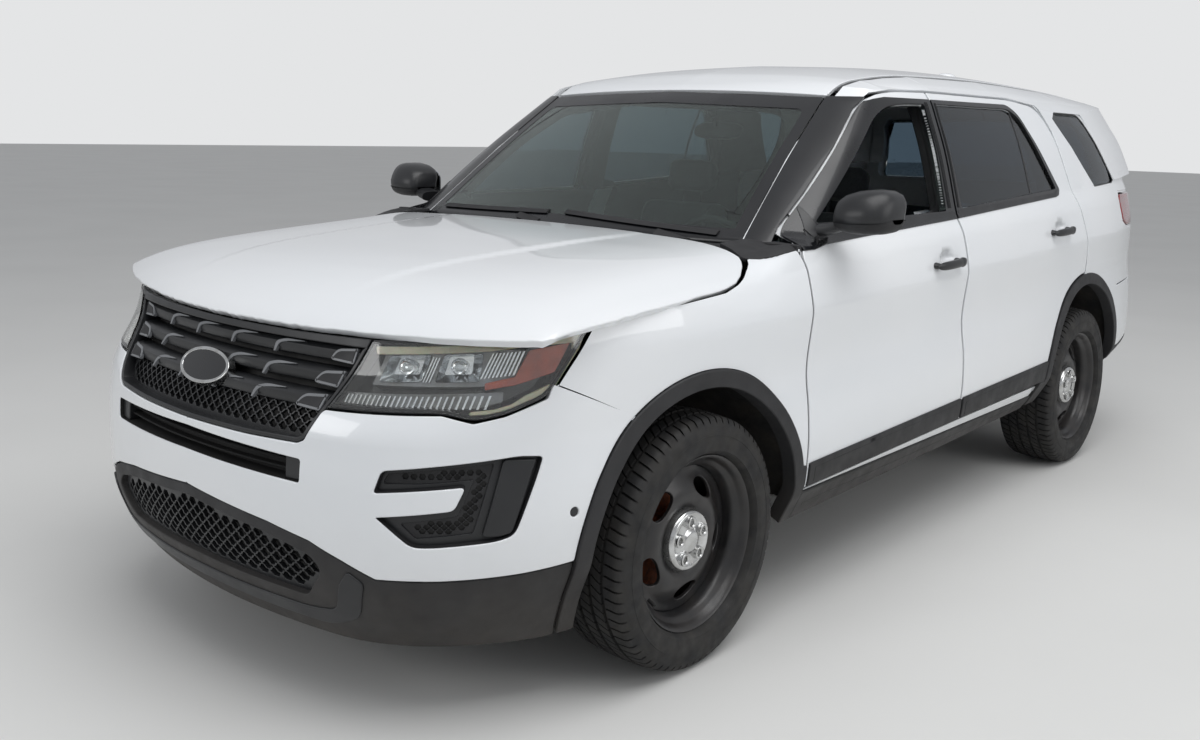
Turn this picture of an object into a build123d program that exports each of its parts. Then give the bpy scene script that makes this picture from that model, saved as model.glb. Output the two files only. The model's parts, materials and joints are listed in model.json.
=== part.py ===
from build123d import *
from collections import namedtuple
from math import asin, atan2, cos, degrees, radians, sin
import os

# Police patrol car, a mid-size utility vehicle, in millimetres.
# X runs across (+X is the car's left), the nose points to -Y, Z is up from the ground.
# Side outlines are pairs of (distance behind the front axle, height above the ground).

# Overall size
wheelbase = 2860
front_overhang = 960
rear_overhang = 1221
roof_height = 1758
front_axle_y = front_overhang - (front_overhang + wheelbase + rear_overhang) / 2

# Wheels and tyres
tyre_radius = 357
wheel_centre_height = tyre_radius
wheel_centre_out = 851
tyre_width = 245
rim_radius = 229
rim_flange_radius = 246
rim_width = 203
mounting_face_out = 40
hub_pilot_radius = 32
disc_radius = 176
disc_thickness = 30

# Wheel arches, as circles in the side view
front_arch_height = 370
rear_arch_height = 412
arch_outer_radius = 470
arch_opening_radius = 420
rear_arch_shift = -10

# Gaps and wall thicknesses
shut_gap = 8
hinge_side_gap = 10
hood_gap = 6
seat_gap = 0.3
moulding_stand_off = 8
skin_thickness = 8
door_depth = 120
door_hem_thickness = 12
door_hem_width = 10
door_frame_depth = 42
body_flange = 14
glass_inset = 8
glass_thickness = 5
windscreen_inset = 4
roof_thickness = 44
roof_panel_thickness = 16
roof_ditch_out = 640
roof_ditch_width = 26

# Shut lines, as distances behind the front axle
front_door_front = 486
door_split = 1545
door_top_height = 1622
sill_top_front = 412
sill_top_rear = 455
hinge_set_back = 90
door_hinge_out = 966
door_box_set_back = 76

# Hood and liftgate
hood_rear = 350
hood_half_width = 974
hood_thickness = 28
hood_hinge_s = 345
hood_hinge_height = 1118
hood_hinge_out = 690
hood_pin_radius = 6
hood_lug_hole = 6.3
hood_lug_radius = 13
liftgate_hinge_s = 3647
liftgate_hinge_height = 1676
liftgate_hinge_out = 150
liftgate_top_front = 3658

rear_axle_y = front_axle_y + wheelbase


def pitched_plane(front_height, rear_height):
    """A plan plane that rises from the front axle to the rear axle."""
    run = (wheelbase ** 2 + (rear_height - front_height) ** 2) ** 0.5
    rise = (rear_height - front_height) / run
    return Plane((0, front_axle_y, front_height), x_dir=(1, 0, 0), z_dir=(0, -rise, wheelbase / run))


def side_plane(out=0):
    """A plane whose sketch coordinates are distance behind the front axle and height."""
    return Plane((out, front_axle_y, 0), x_dir=(0, 1, 0), z_dir=(1, 0, 0))


def cross_plane(behind):
    """A plane across the car whose sketch coordinates are x and height."""
    return Plane((0, front_axle_y + behind, 0), x_dir=(1, 0, 0), z_dir=(0, -1, 0))


def plan_plane(height):
    """A level plane whose sketch coordinates are x and distance behind the front axle."""
    return Plane((0, front_axle_y, height))


Level = namedtuple("Level", "front_height rear_height nose half_width tail")
PlanCurve = namedtuple("PlanCurve", "centre_radius centre_share side_turn side_radius")

body_levels = (
    Level(200, 330, -835, 890, 3955),
    Level(330, 410, -925, 950, 4040),
    Level(430, 490, -955, 988, 4075),
    Level(545, 600, -960, 994, 4081),
    Level(640, 715, -960, 988, 4081),
    Level(760, 860, -950, 974, 4060),
    Level(929, 1029, -862, 985, 4030),
    Level(1040, 1170, -835, 964, 3998),
    Level(1114, 1266, -810, 922, 3965),
)
cabin_levels = (
    Level(1114, 1266, 375, 922, 3965),
    Level(1365, 1440, 700, 865, 3900),
    Level(1625, 1625, 1045, 785, 3775),
    Level(1790, 1790, 1264, 735, 3690),
)
body_front_curve = PlanCurve(2300, 0.49, 8, 5650)
body_rear_curve = PlanCurve(2600, 0.47, 10, 3600)
cabin_front_curve = PlanCurve(2900, 0.815, 10, 2000)
cabin_rear_curve = PlanCurve(2500, 0.78, 12, 3600)


def half_outline(end, half_width, curve, turn_sign):
    """Three tangent arcs from the centre line at one end of the car round to its side."""
    centre_turn = asin(curve.centre_share * half_width / curve.centre_radius)
    corner_turn = radians(90 - curve.side_turn)
    across = half_width * (1 - curve.centre_share) - curve.side_radius * (1 - sin(corner_turn))
    corner_radius = across / (sin(corner_turn) - sin(centre_turn))
    centre = JernArc((0, end), (1, 0), curve.centre_radius, turn_sign * degrees(centre_turn))
    corner = JernArc(centre @ 1, centre % 1, corner_radius, turn_sign * degrees(corner_turn - centre_turn))
    return JernArc(corner @ 1, corner % 1, curve.side_radius, turn_sign * curve.side_turn)


def plan_loft(levels, front_curve, rear_curve, inset):
    """The closed solid that passes through a stack of plan outlines, all moved in by the inset."""
    with BuildPart() as form:
        for level in levels:
            with BuildSketch(pitched_plane(level.front_height, level.rear_height)):
                with BuildLine():
                    width = level.half_width - inset
                    front_side = half_outline(level.nose + inset, width, front_curve, 1)
                    rear_side = half_outline(level.tail - inset, width, rear_curve, -1)
                    Line(front_side @ 1, rear_side @ 1)
                    mirror(about=Plane.YZ)
                make_face()
        loft(ruled=True)
    return form.part


def body_form(inset):
    return plan_loft(body_levels, body_front_curve, body_rear_curve, inset)


def cabin_form(inset):
    return plan_loft(cabin_levels, cabin_front_curve, cabin_rear_curve, inset)


def side_prism(points, low=0, high=1300):
    """A prism across the left half of the car with the given side outline."""
    with BuildPart() as prism:
        with BuildSketch(side_plane(low)):
            with BuildLine():
                Polyline(*points, close=True)
            make_face()
        extrude(amount=high - low)
    return prism.part


def front_prism(points, front=-1100, rear=0):
    """A prism along the car with the given front outline, in x and height."""
    with BuildPart() as prism:
        with BuildSketch(cross_plane(rear)):
            with BuildLine():
                Polyline(*points, close=True)
            make_face()
        extrude(amount=rear - front)
    return prism.part


def slab_box(x_low, x_high, s_low, s_high, z_low, z_high):
    """A plain block from its limits across, behind the front axle and up."""
    with BuildPart() as block:
        with BuildSketch(plan_plane(z_low)):
            with Locations(((x_low + x_high) / 2, (s_low + s_high) / 2)):
                Rectangle(x_high - x_low, s_high - s_low)
        extrude(amount=z_high - z_low)
    return block.part


def arch_prism(radius, behind, height, low=400, high=1300):
    """A cylinder across the left side, about the centre of a wheel arch."""
    with BuildPart() as prism:
        with BuildSketch(side_plane(low)):
            with Locations((behind, height)):
                Circle(radius)
        extrude(amount=high - low)
    return prism.part


def both_sides(left):
    """The left piece and its mirror image as one part with two solids."""
    with BuildPart() as pair:
        add(left)
        mirror(about=Plane.YZ)
    return pair.part


def right_of(left):
    return left.mirror(Plane.YZ)


os.makedirs("parts", exist_ok=True)


def save(part, label):
    part.label = label
    export_step(part, f"parts/{label}.step")
    print(label, len(part.solids()), round(part.volume / 1e6, 2))


RoofSection = namedtuple("RoofSection", "behind centre_height drop half_width")
roof_sections = (
    RoofSection(300, 1606, 20, 940),
    RoofSection(900, 1612, 22, 900),
    RoofSection(1050, 1632, 36, 810),
    RoofSection(1250, 1692, 66, 800),
    RoofSection(1600, 1738, 96, 800),
    RoofSection(2200, roof_height, 118, 800),
    RoofSection(2900, 1744, 116, 800),
    RoofSection(3500, 1702, 92, 800),
    RoofSection(3950, 1654, 70, 800),
)


def roof_form(lower):
    """The closed form under the roof's outer surface, moved down by a distance."""
    with BuildPart() as form:
        for row in roof_sections:
            with BuildSketch(cross_plane(row.behind)):
                with BuildLine():
                    top = row.centre_height - lower
                    shoulder = (0.78 * row.half_width, top - 0.42 * row.drop)
                    edge = (row.half_width, top - 1.35 * row.drop)
                    crown = ThreePointArc((-shoulder[0], shoulder[1]), (0, top), shoulder)
                    ThreePointArc(shoulder, (0.91 * row.half_width, top - 0.8 * row.drop), edge)
                    ThreePointArc(crown @ 0, (-0.91 * row.half_width, top - 0.8 * row.drop), (-edge[0], edge[1]))
                    Polyline(edge, (960, 1300), (960, 1000), (-960, 1000), (-960, 1300), (-edge[0], edge[1]))
                make_face()
        loft(ruled=True)
    return form.part


front_arch = (0, front_arch_height)
rear_arch = (wheelbase + rear_arch_shift, rear_arch_height)

body_outer = body_form(0)
body_inner_skin = body_form(skin_thickness)
body_door_inner = body_form(door_depth)
body_ring_outer = body_form(door_depth + shut_gap)
body_ring_inner = body_form(door_depth + shut_gap + body_flange)
body_moulding_outer = body_form(-moulding_stand_off)
body_moulding_inner = body_form(2 * skin_thickness)

roof_outer = roof_form(0)
with BuildPart() as cabin_and_roof:
    add(cabin_form(0))
    add(roof_outer, mode=Mode.INTERSECT)
cabin_outer = cabin_and_roof.part
cabin_frame_inner = cabin_form(door_frame_depth)
cabin_ring_outer = cabin_form(door_frame_depth + shut_gap)
with BuildPart() as cabin_space:
    add(cabin_form(door_frame_depth + shut_gap + body_flange))
    add(roof_form(roof_thickness), mode=Mode.INTERSECT)
cabin_ring_inner = cabin_space.part
cabin_glass_outer = cabin_form(glass_inset)
cabin_glass_inner = cabin_form(glass_inset + glass_thickness)


# Hood form: a profile revolved about an axis far behind, under a crown drawn across the car
hood_axis_s = 1450
hood_crown_pitch = 0.07
HoodPoint = namedtuple("HoodPoint", "behind height")
hood_profile = (
    HoodPoint(-852, 880),
    HoodPoint(-850, 962),
    HoodPoint(-712, 1046),
    HoodPoint(-560, 1087),
    HoodPoint(-280, 1118),
    HoodPoint(20, 1140),
    HoodPoint(480, 1160),
)
crown_profile = (
    (0, 1178), (450, 1162), (690, 1130), (808, 1104), (894, 1072), (946, 1042), (970, 1000), (1004, 930),
)


def hood_form(inset):
    """The closed form under the hood's outer surface, moved in by the inset."""
    with BuildPart() as form:
        with BuildSketch(side_plane()):
            with BuildLine():
                p = [(point.behind + inset, point.height - inset) for point in hood_profile]
                start = Line((p[0][0], p[0][1] + inset), p[1])
                nose = ThreePointArc(p[1], p[2], p[3])
                top = ThreePointArc(p[3], p[4], p[5])
                back = Line(p[5], p[6])
                Line(back @ 1, (p[6][0], hood_profile[0].height))
                Line((p[6][0], hood_profile[0].height), start @ 0)
            make_face()
        revolve(axis=Axis((0, front_axle_y + hood_axis_s, 0), (0, 0, 1)), revolution_arc=50)
        mirror(about=Plane.YZ)
        pitch = Plane((0, front_axle_y, 0), x_dir=(1, 0, 0), z_dir=(0, -1, -hood_crown_pitch))
        with BuildSketch(pitch.offset(-600)):
            with BuildLine():
                p = [(x - inset if x > 900 else x, height - inset) for x, height in crown_profile]
                Line((0, 800), (p[7][0], 800))
                Line((p[7][0], 800), p[7])
                ThreePointArc(p[7], p[6], p[5])
                ThreePointArc(p[5], p[4], p[3])
                ThreePointArc(p[3], p[2], p[1])
                Line(p[1], p[0])
                mirror(about=Plane.YZ)
            make_face()
        extrude(amount=1700, mode=Mode.INTERSECT)
    return form.part


hood_line = (
    (-1000, 950), (-775, 972), (-391, 1006), (150, 1050), (205, 1072), (420, 1080), (420, 1300), (-1000, 1300),
)


# Doors, glasses and the fixed body side, all cut from the same forms
front_door_rear = door_split - hinge_side_gap / 2
rear_door_front = door_split + hinge_side_gap / 2
front_door_outline = (
    (front_door_front, sill_top_front),
    (front_door_front, 1118),
    (560, 1185),
    (1085, 1560),
    (1180, 1606),
    (1300, door_top_height),
    (front_door_rear, door_top_height + 6),
    (front_door_rear, sill_top_front + 26),
)
rear_door_outline = (
    (rear_door_front, sill_top_front + 26),
    (rear_door_front, door_top_height + 6),
    (2300, door_top_height + 6),
    (2560, 1606),
    (2640, 1500),
    (2700, 1240),
    (2800, 930),
    (2800, sill_top_rear),
)
front_window_outline = ((655, 1196), (1130, 1528), (1225, 1568), (1330, 1580), (1485, 1584), (1470, 1206))
rear_window_outline = ((1598, 1212), (1578, 1586), (2240, 1588), (2300, 1560), (2520, 1262))
quarter_window_outline = ((2700, 1560), (2740, 1590), (3085, 1588), (3300, 1290), (3270, 1275), (2985, 1262))


def grown(outline, growth):
    """A side outline moved out by the growth."""
    with BuildSketch() as sketch:
        with BuildLine():
            Polyline(*outline, close=True)
        make_face()
        offset(amount=growth, kind=Kind.INTERSECTION)
    return sketch.sketch


def outline_prism(outline, growth=0, low=300, high=1300):
    """A prism across the left side with a side outline that can be grown."""
    with BuildPart() as prism:
        with BuildSketch(side_plane(low)):
            add(grown(outline, growth) if growth else grown(outline, 0.001))
        extrude(amount=high - low)
    return prism.part


rear_door_arch = arch_prism(arch_outer_radius + shut_gap, *rear_arch)
with BuildPart() as within_hem:
    add(body_form(door_hem_thickness))
    add(cabin_form(door_hem_thickness))

# Door hinges: a fixed arm and pin on the body, two knuckles on the door
DoorHinge = namedtuple("DoorHinge", "behind height")
hinge_heights = (560, 920)
hinge_pin_radius = 5
hinge_eye_radius = 10
hinge_knuckle_hole = 5.3
hinge_arm_half = 10
hinge_knuckle_top = 28
hinge_pocket_half = 34


def hinge_at(door_front):
    """The two hinges of a door from the distance of its front edge behind the front axle."""
    return [DoorHinge(door_front + hinge_set_back, height) for height in hinge_heights]


def upright(hinge, radius, low, high):
    """A cylinder on a door hinge's axis between two heights above and below its middle."""
    with BuildPart() as post:
        with BuildSketch(plan_plane(hinge.height + low)):
            with Locations((door_hinge_out, hinge.behind)):
                Circle(radius)
        extrude(amount=high - low)
    return post.part


def hinge_arms(door_front):
    """The fixed halves: a plate on the pillar, an arm out to the axis and its pin."""
    with BuildPart() as arms:
        for hinge in hinge_at(door_front):
            z = hinge.height
            add(slab_box(835, 855, hinge.behind - 76, hinge.behind + 12, z - 45, z + 45))
            add(slab_box(850, door_hinge_out, hinge.behind - hinge_arm_half, hinge.behind + hinge_arm_half,
                         z - hinge_arm_half, z + hinge_arm_half))
            add(upright(hinge, hinge_eye_radius, -hinge_arm_half, hinge_arm_half))
            add(upright(hinge, hinge_pin_radius, -hinge_knuckle_top, hinge_knuckle_top))
    return arms.part


def door_shell(outline, window, arch=None):
    """A left door: outer hem, inner box with its hinge knuckles, window frame and open window."""
    door_front = outline[0][0]
    with BuildPart() as margin:
        with BuildSketch(side_plane(300)):
            add(grown(outline, 20))
            with BuildSketch(mode=Mode.PRIVATE) as box_outline:
                add(grown(outline, -door_hem_width))
                with Locations((door_front + door_box_set_back - 100, 1000)):
                    Rectangle(200, 1600, mode=Mode.SUBTRACT)
                if arch:
                    with Locations(rear_arch):
                        Circle(arch_outer_radius + shut_gap + door_hem_width, mode=Mode.SUBTRACT)
            add(box_outline.sketch, mode=Mode.SUBTRACT)
        extrude(amount=1000)
        add(within_hem.part, mode=Mode.INTERSECT)
    with BuildPart() as door:
        add(body_outer)
        add(cabin_outer)
        add(side_prism(outline), mode=Mode.INTERSECT)
        add(body_door_inner, mode=Mode.SUBTRACT)
        add(cabin_frame_inner, mode=Mode.SUBTRACT)
        add(margin.part, mode=Mode.SUBTRACT)
        add(side_prism(window), mode=Mode.SUBTRACT)
        if arch:
            add(arch, mode=Mode.SUBTRACT)
        for hinge in hinge_at(door_front):
            z = hinge.height
            add(slab_box(800, door_hinge_out + hinge_eye_radius + 5, door_front - 20, hinge.behind + 18,
                         z - hinge_pocket_half, z + hinge_pocket_half), mode=Mode.SUBTRACT)
            for low in (-hinge_knuckle_top, hinge_arm_half + 0.5):
                high = low + hinge_knuckle_top - hinge_arm_half - 0.5
                add(upright(hinge, hinge_eye_radius, low, high))
                add(slab_box(door_hinge_out - hinge_eye_radius, door_hinge_out + hinge_eye_radius,
                             hinge.behind, hinge.behind + 30, z + low, z + high))
            add(upright(hinge, hinge_knuckle_hole, -hinge_knuckle_top - 1, hinge_knuckle_top + 1), mode=Mode.SUBTRACT)
    return door.part


def window_glass(window):
    """A pane on the cabin's side, as large as its window."""
    with BuildPart() as pane:
        add(cabin_glass_outer)
        add(cabin_glass_inner, mode=Mode.SUBTRACT)
        add(side_prism(window, low=500), mode=Mode.INTERSECT)
    return pane.part


front_door = door_shell(front_door_outline, front_window_outline)
rear_door = door_shell(rear_door_outline, rear_window_outline, rear_door_arch)
save(front_door, "door_front_left")
save(right_of(front_door), "door_front_right")
save(rear_door, "door_rear_left")
save(right_of(rear_door), "door_rear_right")

front_glass = window_glass(front_window_outline)
rear_glass = window_glass(rear_window_outline)
save(right_of(front_glass), "glass_front_right")
save(rear_glass, "glass_rear_left")
save(right_of(rear_glass), "glass_rear_right")
save(both_sides(window_glass(quarter_window_outline)), "quarter_glasses")


# Hood, one clamshell panel over the engine bay
with BuildPart() as hood:
    add(hood_form(0))
    add(side_prism(hood_line, low=-1300), mode=Mode.INTERSECT)
    with BuildSketch(plan_plane(800)):
        with BuildLine():
            Polyline((0, -1000), (1000, -1000), (1000, 190), (900, 252), (700, hood_rear - 34), (300, hood_rear - 7), (0, hood_rear))
            mirror(about=Plane.YZ)
        make_face()
    extrude(amount=500, mode=Mode.INTERSECT)
    with BuildSketch(plan_plane(800)):
        with BuildLine():
            corner_side = half_outline(hood_profile[0].behind, hood_half_width, body_front_curve, 1)
            Polyline(corner_side @ 1, (hood_half_width, 600), (0, 600))
            mirror(about=Plane.YZ)
        make_face()
    extrude(amount=500, mode=Mode.INTERSECT)
    add(hood_form(hood_thickness), mode=Mode.SUBTRACT)
    for side in (-1, 1):
        low, high = sorted((side * (hood_hinge_out + 7), side * (hood_hinge_out + 19)))
        with BuildSketch(side_plane(low)):
            with BuildLine():
                Polyline((hood_hinge_s - 80, hood_hinge_height - 24), (hood_hinge_s - 80, hood_hinge_height - 4),
                         (hood_hinge_s - 8, hood_hinge_height + 8), (hood_hinge_s - 8, hood_hinge_height - 11),
                         close=True)
            make_face()
            with Locations((hood_hinge_s, hood_hinge_height)):
                Circle(hood_lug_radius)
                Circle(hood_lug_hole, mode=Mode.SUBTRACT)
        extrude(amount=high - low)
save(hood.part, "hood")

# Front fenders, from the headlamp back to the front door
fender_foot = 489 + seat_gap
fender_outline = (
    (-381, 1006 - hood_gap),
    (150, 1050 - hood_gap),
    (210, 1073 - hood_gap),
    (240, 1112),
    (240, 1180),
    (front_door_front - hinge_side_gap, 1180),
    (front_door_front - hinge_side_gap, fender_foot),
    (380, fender_foot),
    (-262, 752),
    (-493, 866),
)
with BuildPart() as under_hood_line:
    add(hood_form(0))
    add([slab_box(-1100, 1100, -1100, 600, 0, 900), slab_box(-1100, 1100, 236, 600, 800, 1300)])
with BuildPart() as fender:
    add(body_outer)
    add(body_inner_skin, mode=Mode.SUBTRACT)
    add(side_prism(fender_outline, low=600), mode=Mode.INTERSECT)
    add(under_hood_line.part, mode=Mode.INTERSECT)
    add(arch_prism(arch_outer_radius, *front_arch), mode=Mode.SUBTRACT)
save(both_sides(fender.part), "front_fenders")

# Front bumper cover, cut for the grille, headlamps, slot and fog lamp recesses
bumper_side_outline = (
    (-1100, 200),
    (-1100, 938),
    (-1000, 950 - hood_gap),
    (-775, 972 - hood_gap),
    (-520, 994 - hood_gap),
    (-520, 858),
    (-497, 858),
    (-262, 744),
    (-200, 600),
    (-200, 200),
)
bumper_lower_edge = ((0, 528), (330, 500), (470, 478), (570, 440), (640, 408), (760, 412), (1100, 428))
headlamp_front_outline = ((483, 793), (745, 800), (800, 782), (842, 796), (885, 832), (925, 1060), (556, 1060), (556, 985))
grille_front_outline = ((0, 704), (250, 706), (430, 712), (450, 722), (552, 985), (556, 1060), (0, 1060))
slot_front_outline = ((0, 622), (445, 616), (447, 676), (0, 684))
fog_front_outline = (
    (655, 700), (905, 712), (925, 690), (900, 530), (860, 512), (770, 512), (700, 590), (700, 604),
    (815, 606), (832, 650), (828, 656), (655, 664),
)
with BuildPart() as front_bumper:
    add(body_outer)
    add(body_inner_skin, mode=Mode.SUBTRACT)
    add(side_prism(bumper_side_outline, low=-1300), mode=Mode.INTERSECT)
    cuts = [front_prism(outline) for outline in (
        grille_front_outline, slot_front_outline, headlamp_front_outline, fog_front_outline,
        bumper_lower_edge + ((1100, 100), (0, 100)),
    )]
    cuts.append(arch_prism(arch_outer_radius, *front_arch))
    add(cuts + [right_of(cut) for cut in cuts], mode=Mode.SUBTRACT)
save(front_bumper.part, "front_bumper")


# Roof panel between the two ditches, and the header above the windscreen
header_s = 1052
roof_rear = 3634
windscreen_outline = ((0, 1128), (735, 1128), (728, 1150), (632, 1598), (0, 1618))
liftgate_pin_radius = 3.5
liftgate_eye_radius = 6


def hinge_tab(low, high, root_s):
    """A tab from the liftgate hinge axis to a root in the panel before or behind it."""
    with BuildPart() as tab:
        with BuildSketch(side_plane(low)):
            with Locations((liftgate_hinge_s, liftgate_hinge_height)):
                Circle(liftgate_eye_radius)
            with BuildLine():
                Polyline((liftgate_hinge_s, liftgate_hinge_height - liftgate_eye_radius),
                         (root_s, liftgate_hinge_height - liftgate_eye_radius),
                         (root_s, liftgate_hinge_height + liftgate_eye_radius),
                         (liftgate_hinge_s, liftgate_hinge_height + liftgate_eye_radius), close=True)
            make_face()
        extrude(amount=high - low)
    return tab.part


with BuildPart() as roof_panel:
    add(cabin_outer)
    with BuildSketch(plan_plane(1400)):
        with BuildLine():
            Polyline(
                (0, 900), (roof_ditch_out - 6, 900), (roof_ditch_out, 1400),
                (roof_ditch_out, roof_rear), (0, roof_rear),
            )
            mirror(about=Plane.YZ)
        make_face()
    extrude(amount=500, mode=Mode.INTERSECT)
    add(roof_form(roof_panel_thickness), mode=Mode.SUBTRACT)
    with BuildPart(mode=Mode.PRIVATE) as ditch_floor:
        add(roof_form(roof_panel_thickness - 4))
        add(roof_form(roof_panel_thickness + 8), mode=Mode.SUBTRACT)
        with BuildSketch(plan_plane(1400)):
            with Locations((0, (header_s + 60 + roof_rear) / 2)):
                Rectangle(2 * (roof_ditch_out + roof_ditch_width), roof_rear - header_s - 60)
        extrude(amount=500, mode=Mode.INTERSECT)
    add(ditch_floor.part)
    opening = front_prism(windscreen_outline, front=0, rear=1600)
    add(opening, mode=Mode.SUBTRACT)
    add(right_of(opening), mode=Mode.SUBTRACT)
    for side in (-1, 1):
        low, high = sorted((side * (liftgate_hinge_out - 10), side * liftgate_hinge_out))
        add(hinge_tab(low, high, roof_rear - 24))
        pin_low, pin_high = sorted((side * (liftgate_hinge_out - 10), side * (liftgate_hinge_out + 12)))
        with BuildSketch(side_plane(pin_low)):
            with Locations((liftgate_hinge_s, liftgate_hinge_height)):
                Circle(liftgate_pin_radius)
        extrude(amount=pin_high - pin_low)
save(roof_panel.part, "roof_panel")

# Windscreen, one curved pane seated in its frame
with BuildPart() as windscreen:
    pane = front_prism(windscreen_outline, front=0, rear=1600)
    add([pane, right_of(pane)])
    add(cabin_form(windscreen_inset), mode=Mode.INTERSECT)
    add(cabin_form(windscreen_inset + glass_thickness), mode=Mode.SUBTRACT)
save(windscreen.part, "windscreen")

# Liftgate, its window and the openings round it, drawn as seen from behind
liftgate_outline = ((0, 672), (520, 672), (560, 760), (640, 1075), (694, 1085), (700, 1230), (655, 1400), (606, 1560), (575, 1800), (0, 1800))
liftgate_window = ((0, 1236), (612, 1236), (618, 1260), (560, 1520), (520, 1566), (0, 1582))
liftgate_depth = 60
liftgate_front = 3360


def rear_half(outline, growth=0):
    """Both halves of a rear outline as one prism through the back of the car."""
    with BuildPart() as prism:
        with BuildSketch(cross_plane(4200)):
            with BuildLine():
                Polyline(*outline)
                mirror(about=Plane.YZ)
            make_face()
            if growth:
                offset(amount=growth, kind=Kind.INTERSECTION)
        extrude(amount=4200 - liftgate_front)
    return prism.part


with BuildPart() as liftgate_space:
    add(cabin_form(liftgate_depth))
    add(roof_form(24), mode=Mode.INTERSECT)
with BuildPart() as liftgate:
    add(body_outer)
    add(cabin_outer)
    add(rear_half(liftgate_outline), mode=Mode.INTERSECT)
    add(body_form(liftgate_depth), mode=Mode.SUBTRACT)
    add(liftgate_space.part, mode=Mode.SUBTRACT)
    add(rear_half(liftgate_window), mode=Mode.SUBTRACT)
    with BuildSketch(plan_plane(1300)):
        with Locations((0, liftgate_top_front - 400)):
            Rectangle(2400, 800)
    extrude(amount=700, mode=Mode.SUBTRACT)
    for side in (-1, 1):
        low, high = sorted((side * (liftgate_hinge_out + 1), side * (liftgate_hinge_out + 12)))
        add(hinge_tab(low, high, liftgate_top_front + 14))
        with BuildSketch(side_plane(low - 1)):
            with Locations((liftgate_hinge_s, liftgate_hinge_height)):
                Circle(liftgate_pin_radius + seat_gap)
        extrude(amount=high - low + 2, mode=Mode.SUBTRACT)
        add(slab_box(*sorted((side * 664, side * 740)), 3600, 3794, 1180, 1345), mode=Mode.SUBTRACT)
save(liftgate.part, "liftgate")

with BuildPart() as liftgate_glass:
    add(cabin_glass_outer)
    add(cabin_glass_inner, mode=Mode.SUBTRACT)
    add(rear_half(liftgate_window), mode=Mode.INTERSECT)
save(liftgate_glass.part, "liftgate_glass")

# Tail lamps, wrapped round the rear corners
tail_lamp_side = ((3300, 1196), (3330, 1100), (3420, 1068), (4200, 1068), (4200, 1228), (3330, 1228))
with BuildPart() as tail_lamp:
    add(body_outer)
    add(body_form(70), mode=Mode.SUBTRACT)
    add(side_prism(tail_lamp_side, low=400), mode=Mode.INTERSECT)
    add(rear_half(liftgate_outline, shut_gap), mode=Mode.SUBTRACT)
save(both_sides(tail_lamp.part), "tail_lamps")

# Rear bumper cover and its dark lower valance
rear_bumper_side = (
    (3180, 735), (3300, 790), (3700, 800), (3760, 820), (4300, 820), (4300, 300), (3180, 300),
)
rear_bumper_split = ((3000, 470), (3420, 482), (3700, 520), (4300, 520), (4300, 250), (3000, 250))


def bumper_skin(depth):
    """The skin round the tail below the body sides, to a depth, open at the arches and the liftgate."""
    arch = arch_prism(arch_outer_radius, *rear_arch)
    with BuildPart() as skin:
        add(body_outer)
        add(body_form(depth), mode=Mode.SUBTRACT)
        add(side_prism(rear_bumper_side, low=-1300), mode=Mode.INTERSECT)
        add(arch, mode=Mode.SUBTRACT)
        add(right_of(arch), mode=Mode.SUBTRACT)
        add(rear_half(liftgate_outline, shut_gap), mode=Mode.SUBTRACT)
    return skin.part


with BuildPart() as rear_bumper:
    add(bumper_skin(skin_thickness))
    add(side_prism(rear_bumper_split, low=-1300), mode=Mode.SUBTRACT)
save(rear_bumper.part, "rear_bumper")
with BuildPart() as rear_valance:
    add(bumper_skin(16))
    add(side_prism(rear_bumper_split, low=-1300), mode=Mode.INTERSECT)
save(rear_valance.part, "rear_valance")

# Fixed body side: pillars, roof rail, sill and rear quarter
rocker_top = 400 + seat_gap
rear_foot_top = 420 + seat_gap
side_region = (
    (478, rocker_top), (478, 1141), (372, 1136), (372, 1160), (1000, 1700), (1500, 1800), (3640, 1800),
    (4100, 1640), (4100, 830), (3760, 830), (3700, 806), (3300, 796), (3150, 735), (3100, rear_foot_top),
    (2320, rear_foot_top), (2300, rocker_top),
)
front_door_space = outline_prism(front_door_outline, shut_gap)
rear_door_space = outline_prism(rear_door_outline, shut_gap)
with BuildPart() as door_rebate:
    add(front_door_space)
    add(rear_door_space)
    add(body_ring_outer, mode=Mode.SUBTRACT)
    add(cabin_ring_outer, mode=Mode.SUBTRACT)
with BuildPart() as body_side:
    add(body_outer)
    add(cabin_outer)
    add(body_ring_inner, mode=Mode.SUBTRACT)
    add(cabin_ring_inner, mode=Mode.SUBTRACT)
    add(side_prism(side_region), mode=Mode.INTERSECT)
    add(door_rebate.part, mode=Mode.SUBTRACT)
    add(outline_prism(front_door_outline, -44), mode=Mode.SUBTRACT)
    add(outline_prism(rear_door_outline, -44), mode=Mode.SUBTRACT)
    add(side_prism(quarter_window_outline), mode=Mode.SUBTRACT)
    add(front_prism(windscreen_outline, front=0, rear=1600), mode=Mode.SUBTRACT)
    with BuildSketch(plan_plane(1400)):
        with Locations((0, (700 + roof_rear + shut_gap) / 2)):
            Rectangle(2 * (roof_ditch_out + roof_ditch_width), roof_rear + shut_gap - 700)
    extrude(amount=500, mode=Mode.SUBTRACT)
    add(rear_half(liftgate_outline, shut_gap), mode=Mode.SUBTRACT)
    add(side_prism(tail_lamp_side, low=400), mode=Mode.SUBTRACT)
    add(arch_prism(arch_outer_radius, *rear_arch), mode=Mode.SUBTRACT)
    add(arch_prism(arch_outer_radius, *front_arch), mode=Mode.SUBTRACT)
    add(hinge_arms(front_door_front))
    add(hinge_arms(rear_door_front))
# Room for the doors' front corners to swing in past the windscreen pillar and the middle pillar
with BuildPart() as swing_room:
    add(side_prism(((526, 1137), (622, 1137), (838, 1325), (772, 1325)), low=755, high=840))
    add(slab_box(864, 880, 1586, 1602, 1180, 1216))
save(both_sides(body_side.part - swing_room.part), "body_sides")

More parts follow.
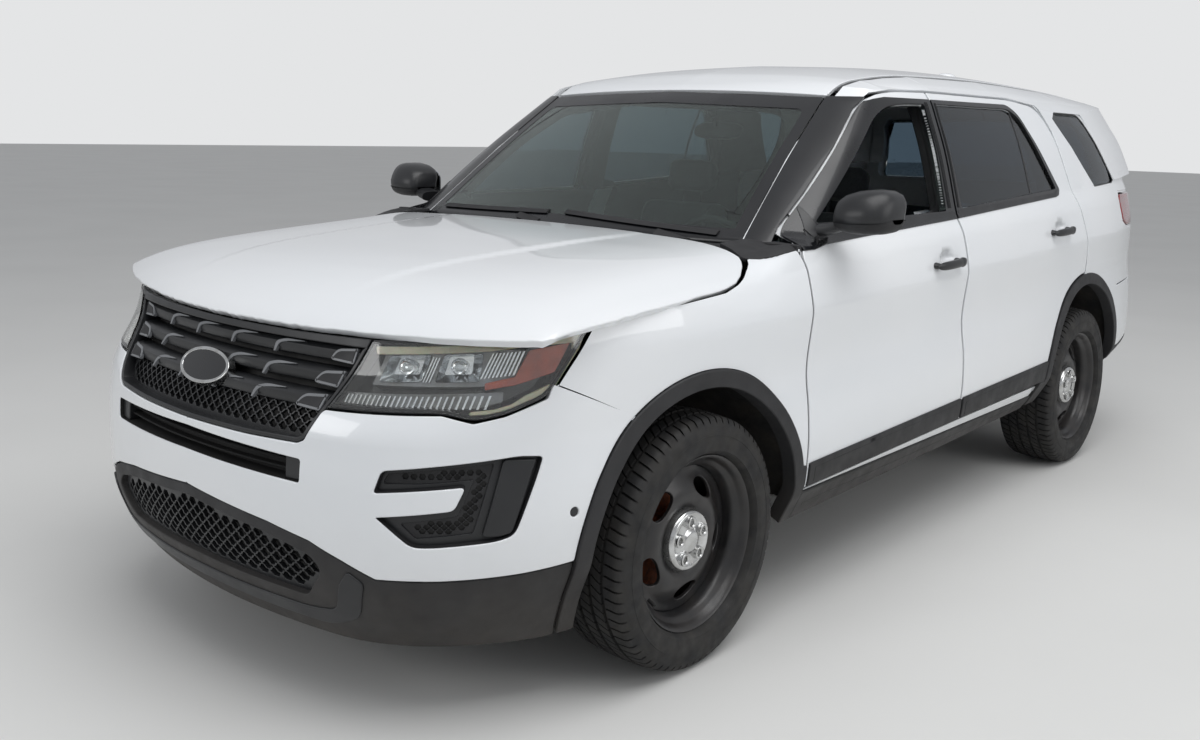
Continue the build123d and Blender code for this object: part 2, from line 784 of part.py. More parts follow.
# Arch mouldings, rocker mouldings and the door cladding, all standing proud of the skin
cladding_outline = ((front_door_front + 4, sill_top_front), (front_door_front + 4, 489), (door_split - 4, 520), (door_split - 4, 438))
rear_cladding_outline = ((door_split + 4, 438), (door_split + 4, 520), (2420, 545), (2420, 455), (2300, 455))


def proud_strip(outline, inner=-seat_gap):
    """A strip on the skin with the given side outline."""
    with BuildPart() as strip:
        add(body_moulding_outer)
        add(body_form(inner), mode=Mode.SUBTRACT)
        add(side_prism(outline, low=600), mode=Mode.INTERSECT)
    return strip.part


def arch_moulding(arch, foot_outline):
    """A moulding round a wheel arch with the foot that joins it to the rocker."""
    with BuildPart() as moulding:
        add(body_moulding_outer)
        add(body_moulding_inner, mode=Mode.SUBTRACT)
        with BuildPart(mode=Mode.PRIVATE) as ring:
            add(arch_prism(arch_outer_radius, *arch, low=700))
            add(side_prism(foot_outline, low=700))
            add(arch_prism(arch_opening_radius, *arch, low=700), mode=Mode.SUBTRACT)
        add(ring.part, mode=Mode.INTERSECT)
    return moulding.part


front_foot = ((400, 306), (front_door_front - 12, 306), (front_door_front - 12, 489), (400, 489))
rear_foot = ((2330, 345), (2440, 345), (2440, 420), (2330, 420))
rocker_outline = ((front_door_front - 8, 300), (2300, 330), (2300, 400), (1545, 400), (front_door_front - 8, 400))
with BuildPart() as rocker:
    add(body_form(-4))
    add(body_form(24), mode=Mode.SUBTRACT)
    add(side_prism(rocker_outline, low=600), mode=Mode.INTERSECT)
with BuildPart() as lower_mouldings:
    for piece in (arch_moulding(front_arch, front_foot), arch_moulding(rear_arch, rear_foot), rocker.part):
        add(piece)
    mirror(about=Plane.YZ)
save(lower_mouldings.part, "lower_mouldings")

# Door trims: cladding, outside handle, belt strip and, in front, the mirror
handle_length = 218
handle_height = 30
handle_out = 44
Handle = namedtuple("Handle", "behind height")
front_handle = Handle(1372, 1030)
rear_handle = Handle(2452, 1090)


def door_handle(place):
    """A bar handle on two feet that stand on the skin."""
    with BuildPart() as handle:
        with BuildSketch(side_plane(990)):
            with Locations((place.behind, place.height)):
                SlotOverall(handle_length, handle_height)
        extrude(amount=handle_out - 16)
        fillet(handle.edges().group_by(Axis.X)[-1], 7)
        with BuildSketch(side_plane(940)):
            with Locations((place.behind - 86, place.height), (place.behind + 86, place.height)):
                RectangleRounded(34, 24, 8)
        extrude(amount=54)
        add(body_form(-seat_gap), mode=Mode.SUBTRACT)
    return handle.part


MirrorSection = namedtuple("MirrorSection", "out behind height length rise corner")
mirror_sections = (
    MirrorSection(962, 632, 1222, 120, 84, 30),
    MirrorSection(1000, 640, 1232, 150, 126, 40),
    MirrorSection(1080, 650, 1238, 172, 146, 48),
    MirrorSection(1130, 664, 1238, 150, 130, 48),
    MirrorSection(1145, 676, 1236, 110, 96, 40),
)


def door_mirror():
    """A mirror housing on an arm from the corner of the front window."""
    with BuildPart() as housing:
        for row in mirror_sections:
            with BuildSketch(side_plane(row.out)):
                with Locations((row.behind, row.height)):
                    RectangleRounded(row.length, row.rise, row.corner)
        loft(ruled=True)
        with BuildSketch(side_plane(850)):
            with Locations((640, 1194)):
                RectangleRounded(120, 30, 12)
        extrude(amount=140)
        add(cabin_form(-seat_gap), mode=Mode.SUBTRACT)
        add(body_form(-seat_gap), mode=Mode.SUBTRACT)
    return housing.part


def door_trim(outline, place, mirror_housing=None):
    with BuildPart() as trim:
        add(proud_strip(outline))
        add(door_handle(place))
        if mirror_housing:
            add(mirror_housing)
    return trim.part


front_trim = door_trim(cladding_outline, front_handle, door_mirror())
with BuildPart() as rear_cladding:
    add(proud_strip(rear_cladding_outline))
    add(rear_door_arch, mode=Mode.SUBTRACT)
    add(door_handle(rear_handle))
save(front_trim, "trim_front_left")
save(right_of(front_trim), "trim_front_right")
save(rear_cladding.part, "trim_rear_left")
save(right_of(rear_cladding.part), "trim_rear_right")

# Front valance below the bumper, with its lower intake
valance_side = ((-1100, 190), (-300, 190), (-395, 430), (-395, 520), (-1100, 560))
intake_outline = ((0, 330), (430, 322), (500, 410), (470, 440), (330, 468), (0, 496))
with BuildPart() as front_valance:
    add(body_form(3))
    add(body_form(40), mode=Mode.SUBTRACT)
    add(side_prism(valance_side, low=-1300), mode=Mode.INTERSECT)
    cuts = [
        front_prism(bumper_lower_edge + ((1100, 1000), (0, 1000))),
        front_prism(intake_outline),
        arch_prism(arch_outer_radius, *front_arch),
    ]
    add(cuts + [right_of(cut) for cut in cuts], mode=Mode.SUBTRACT)
save(front_valance.part, "front_valance")

# Headlamps, one solid each from the lens back
headlamp_side = ((-1100, 700), (-1100, 950), (-775, 972 - hood_gap), (-386, 1006 - hood_gap), (-500, 864), (-500, 700))
with BuildPart() as headlamp:
    add(body_form(2))
    add(body_form(90), mode=Mode.SUBTRACT)
    add(side_prism(headlamp_side, low=300), mode=Mode.INTERSECT)
    add(front_prism(headlamp_front_outline), mode=Mode.INTERSECT)
save(both_sides(headlamp.part), "headlamps")

# Fog lamp bezels seated in the bumper's recesses
with BuildPart() as fog_bezel:
    add(body_form(skin_thickness + seat_gap))
    add(body_form(60), mode=Mode.SUBTRACT)
    add(front_prism(fog_front_outline), mode=Mode.INTERSECT)
    add(side_prism(((-1100, 400), (-1100, 900), (-440, 900), (-440, 400)), low=300), mode=Mode.INTERSECT)
save(both_sides(fog_bezel.part), "fog_bezels")

# Grille: a rim seated in the bumper, three deep bars that follow the nose, and a mesh plate
GrilleBar = namedtuple("GrilleBar", "height depth rise")
grille_bars = (GrilleBar(930, 18, 46), GrilleBar(868, 16, 46), GrilleBar(806, 16, 46))
grille_plate_depth = 62
grille_rim = 16
grille_end_s = -700
grille_top = 950


def nose_block(depth):
    """The grille's share of the nose, from a depth below its surface back to the grille's end."""
    with BuildPart() as block:
        add(slab_box(-620, 620, -1000, grille_end_s, 640, 1000))
        add(body_form(depth), mode=Mode.INTERSECT)
    return block.part


def grille_prism(growth):
    with BuildPart() as prism:
        with BuildSketch(cross_plane(0)):
            with BuildLine():
                Polyline(*grille_front_outline)
                mirror(about=Plane.YZ)
            make_face()
            if growth:
                offset(amount=growth, kind=Kind.INTERSECTION)
        extrude(amount=1100)
    return prism.part


grille_back = nose_block(grille_plate_depth)
with BuildPart() as grille:
    add(grille_prism(0))
    add(slab_box(-620, 620, -1000, 0, 600, grille_top), mode=Mode.INTERSECT)
    add(nose_block(skin_thickness + seat_gap), mode=Mode.INTERSECT)
    add(nose_block(grille_plate_depth + 12), mode=Mode.SUBTRACT)
    with BuildPart(mode=Mode.PRIVATE) as pocket:
        add(grille_prism(-grille_rim))
        add(slab_box(-620, 620, -1000, 0, 600, grille_top - grille_rim), mode=Mode.INTERSECT)
        add(grille_back, mode=Mode.SUBTRACT)
    add(pocket.part, mode=Mode.SUBTRACT)
    for bar in grille_bars:
        with BuildPart(mode=Mode.PRIVATE) as bar_solid:
            add(grille_prism(-2))
            add(slab_box(-620, 620, -1000, 0, bar.height - bar.rise / 2, bar.height + bar.rise / 2),
                mode=Mode.INTERSECT)
            add(nose_block(bar.depth), mode=Mode.INTERSECT)
            add(nose_block(grille_plate_depth + 2), mode=Mode.SUBTRACT)
        add(bar_solid.part)
save(grille.part, "grille")


# Cowl between the hood and the windscreen, with the hood hinge brackets and their pins
cowl_bottom = 1060
cowl_step = 1084
cowl_top = 1128 - seat_gap
with BuildPart() as cowl:
    add(slab_box(-778, 778, 300, 560, cowl_bottom, cowl_top))
    with BuildSketch(plan_plane(cowl_step)):
        with BuildLine():
            Polyline((0, 0), (900, 0), (900, 320), (700, hood_rear - 16), (300, hood_rear + 14), (0, hood_rear + 22))
            mirror(about=Plane.YZ)
        make_face()
    extrude(amount=100, mode=Mode.SUBTRACT)
    add(side_prism(((300, cowl_bottom), (345, cowl_bottom), (300, cowl_step - 10)), low=-900), mode=Mode.SUBTRACT)
    for side in (-1, 1):
        add(slab_box(*sorted((side * (hood_hinge_out - 26), side * (hood_hinge_out + 26))),
                     280, 376, cowl_step, cowl_top + 10), mode=Mode.SUBTRACT)
        with BuildSketch(side_plane(side * hood_hinge_out - 6)):
            with BuildLine():
                Polyline((hood_hinge_s - 12, cowl_step - 6), (hood_hinge_s - 8, hood_hinge_height),
                         (hood_hinge_s + 8, hood_hinge_height), (hood_hinge_s + 16, cowl_step - 6), close=True)
            make_face()
        extrude(amount=12)
        with BuildSketch(side_plane(side * hood_hinge_out - 22)):
            with Locations((hood_hinge_s, hood_hinge_height)):
                Circle(hood_pin_radius)
        extrude(amount=44)
save(cowl.part, "cowl")

# Wipers, resting low on the windscreen on pivots in the cowl
Wiper = namedtuple("Wiper", "pivot elbow inner outer")
wipers = (
    Wiper((560, 1128), (430, 1150), (20, 1186), (640, 1158)),
    Wiper((-70, 1148), (-190, 1164), (-650, 1168), (-60, 1182)),
)
with BuildPart() as wiper_layer:
    add(slab_box(-700, 700, 300, 700, 1120, 1200))
    add(cabin_form(-8), mode=Mode.INTERSECT)
    add(cabin_form(windscreen_inset - seat_gap), mode=Mode.SUBTRACT)
with BuildPart() as wiper_set:
    with BuildSketch(cross_plane(1600)):
        for wiper in wipers:
            for ends, width in (((wiper.pivot, wiper.elbow), 16), ((wiper.inner, wiper.outer), 12)):
                with BuildLine():
                    Line(*ends)
                trace(line_width=width)
    extrude(amount=1600)
    add(wiper_layer.part, mode=Mode.INTERSECT)
save(wiper_set.part, "wipers")

# Underbody: floor, sill edges, firewall, wheelhouses, rails and towers in one welded shell
floor_bottom = 318
floor_thickness = 16
tunnel_half = 112
tunnel_top = 470
rear_floor_bottom = 572
rear_floor_s = 2250
firewall_s = 420
rail_inner = 400
rail_outer = 470
tow_bar_hole_radius = 6.5
liner_inner = 515
rear_liner_inner = 610
liner_radius = 464
liner_thickness = 10
strut_top_out = 600
strut_top_height = 905
floor_side_inset = door_depth + shut_gap + body_flange + seat_gap


def liner(arch, inner):
    """A half round wheelhouse over an arch with its inner wall."""
    with BuildPart() as shell:
        add(arch_prism(liner_radius, *arch, low=inner))
        add(arch_prism(liner_radius - liner_thickness, *arch, low=inner + liner_thickness), mode=Mode.SUBTRACT)
        add(body_form(2 * skin_thickness + 2), mode=Mode.INTERSECT)
        add(slab_box(-1300, 1300, -1100, 4300, 0, floor_bottom + 60), mode=Mode.SUBTRACT)
    return shell.part


def pair(out_low, out_high, *limits):
    """A plain block on the left and its twin on the right."""
    block = slab_box(out_low, out_high, *limits)
    return [block, right_of(block)]


with BuildPart() as beams:
    add(side_prism(((-1100, 534), (-1100, 595), (-750, 595), (-750, 534)), low=-645, high=645))
    add(side_prism(((3900, 535), (3900, 605), (4200, 605), (4200, 535)), low=-680, high=680))
    add(body_form(skin_thickness + seat_gap), mode=Mode.INTERSECT)
    add(body_form(70), mode=Mode.SUBTRACT)
with BuildPart() as underbody:
    add([
        slab_box(-900, 900, firewall_s, rear_floor_s, floor_bottom, floor_bottom + floor_thickness),
        slab_box(-900, 900, rear_floor_s - 16, 3960, rear_floor_bottom, rear_floor_bottom + floor_thickness),
        slab_box(-900, 900, rear_floor_s - 16, rear_floor_s, floor_bottom, rear_floor_bottom + 10),
        slab_box(-900, 900, firewall_s, firewall_s + 14, floor_bottom, cowl_bottom),
        slab_box(-tunnel_half, tunnel_half, firewall_s, rear_floor_s, floor_bottom, tunnel_top),
        *pair(812, 900, front_door_front - shut_gap, rear_floor_s - 8, floor_bottom, 450),
    ])
    add(body_form(floor_side_inset), mode=Mode.INTERSECT)
    wheelhouses = [arch_prism(liner_radius - 1, *arch, low=inner + 1)
                   for arch, inner in ((front_arch, liner_inner), (rear_arch, rear_liner_inner))]
    add([
        slab_box(-tunnel_half + 14, tunnel_half - 14, firewall_s - 1, rear_floor_s - 30, floor_bottom - 1, tunnel_top - 14),
        *wheelhouses,
        *[right_of(space) for space in wheelhouses],
    ], mode=Mode.SUBTRACT)
    liners = [liner(front_arch, liner_inner), liner(rear_arch, rear_liner_inner)]
    add([
        *liners,
        *[right_of(piece) for piece in liners],
        *pair(rail_inner, rail_outer, -830, firewall_s + 5, 470, 590),
        *pair(rail_inner, rail_outer, rear_floor_s - 8, 4000, rear_floor_bottom - 90, rear_floor_bottom + 4),
        *pair(rail_inner + 40, liner_inner + 4, -200, 200, 540, 590),
        *pair(liner_inner, 740, -116, 116, 770, 930),
        *pair(735, 800, -370, firewall_s + 4, 890, 940),
        *pair(520, 768, -636, -606, 590, 770),
        *pair(440, 530, -830, -620, 560, 590),
        slab_box(-440, 440, -830, -790, 330, 600),
        beams.part,
    ])
    towers = pair(liner_inner + 10, 730, -106, 106, 600, strut_top_height + 6)
    with BuildPart(mode=Mode.PRIVATE) as holes:
        with BuildSketch(plan_plane(900)):
            with Locations((-strut_top_out, 0), (strut_top_out, 0)):
                Circle(24)
        extrude(amount=60)
        with BuildSketch(plan_plane(rear_floor_bottom - 90)):
            for side in (-1, 1):
                for behind in (3760, 3900):
                    with Locations((side * (rail_inner + rail_outer) / 2, behind)):
                        Circle(tow_bar_hole_radius)
        extrude(amount=40)
    add([*towers, holes.part], mode=Mode.SUBTRACT)


def underbody_section(front, rear):
    """The share of the welded shell between two joints across the car."""
    with BuildPart() as section:
        add(underbody.part)
        add(slab_box(-1300, 1300, front, rear, 0, 1800), mode=Mode.INTERSECT)
    return section.part


front_joint = firewall_s + 14
rear_joint = rear_floor_s - 16
save(underbody_section(-1100, front_joint), "front_structure")
save(underbody_section(front_joint + seat_gap, rear_joint), "floor")
save(underbody_section(rear_joint + seat_gap, 4300), "rear_structure")

# Front axle: subframe and lower arms; the steered knuckles turn about the leaning strut line
ball_joint_out = 770
ball_joint_height = 225
ball_joint_radius = 22
ball_stud_radius = 8
ball_stud_hole = 8.3
strut_radius = 25
strut_rod_radius = 12
spring_radius = 58
subframe_bottom = 236
arm_height = 22
kingpin_rise = strut_top_height - ball_joint_height
kingpin_lean = ball_joint_out - strut_top_out


def kingpin_out_at(height):
    """How far out the steering axis is at a height."""
    return ball_joint_out - kingpin_lean * (height - ball_joint_height) / kingpin_rise


def kingpin_plane(height):
    """A plane square to the left steering axis at a height."""
    return Plane((kingpin_out_at(height), front_axle_y, height), x_dir=(0, 1, 0),
                 z_dir=(-kingpin_lean, 0, kingpin_rise))


with BuildPart() as front_axle:
    add(slab_box(-440, 440, -170, 210, subframe_bottom, subframe_bottom + 60))
    fillet(front_axle.edges().filter_by(Axis.Z), 40)
    add(slab_box(-300, 300, -110, 150, subframe_bottom + 12, subframe_bottom + 100), mode=Mode.SUBTRACT)
    for side in (-1, 1):
        add(slab_box(*sorted((side * (rail_inner + 4), side * 436)), -140, -60, subframe_bottom + 50, 470 - seat_gap))
        add(slab_box(*sorted((side * (rail_inner + 4), side * 436)), 120, 190, subframe_bottom + 50, 470 - seat_gap))
        with BuildSketch(plan_plane(ball_joint_height - arm_height - seat_gap)):
            with BuildLine():
                Polyline((side * 430, -70), (side * 600, -26), (side * ball_joint_out, -22),
                         (side * ball_joint_out, 22), (side * 620, 34), (side * 430, 190), close=True)
            make_face()
            with Locations((side * ball_joint_out, 0)):
                Circle(ball_joint_radius)
            with Locations((side * 500, 40)):
                Circle(28, mode=Mode.SUBTRACT)
        extrude(amount=arm_height)
        add(slab_box(*sorted((side * 424, side * 444)), -70, 190, ball_joint_height - arm_height - seat_gap, subframe_bottom + 20))
    with BuildPart(mode=Mode.PRIVATE) as ball_stud:
        with BuildSketch(kingpin_plane(ball_joint_height - 12)):
            Circle(ball_stud_radius)
        extrude(amount=38)
    add([ball_stud.part, right_of(ball_stud.part)])
save(front_axle.part, "front_axle")

# Knuckle with its stub axle, strut, spring and brake caliper
disc_out = 800
caliper_radius = 194
caliper_gap = 5
hub_face_out = wheel_centre_out + mounting_face_out - 10


def disc_around_wheel(out_low, out_high, radius, hole=0):
    """A disc on the left wheel's axis between two distances out."""
    with BuildPart() as disc:
        with BuildSketch(side_plane(out_low)):
            with Locations((0, wheel_centre_height)):
                Circle(radius)
                if hole:
                    Circle(hole, mode=Mode.SUBTRACT)
        extrude(amount=out_high - out_low)
    return disc.part


def caliper(turn):
    """A brake caliper over the disc's edge, turned about the axle from straight up."""
    with BuildPart() as block:
        add(disc_around_wheel(disc_out - 36, disc_out + disc_thickness + 32, caliper_radius))
        add(disc_around_wheel(disc_out - 40, disc_out + disc_thickness + 40, 116), mode=Mode.SUBTRACT)
        add(disc_around_wheel(disc_out - caliper_gap, disc_out + disc_thickness + caliper_gap,
                              disc_radius + caliper_gap), mode=Mode.SUBTRACT)
        with BuildSketch(side_plane(500)):
            with BuildLine():
                Polyline((0, wheel_centre_height), (300 * sin(radians(turn - 24)), wheel_centre_height + 300 * cos(radians(turn - 24))),
                         (300 * sin(radians(turn + 24)), wheel_centre_height + 300 * cos(radians(turn + 24))), close=True)
            make_face()
        extrude(amount=600, mode=Mode.INTERSECT)
    return block.part


def hub_carrier():
    """The block behind the disc with the stub axle that the wheel turns on."""
    with BuildPart() as carrier:
        add(disc_around_wheel(700, disc_out - caliper_gap, 58))
        add(disc_around_wheel(disc_out - caliper_gap - 1, hub_face_out, hub_pilot_radius - seat_gap))
        with BuildSketch(side_plane(disc_out - 36)):
            with BuildLine():
                Polyline((-40, wheel_centre_height - 40), (40, wheel_centre_height - 40),
                         (182, wheel_centre_height - 52), (182, wheel_centre_height + 52),
                         (40, wheel_centre_height + 40), (-40, wheel_centre_height + 40), close=True)
            make_face()
        extrude(amount=20)
        add(caliper(90))
    return carrier.part


with BuildPart() as knuckle:
    add(hub_carrier())
    with BuildSketch(side_plane(716)):
        with BuildLine():
            Polyline((-34, 300), (34, 300), (26, 520), (-26, 520), close=True)
        make_face()
    extrude(amount=44)
    add(slab_box(716, ball_joint_out, -20, 20, 250, 310))
    with BuildSketch(kingpin_plane(ball_joint_height + 8)):
        Circle(ball_joint_radius)
    extrude(amount=44)
    with BuildSketch(kingpin_plane(ball_joint_height + 7)):
        Circle(ball_stud_hole)
    extrude(amount=30, mode=Mode.SUBTRACT)
    add(slab_box(kingpin_out_at(500) - 20, 740, -26, 26, 470, 530))
    for low, high, radius in ((500, 745, strut_radius), (740, strut_top_height, strut_rod_radius),
                              (742, 756, spring_radius + 8), (756, 872, spring_radius), (872, 884, spring_radius + 4)):
        with BuildSketch(kingpin_plane(low)):
            Circle(radius)
        extrude(amount=(high - low) / cos(atan2(kingpin_lean, kingpin_rise)))
left_knuckle = knuckle.part
save(left_knuckle, "knuckle_left")
save(right_of(left_knuckle), "knuckle_right")

# Rear axle: crossmember, arms, carriers, springs and dampers
rear_spring_out = 548
with BuildPart() as rear_axle:
    add(slab_box(-400, 400, wheelbase - 150, wheelbase + 150, 320, 420))
    fillet(rear_axle.edges().filter_by(Axis.Z), 40)
    add(slab_box(-260, 260, wheelbase - 90, wheelbase + 90, 310, 430), mode=Mode.SUBTRACT)
    for side in (-1, 1):
        add(slab_box(*sorted((side * (rail_inner - 10), side * 466)), wheelbase - 140, wheelbase - 60, 330, rear_floor_bottom - 90 - seat_gap))
        add(slab_box(*sorted((side * (rail_inner - 10), side * 466)), wheelbase + 60, wheelbase + 140, 330, rear_floor_bottom - 90 - seat_gap))
        add(slab_box(*sorted((side * 380, side * 740)), wheelbase + 70, wheelbase + 150, 240, 272))
        add(slab_box(*sorted((side * 380, side * 740)), wheelbase - 130, wheelbase - 90, 300, 330))
        add(slab_box(*sorted((side * 380, side * 740)), wheelbase - 30, wheelbase + 10, 346, 372))
        add(slab_box(*sorted((side * 380, side * 440)), wheelbase + 70, wheelbase + 150, 240, 330))
        add(slab_box(*sorted((side * 704, side * 740)), wheelbase - 130, wheelbase + 150, 246, 460))
        with BuildSketch(plan_plane(272)):
            with Locations((side * rear_spring_out, wheelbase + 110)):
                Circle(52)
        extrude(amount=rear_floor_bottom - seat_gap - 272)
    with BuildPart(mode=Mode.PRIVATE) as carriers:
        add(hub_carrier())
        mirror(about=Plane.YZ)
    add(carriers.part.moved(Location((0, wheelbase, 0))))
save(rear_axle.part, "rear_axle")

# Steel wheel: revolved rim and dished disc with oval holes, brake disc and hub cap
oval_holes = 5
oval_hole_circle = 154
oval_hole_length = 92
oval_hole_width = 50
first_oval_turn = -13
cap_radius = 88
rim_inner_edge = wheel_centre_out - rim_width / 2
rim_outer_edge = wheel_centre_out + rim_width / 2
wheel_face_out = wheel_centre_out + mounting_face_out
RimPoint = namedtuple("RimPoint", "out radius")
rim_section = (
    RimPoint(rim_inner_edge, rim_flange_radius - 2),
    RimPoint(rim_inner_edge + 10, rim_flange_radius - 2),
    RimPoint(rim_inner_edge + 12, rim_radius - seat_gap),
    RimPoint(rim_inner_edge + 46, rim_radius - seat_gap - 2),
    RimPoint(rim_inner_edge + 70, 208),
    RimPoint(rim_outer_edge - 62, 208),
    RimPoint(rim_outer_edge - 44, rim_radius - seat_gap - 2),
    RimPoint(rim_outer_edge - 12, rim_radius - seat_gap),
    RimPoint(rim_outer_edge - 10, rim_flange_radius - 2),
    RimPoint(rim_outer_edge, rim_flange_radius - 2),
    RimPoint(rim_outer_edge - 2, 224),
    RimPoint(rim_outer_edge - 40, 218),
    RimPoint(rim_outer_edge - 58, 200),
    RimPoint(rim_inner_edge + 66, 200),
    RimPoint(rim_inner_edge + 44, 219),
    RimPoint(rim_inner_edge, 222),
)
dish_section = (
    RimPoint(wheel_face_out - 10, hub_pilot_radius),
    RimPoint(wheel_face_out, hub_pilot_radius),
    RimPoint(wheel_face_out, 74),
    RimPoint(wheel_face_out + 20, 104),
    RimPoint(wheel_face_out + 18, 140),
    RimPoint(wheel_face_out - 4, 176),
    RimPoint(wheel_face_out - 6, 204),
    RimPoint(wheel_face_out - 16, 204),
    RimPoint(wheel_face_out - 14, 172),
    RimPoint(wheel_face_out + 8, 136),
    RimPoint(wheel_face_out + 10, 106),
    RimPoint(wheel_face_out - 10, 78),
)


def revolved(section):
    """A ring about the wheel's axis from a section in distance out and radius."""
    with BuildPart() as ring:
        with BuildSketch(Plane((0, front_axle_y, wheel_centre_height), x_dir=(1, 0, 0), z_dir=(0, -1, 0))):
            with BuildLine():
                Polyline(*section, close=True)
            make_face()
        revolve(axis=Axis((0, front_axle_y, wheel_centre_height), (1, 0, 0)))
    return ring.part


with BuildPart() as wheel:
    add(revolved(rim_section))
    add(revolved(dish_section))
    with BuildSketch(side_plane(wheel_face_out - 40)):
        with Locations((0, wheel_centre_height)):
            with PolarLocations(oval_hole_circle, oval_holes, start_angle=first_oval_turn):
                RectangleRounded(oval_hole_width, oval_hole_length, oval_hole_width / 2 - 1)
    extrude(amount=90, mode=Mode.SUBTRACT)
    add(disc_around_wheel(disc_out, disc_out + disc_thickness, disc_radius, 70))
    add(disc_around_wheel(disc_out + disc_thickness - 8, wheel_face_out - 10, 78, 62))
    add(revolved((
        RimPoint(wheel_face_out, 60), RimPoint(wheel_face_out, cap_radius - 16), RimPoint(wheel_face_out + 16, cap_radius),
        RimPoint(wheel_face_out + 34, cap_radius - 6), RimPoint(wheel_face_out + 46, 40), RimPoint(wheel_face_out + 48, 0),
        RimPoint(wheel_face_out + 10, 0), RimPoint(wheel_face_out + 10, 60),
    )))

# Tyre: tread grooves, shoulders, sidewalls and beads
tyre_half = tyre_width / 2
tyre_groove_depth = 8
bead_out = rim_width / 2 - 12
tread_half = 104
tyre_groove_places = (-62, -22, 22, 62)
tyre_groove_width = 10
with BuildPart() as tyre:
    with BuildSketch(Plane((wheel_centre_out, front_axle_y, wheel_centre_height), x_dir=(1, 0, 0), z_dir=(0, -1, 0))):
        with BuildLine():
            tread = ThreePointArc((-tread_half, tyre_radius - 8), (0, tyre_radius), (tread_half, tyre_radius - 8))
            for side in (-1, 1):
                shoulder = ThreePointArc((side * tread_half, tyre_radius - 8),
                                         (side * (tyre_half - 6), tyre_radius - 20), (side * tyre_half, tyre_radius - 48))
                wall = ThreePointArc(shoulder @ 1, (side * (tyre_half + 1), tyre_radius - 74),
                                     (side * (bead_out + 1), rim_flange_radius + 4))
                Line(wall @ 1, (side * bead_out, rim_radius))
                Line((side * bead_out, rim_radius), (side * (bead_out - 14), rim_radius))
                Line((side * (bead_out - 14), rim_radius), (side * (bead_out - 10), rim_radius + 30))
                ThreePointArc((side * (bead_out - 10), rim_radius + 30), (side * (tyre_half - 10), tyre_radius - 66),
                              (side * (tread_half - 8), tyre_radius - 22))
            Line((-tread_half + 8, tyre_radius - 22), (tread_half - 8, tyre_radius - 22))
        make_face()
        with Locations([(place, tyre_radius) for place in tyre_groove_places]):
            Rectangle(tyre_groove_width, 2 * tyre_groove_depth, mode=Mode.SUBTRACT)
    revolve(axis=Axis((0, front_axle_y, wheel_centre_height), (1, 0, 0)))

Corner = namedtuple("Corner", "name behind left")
corners = (
    Corner("front_left", 0, True),
    Corner("front_right", 0, False),
    Corner("rear_left", wheelbase, True),
    Corner("rear_right", wheelbase, False),
)
for corner in corners:
    for kind, solid in (("wheel", wheel.part), ("tyre", tyre.part)):
        placed = solid if corner.left else right_of(solid)
        save(placed.moved(Location((0, corner.behind, 0))), f"{kind}_{corner.name}")

# Engine bay: a plain engine block on mounts, and the radiator
engine_mount_out = rail_inner - seat_gap
with BuildPart() as engine:
    add(slab_box(-330, 330, -600, -50, 330, 900))
    fillet(engine.edges(), 24)
    add(slab_box(-engine_mount_out, engine_mount_out, -380, -300, 480, 560))
save(engine.part, "engine")
with BuildPart() as radiator:
    add(slab_box(-390, 390, -790 + seat_gap, -742, 340, 690))
    fillet(radiator.edges().filter_by(Axis.Y), 20)
save(radiator.part, "radiator")

# Exhaust: pipe hung under the floor, silencer behind the rear axle
exhaust_out = -250
exhaust_radius = 28
exhaust_height = 284
with BuildPart() as exhaust:
    with BuildLine() as exhaust_path:
        FilletPolyline(
            (exhaust_out, front_axle_y + 500, exhaust_height),
            (exhaust_out, front_axle_y + 3080, exhaust_height),
            (exhaust_out, front_axle_y + 3330, 430),
            (exhaust_out, front_axle_y + 3420, 430),
            radius=90,
        )
    with BuildSketch(Plane(exhaust_path.line @ 0, z_dir=exhaust_path.line % 0)):
        Circle(exhaust_radius)
    sweep()
    with BuildPart(mode=Mode.PRIVATE) as silencer:
        add(slab_box(exhaust_out - 120, 360, 3380, 3640, 350, 500))
        fillet(silencer.edges(), 40)
    add(silencer.part)
    for behind in (700, 1900):
        add(slab_box(exhaust_out - 12, exhaust_out + 12, behind - 15, behind + 15, exhaust_height, floor_bottom - seat_gap))
    for out in (-300, 300):
        add(slab_box(out - 12, out + 12, 3500, 3530, 490, rear_floor_bottom - seat_gap))
save(exhaust.part, "exhaust")

with BuildPart() as fuel_tank:
    add(slab_box(-190, rail_inner - seat_gap, rear_floor_s + 12, 2640, 350, rear_floor_bottom - seat_gap))
    fillet(fuel_tank.edges().filter_by(Axis.Z), 40)
    fillet(fuel_tank.faces().sort_by(Axis.Z)[0].edges(), 30)
save(fuel_tank.part, "fuel_tank")

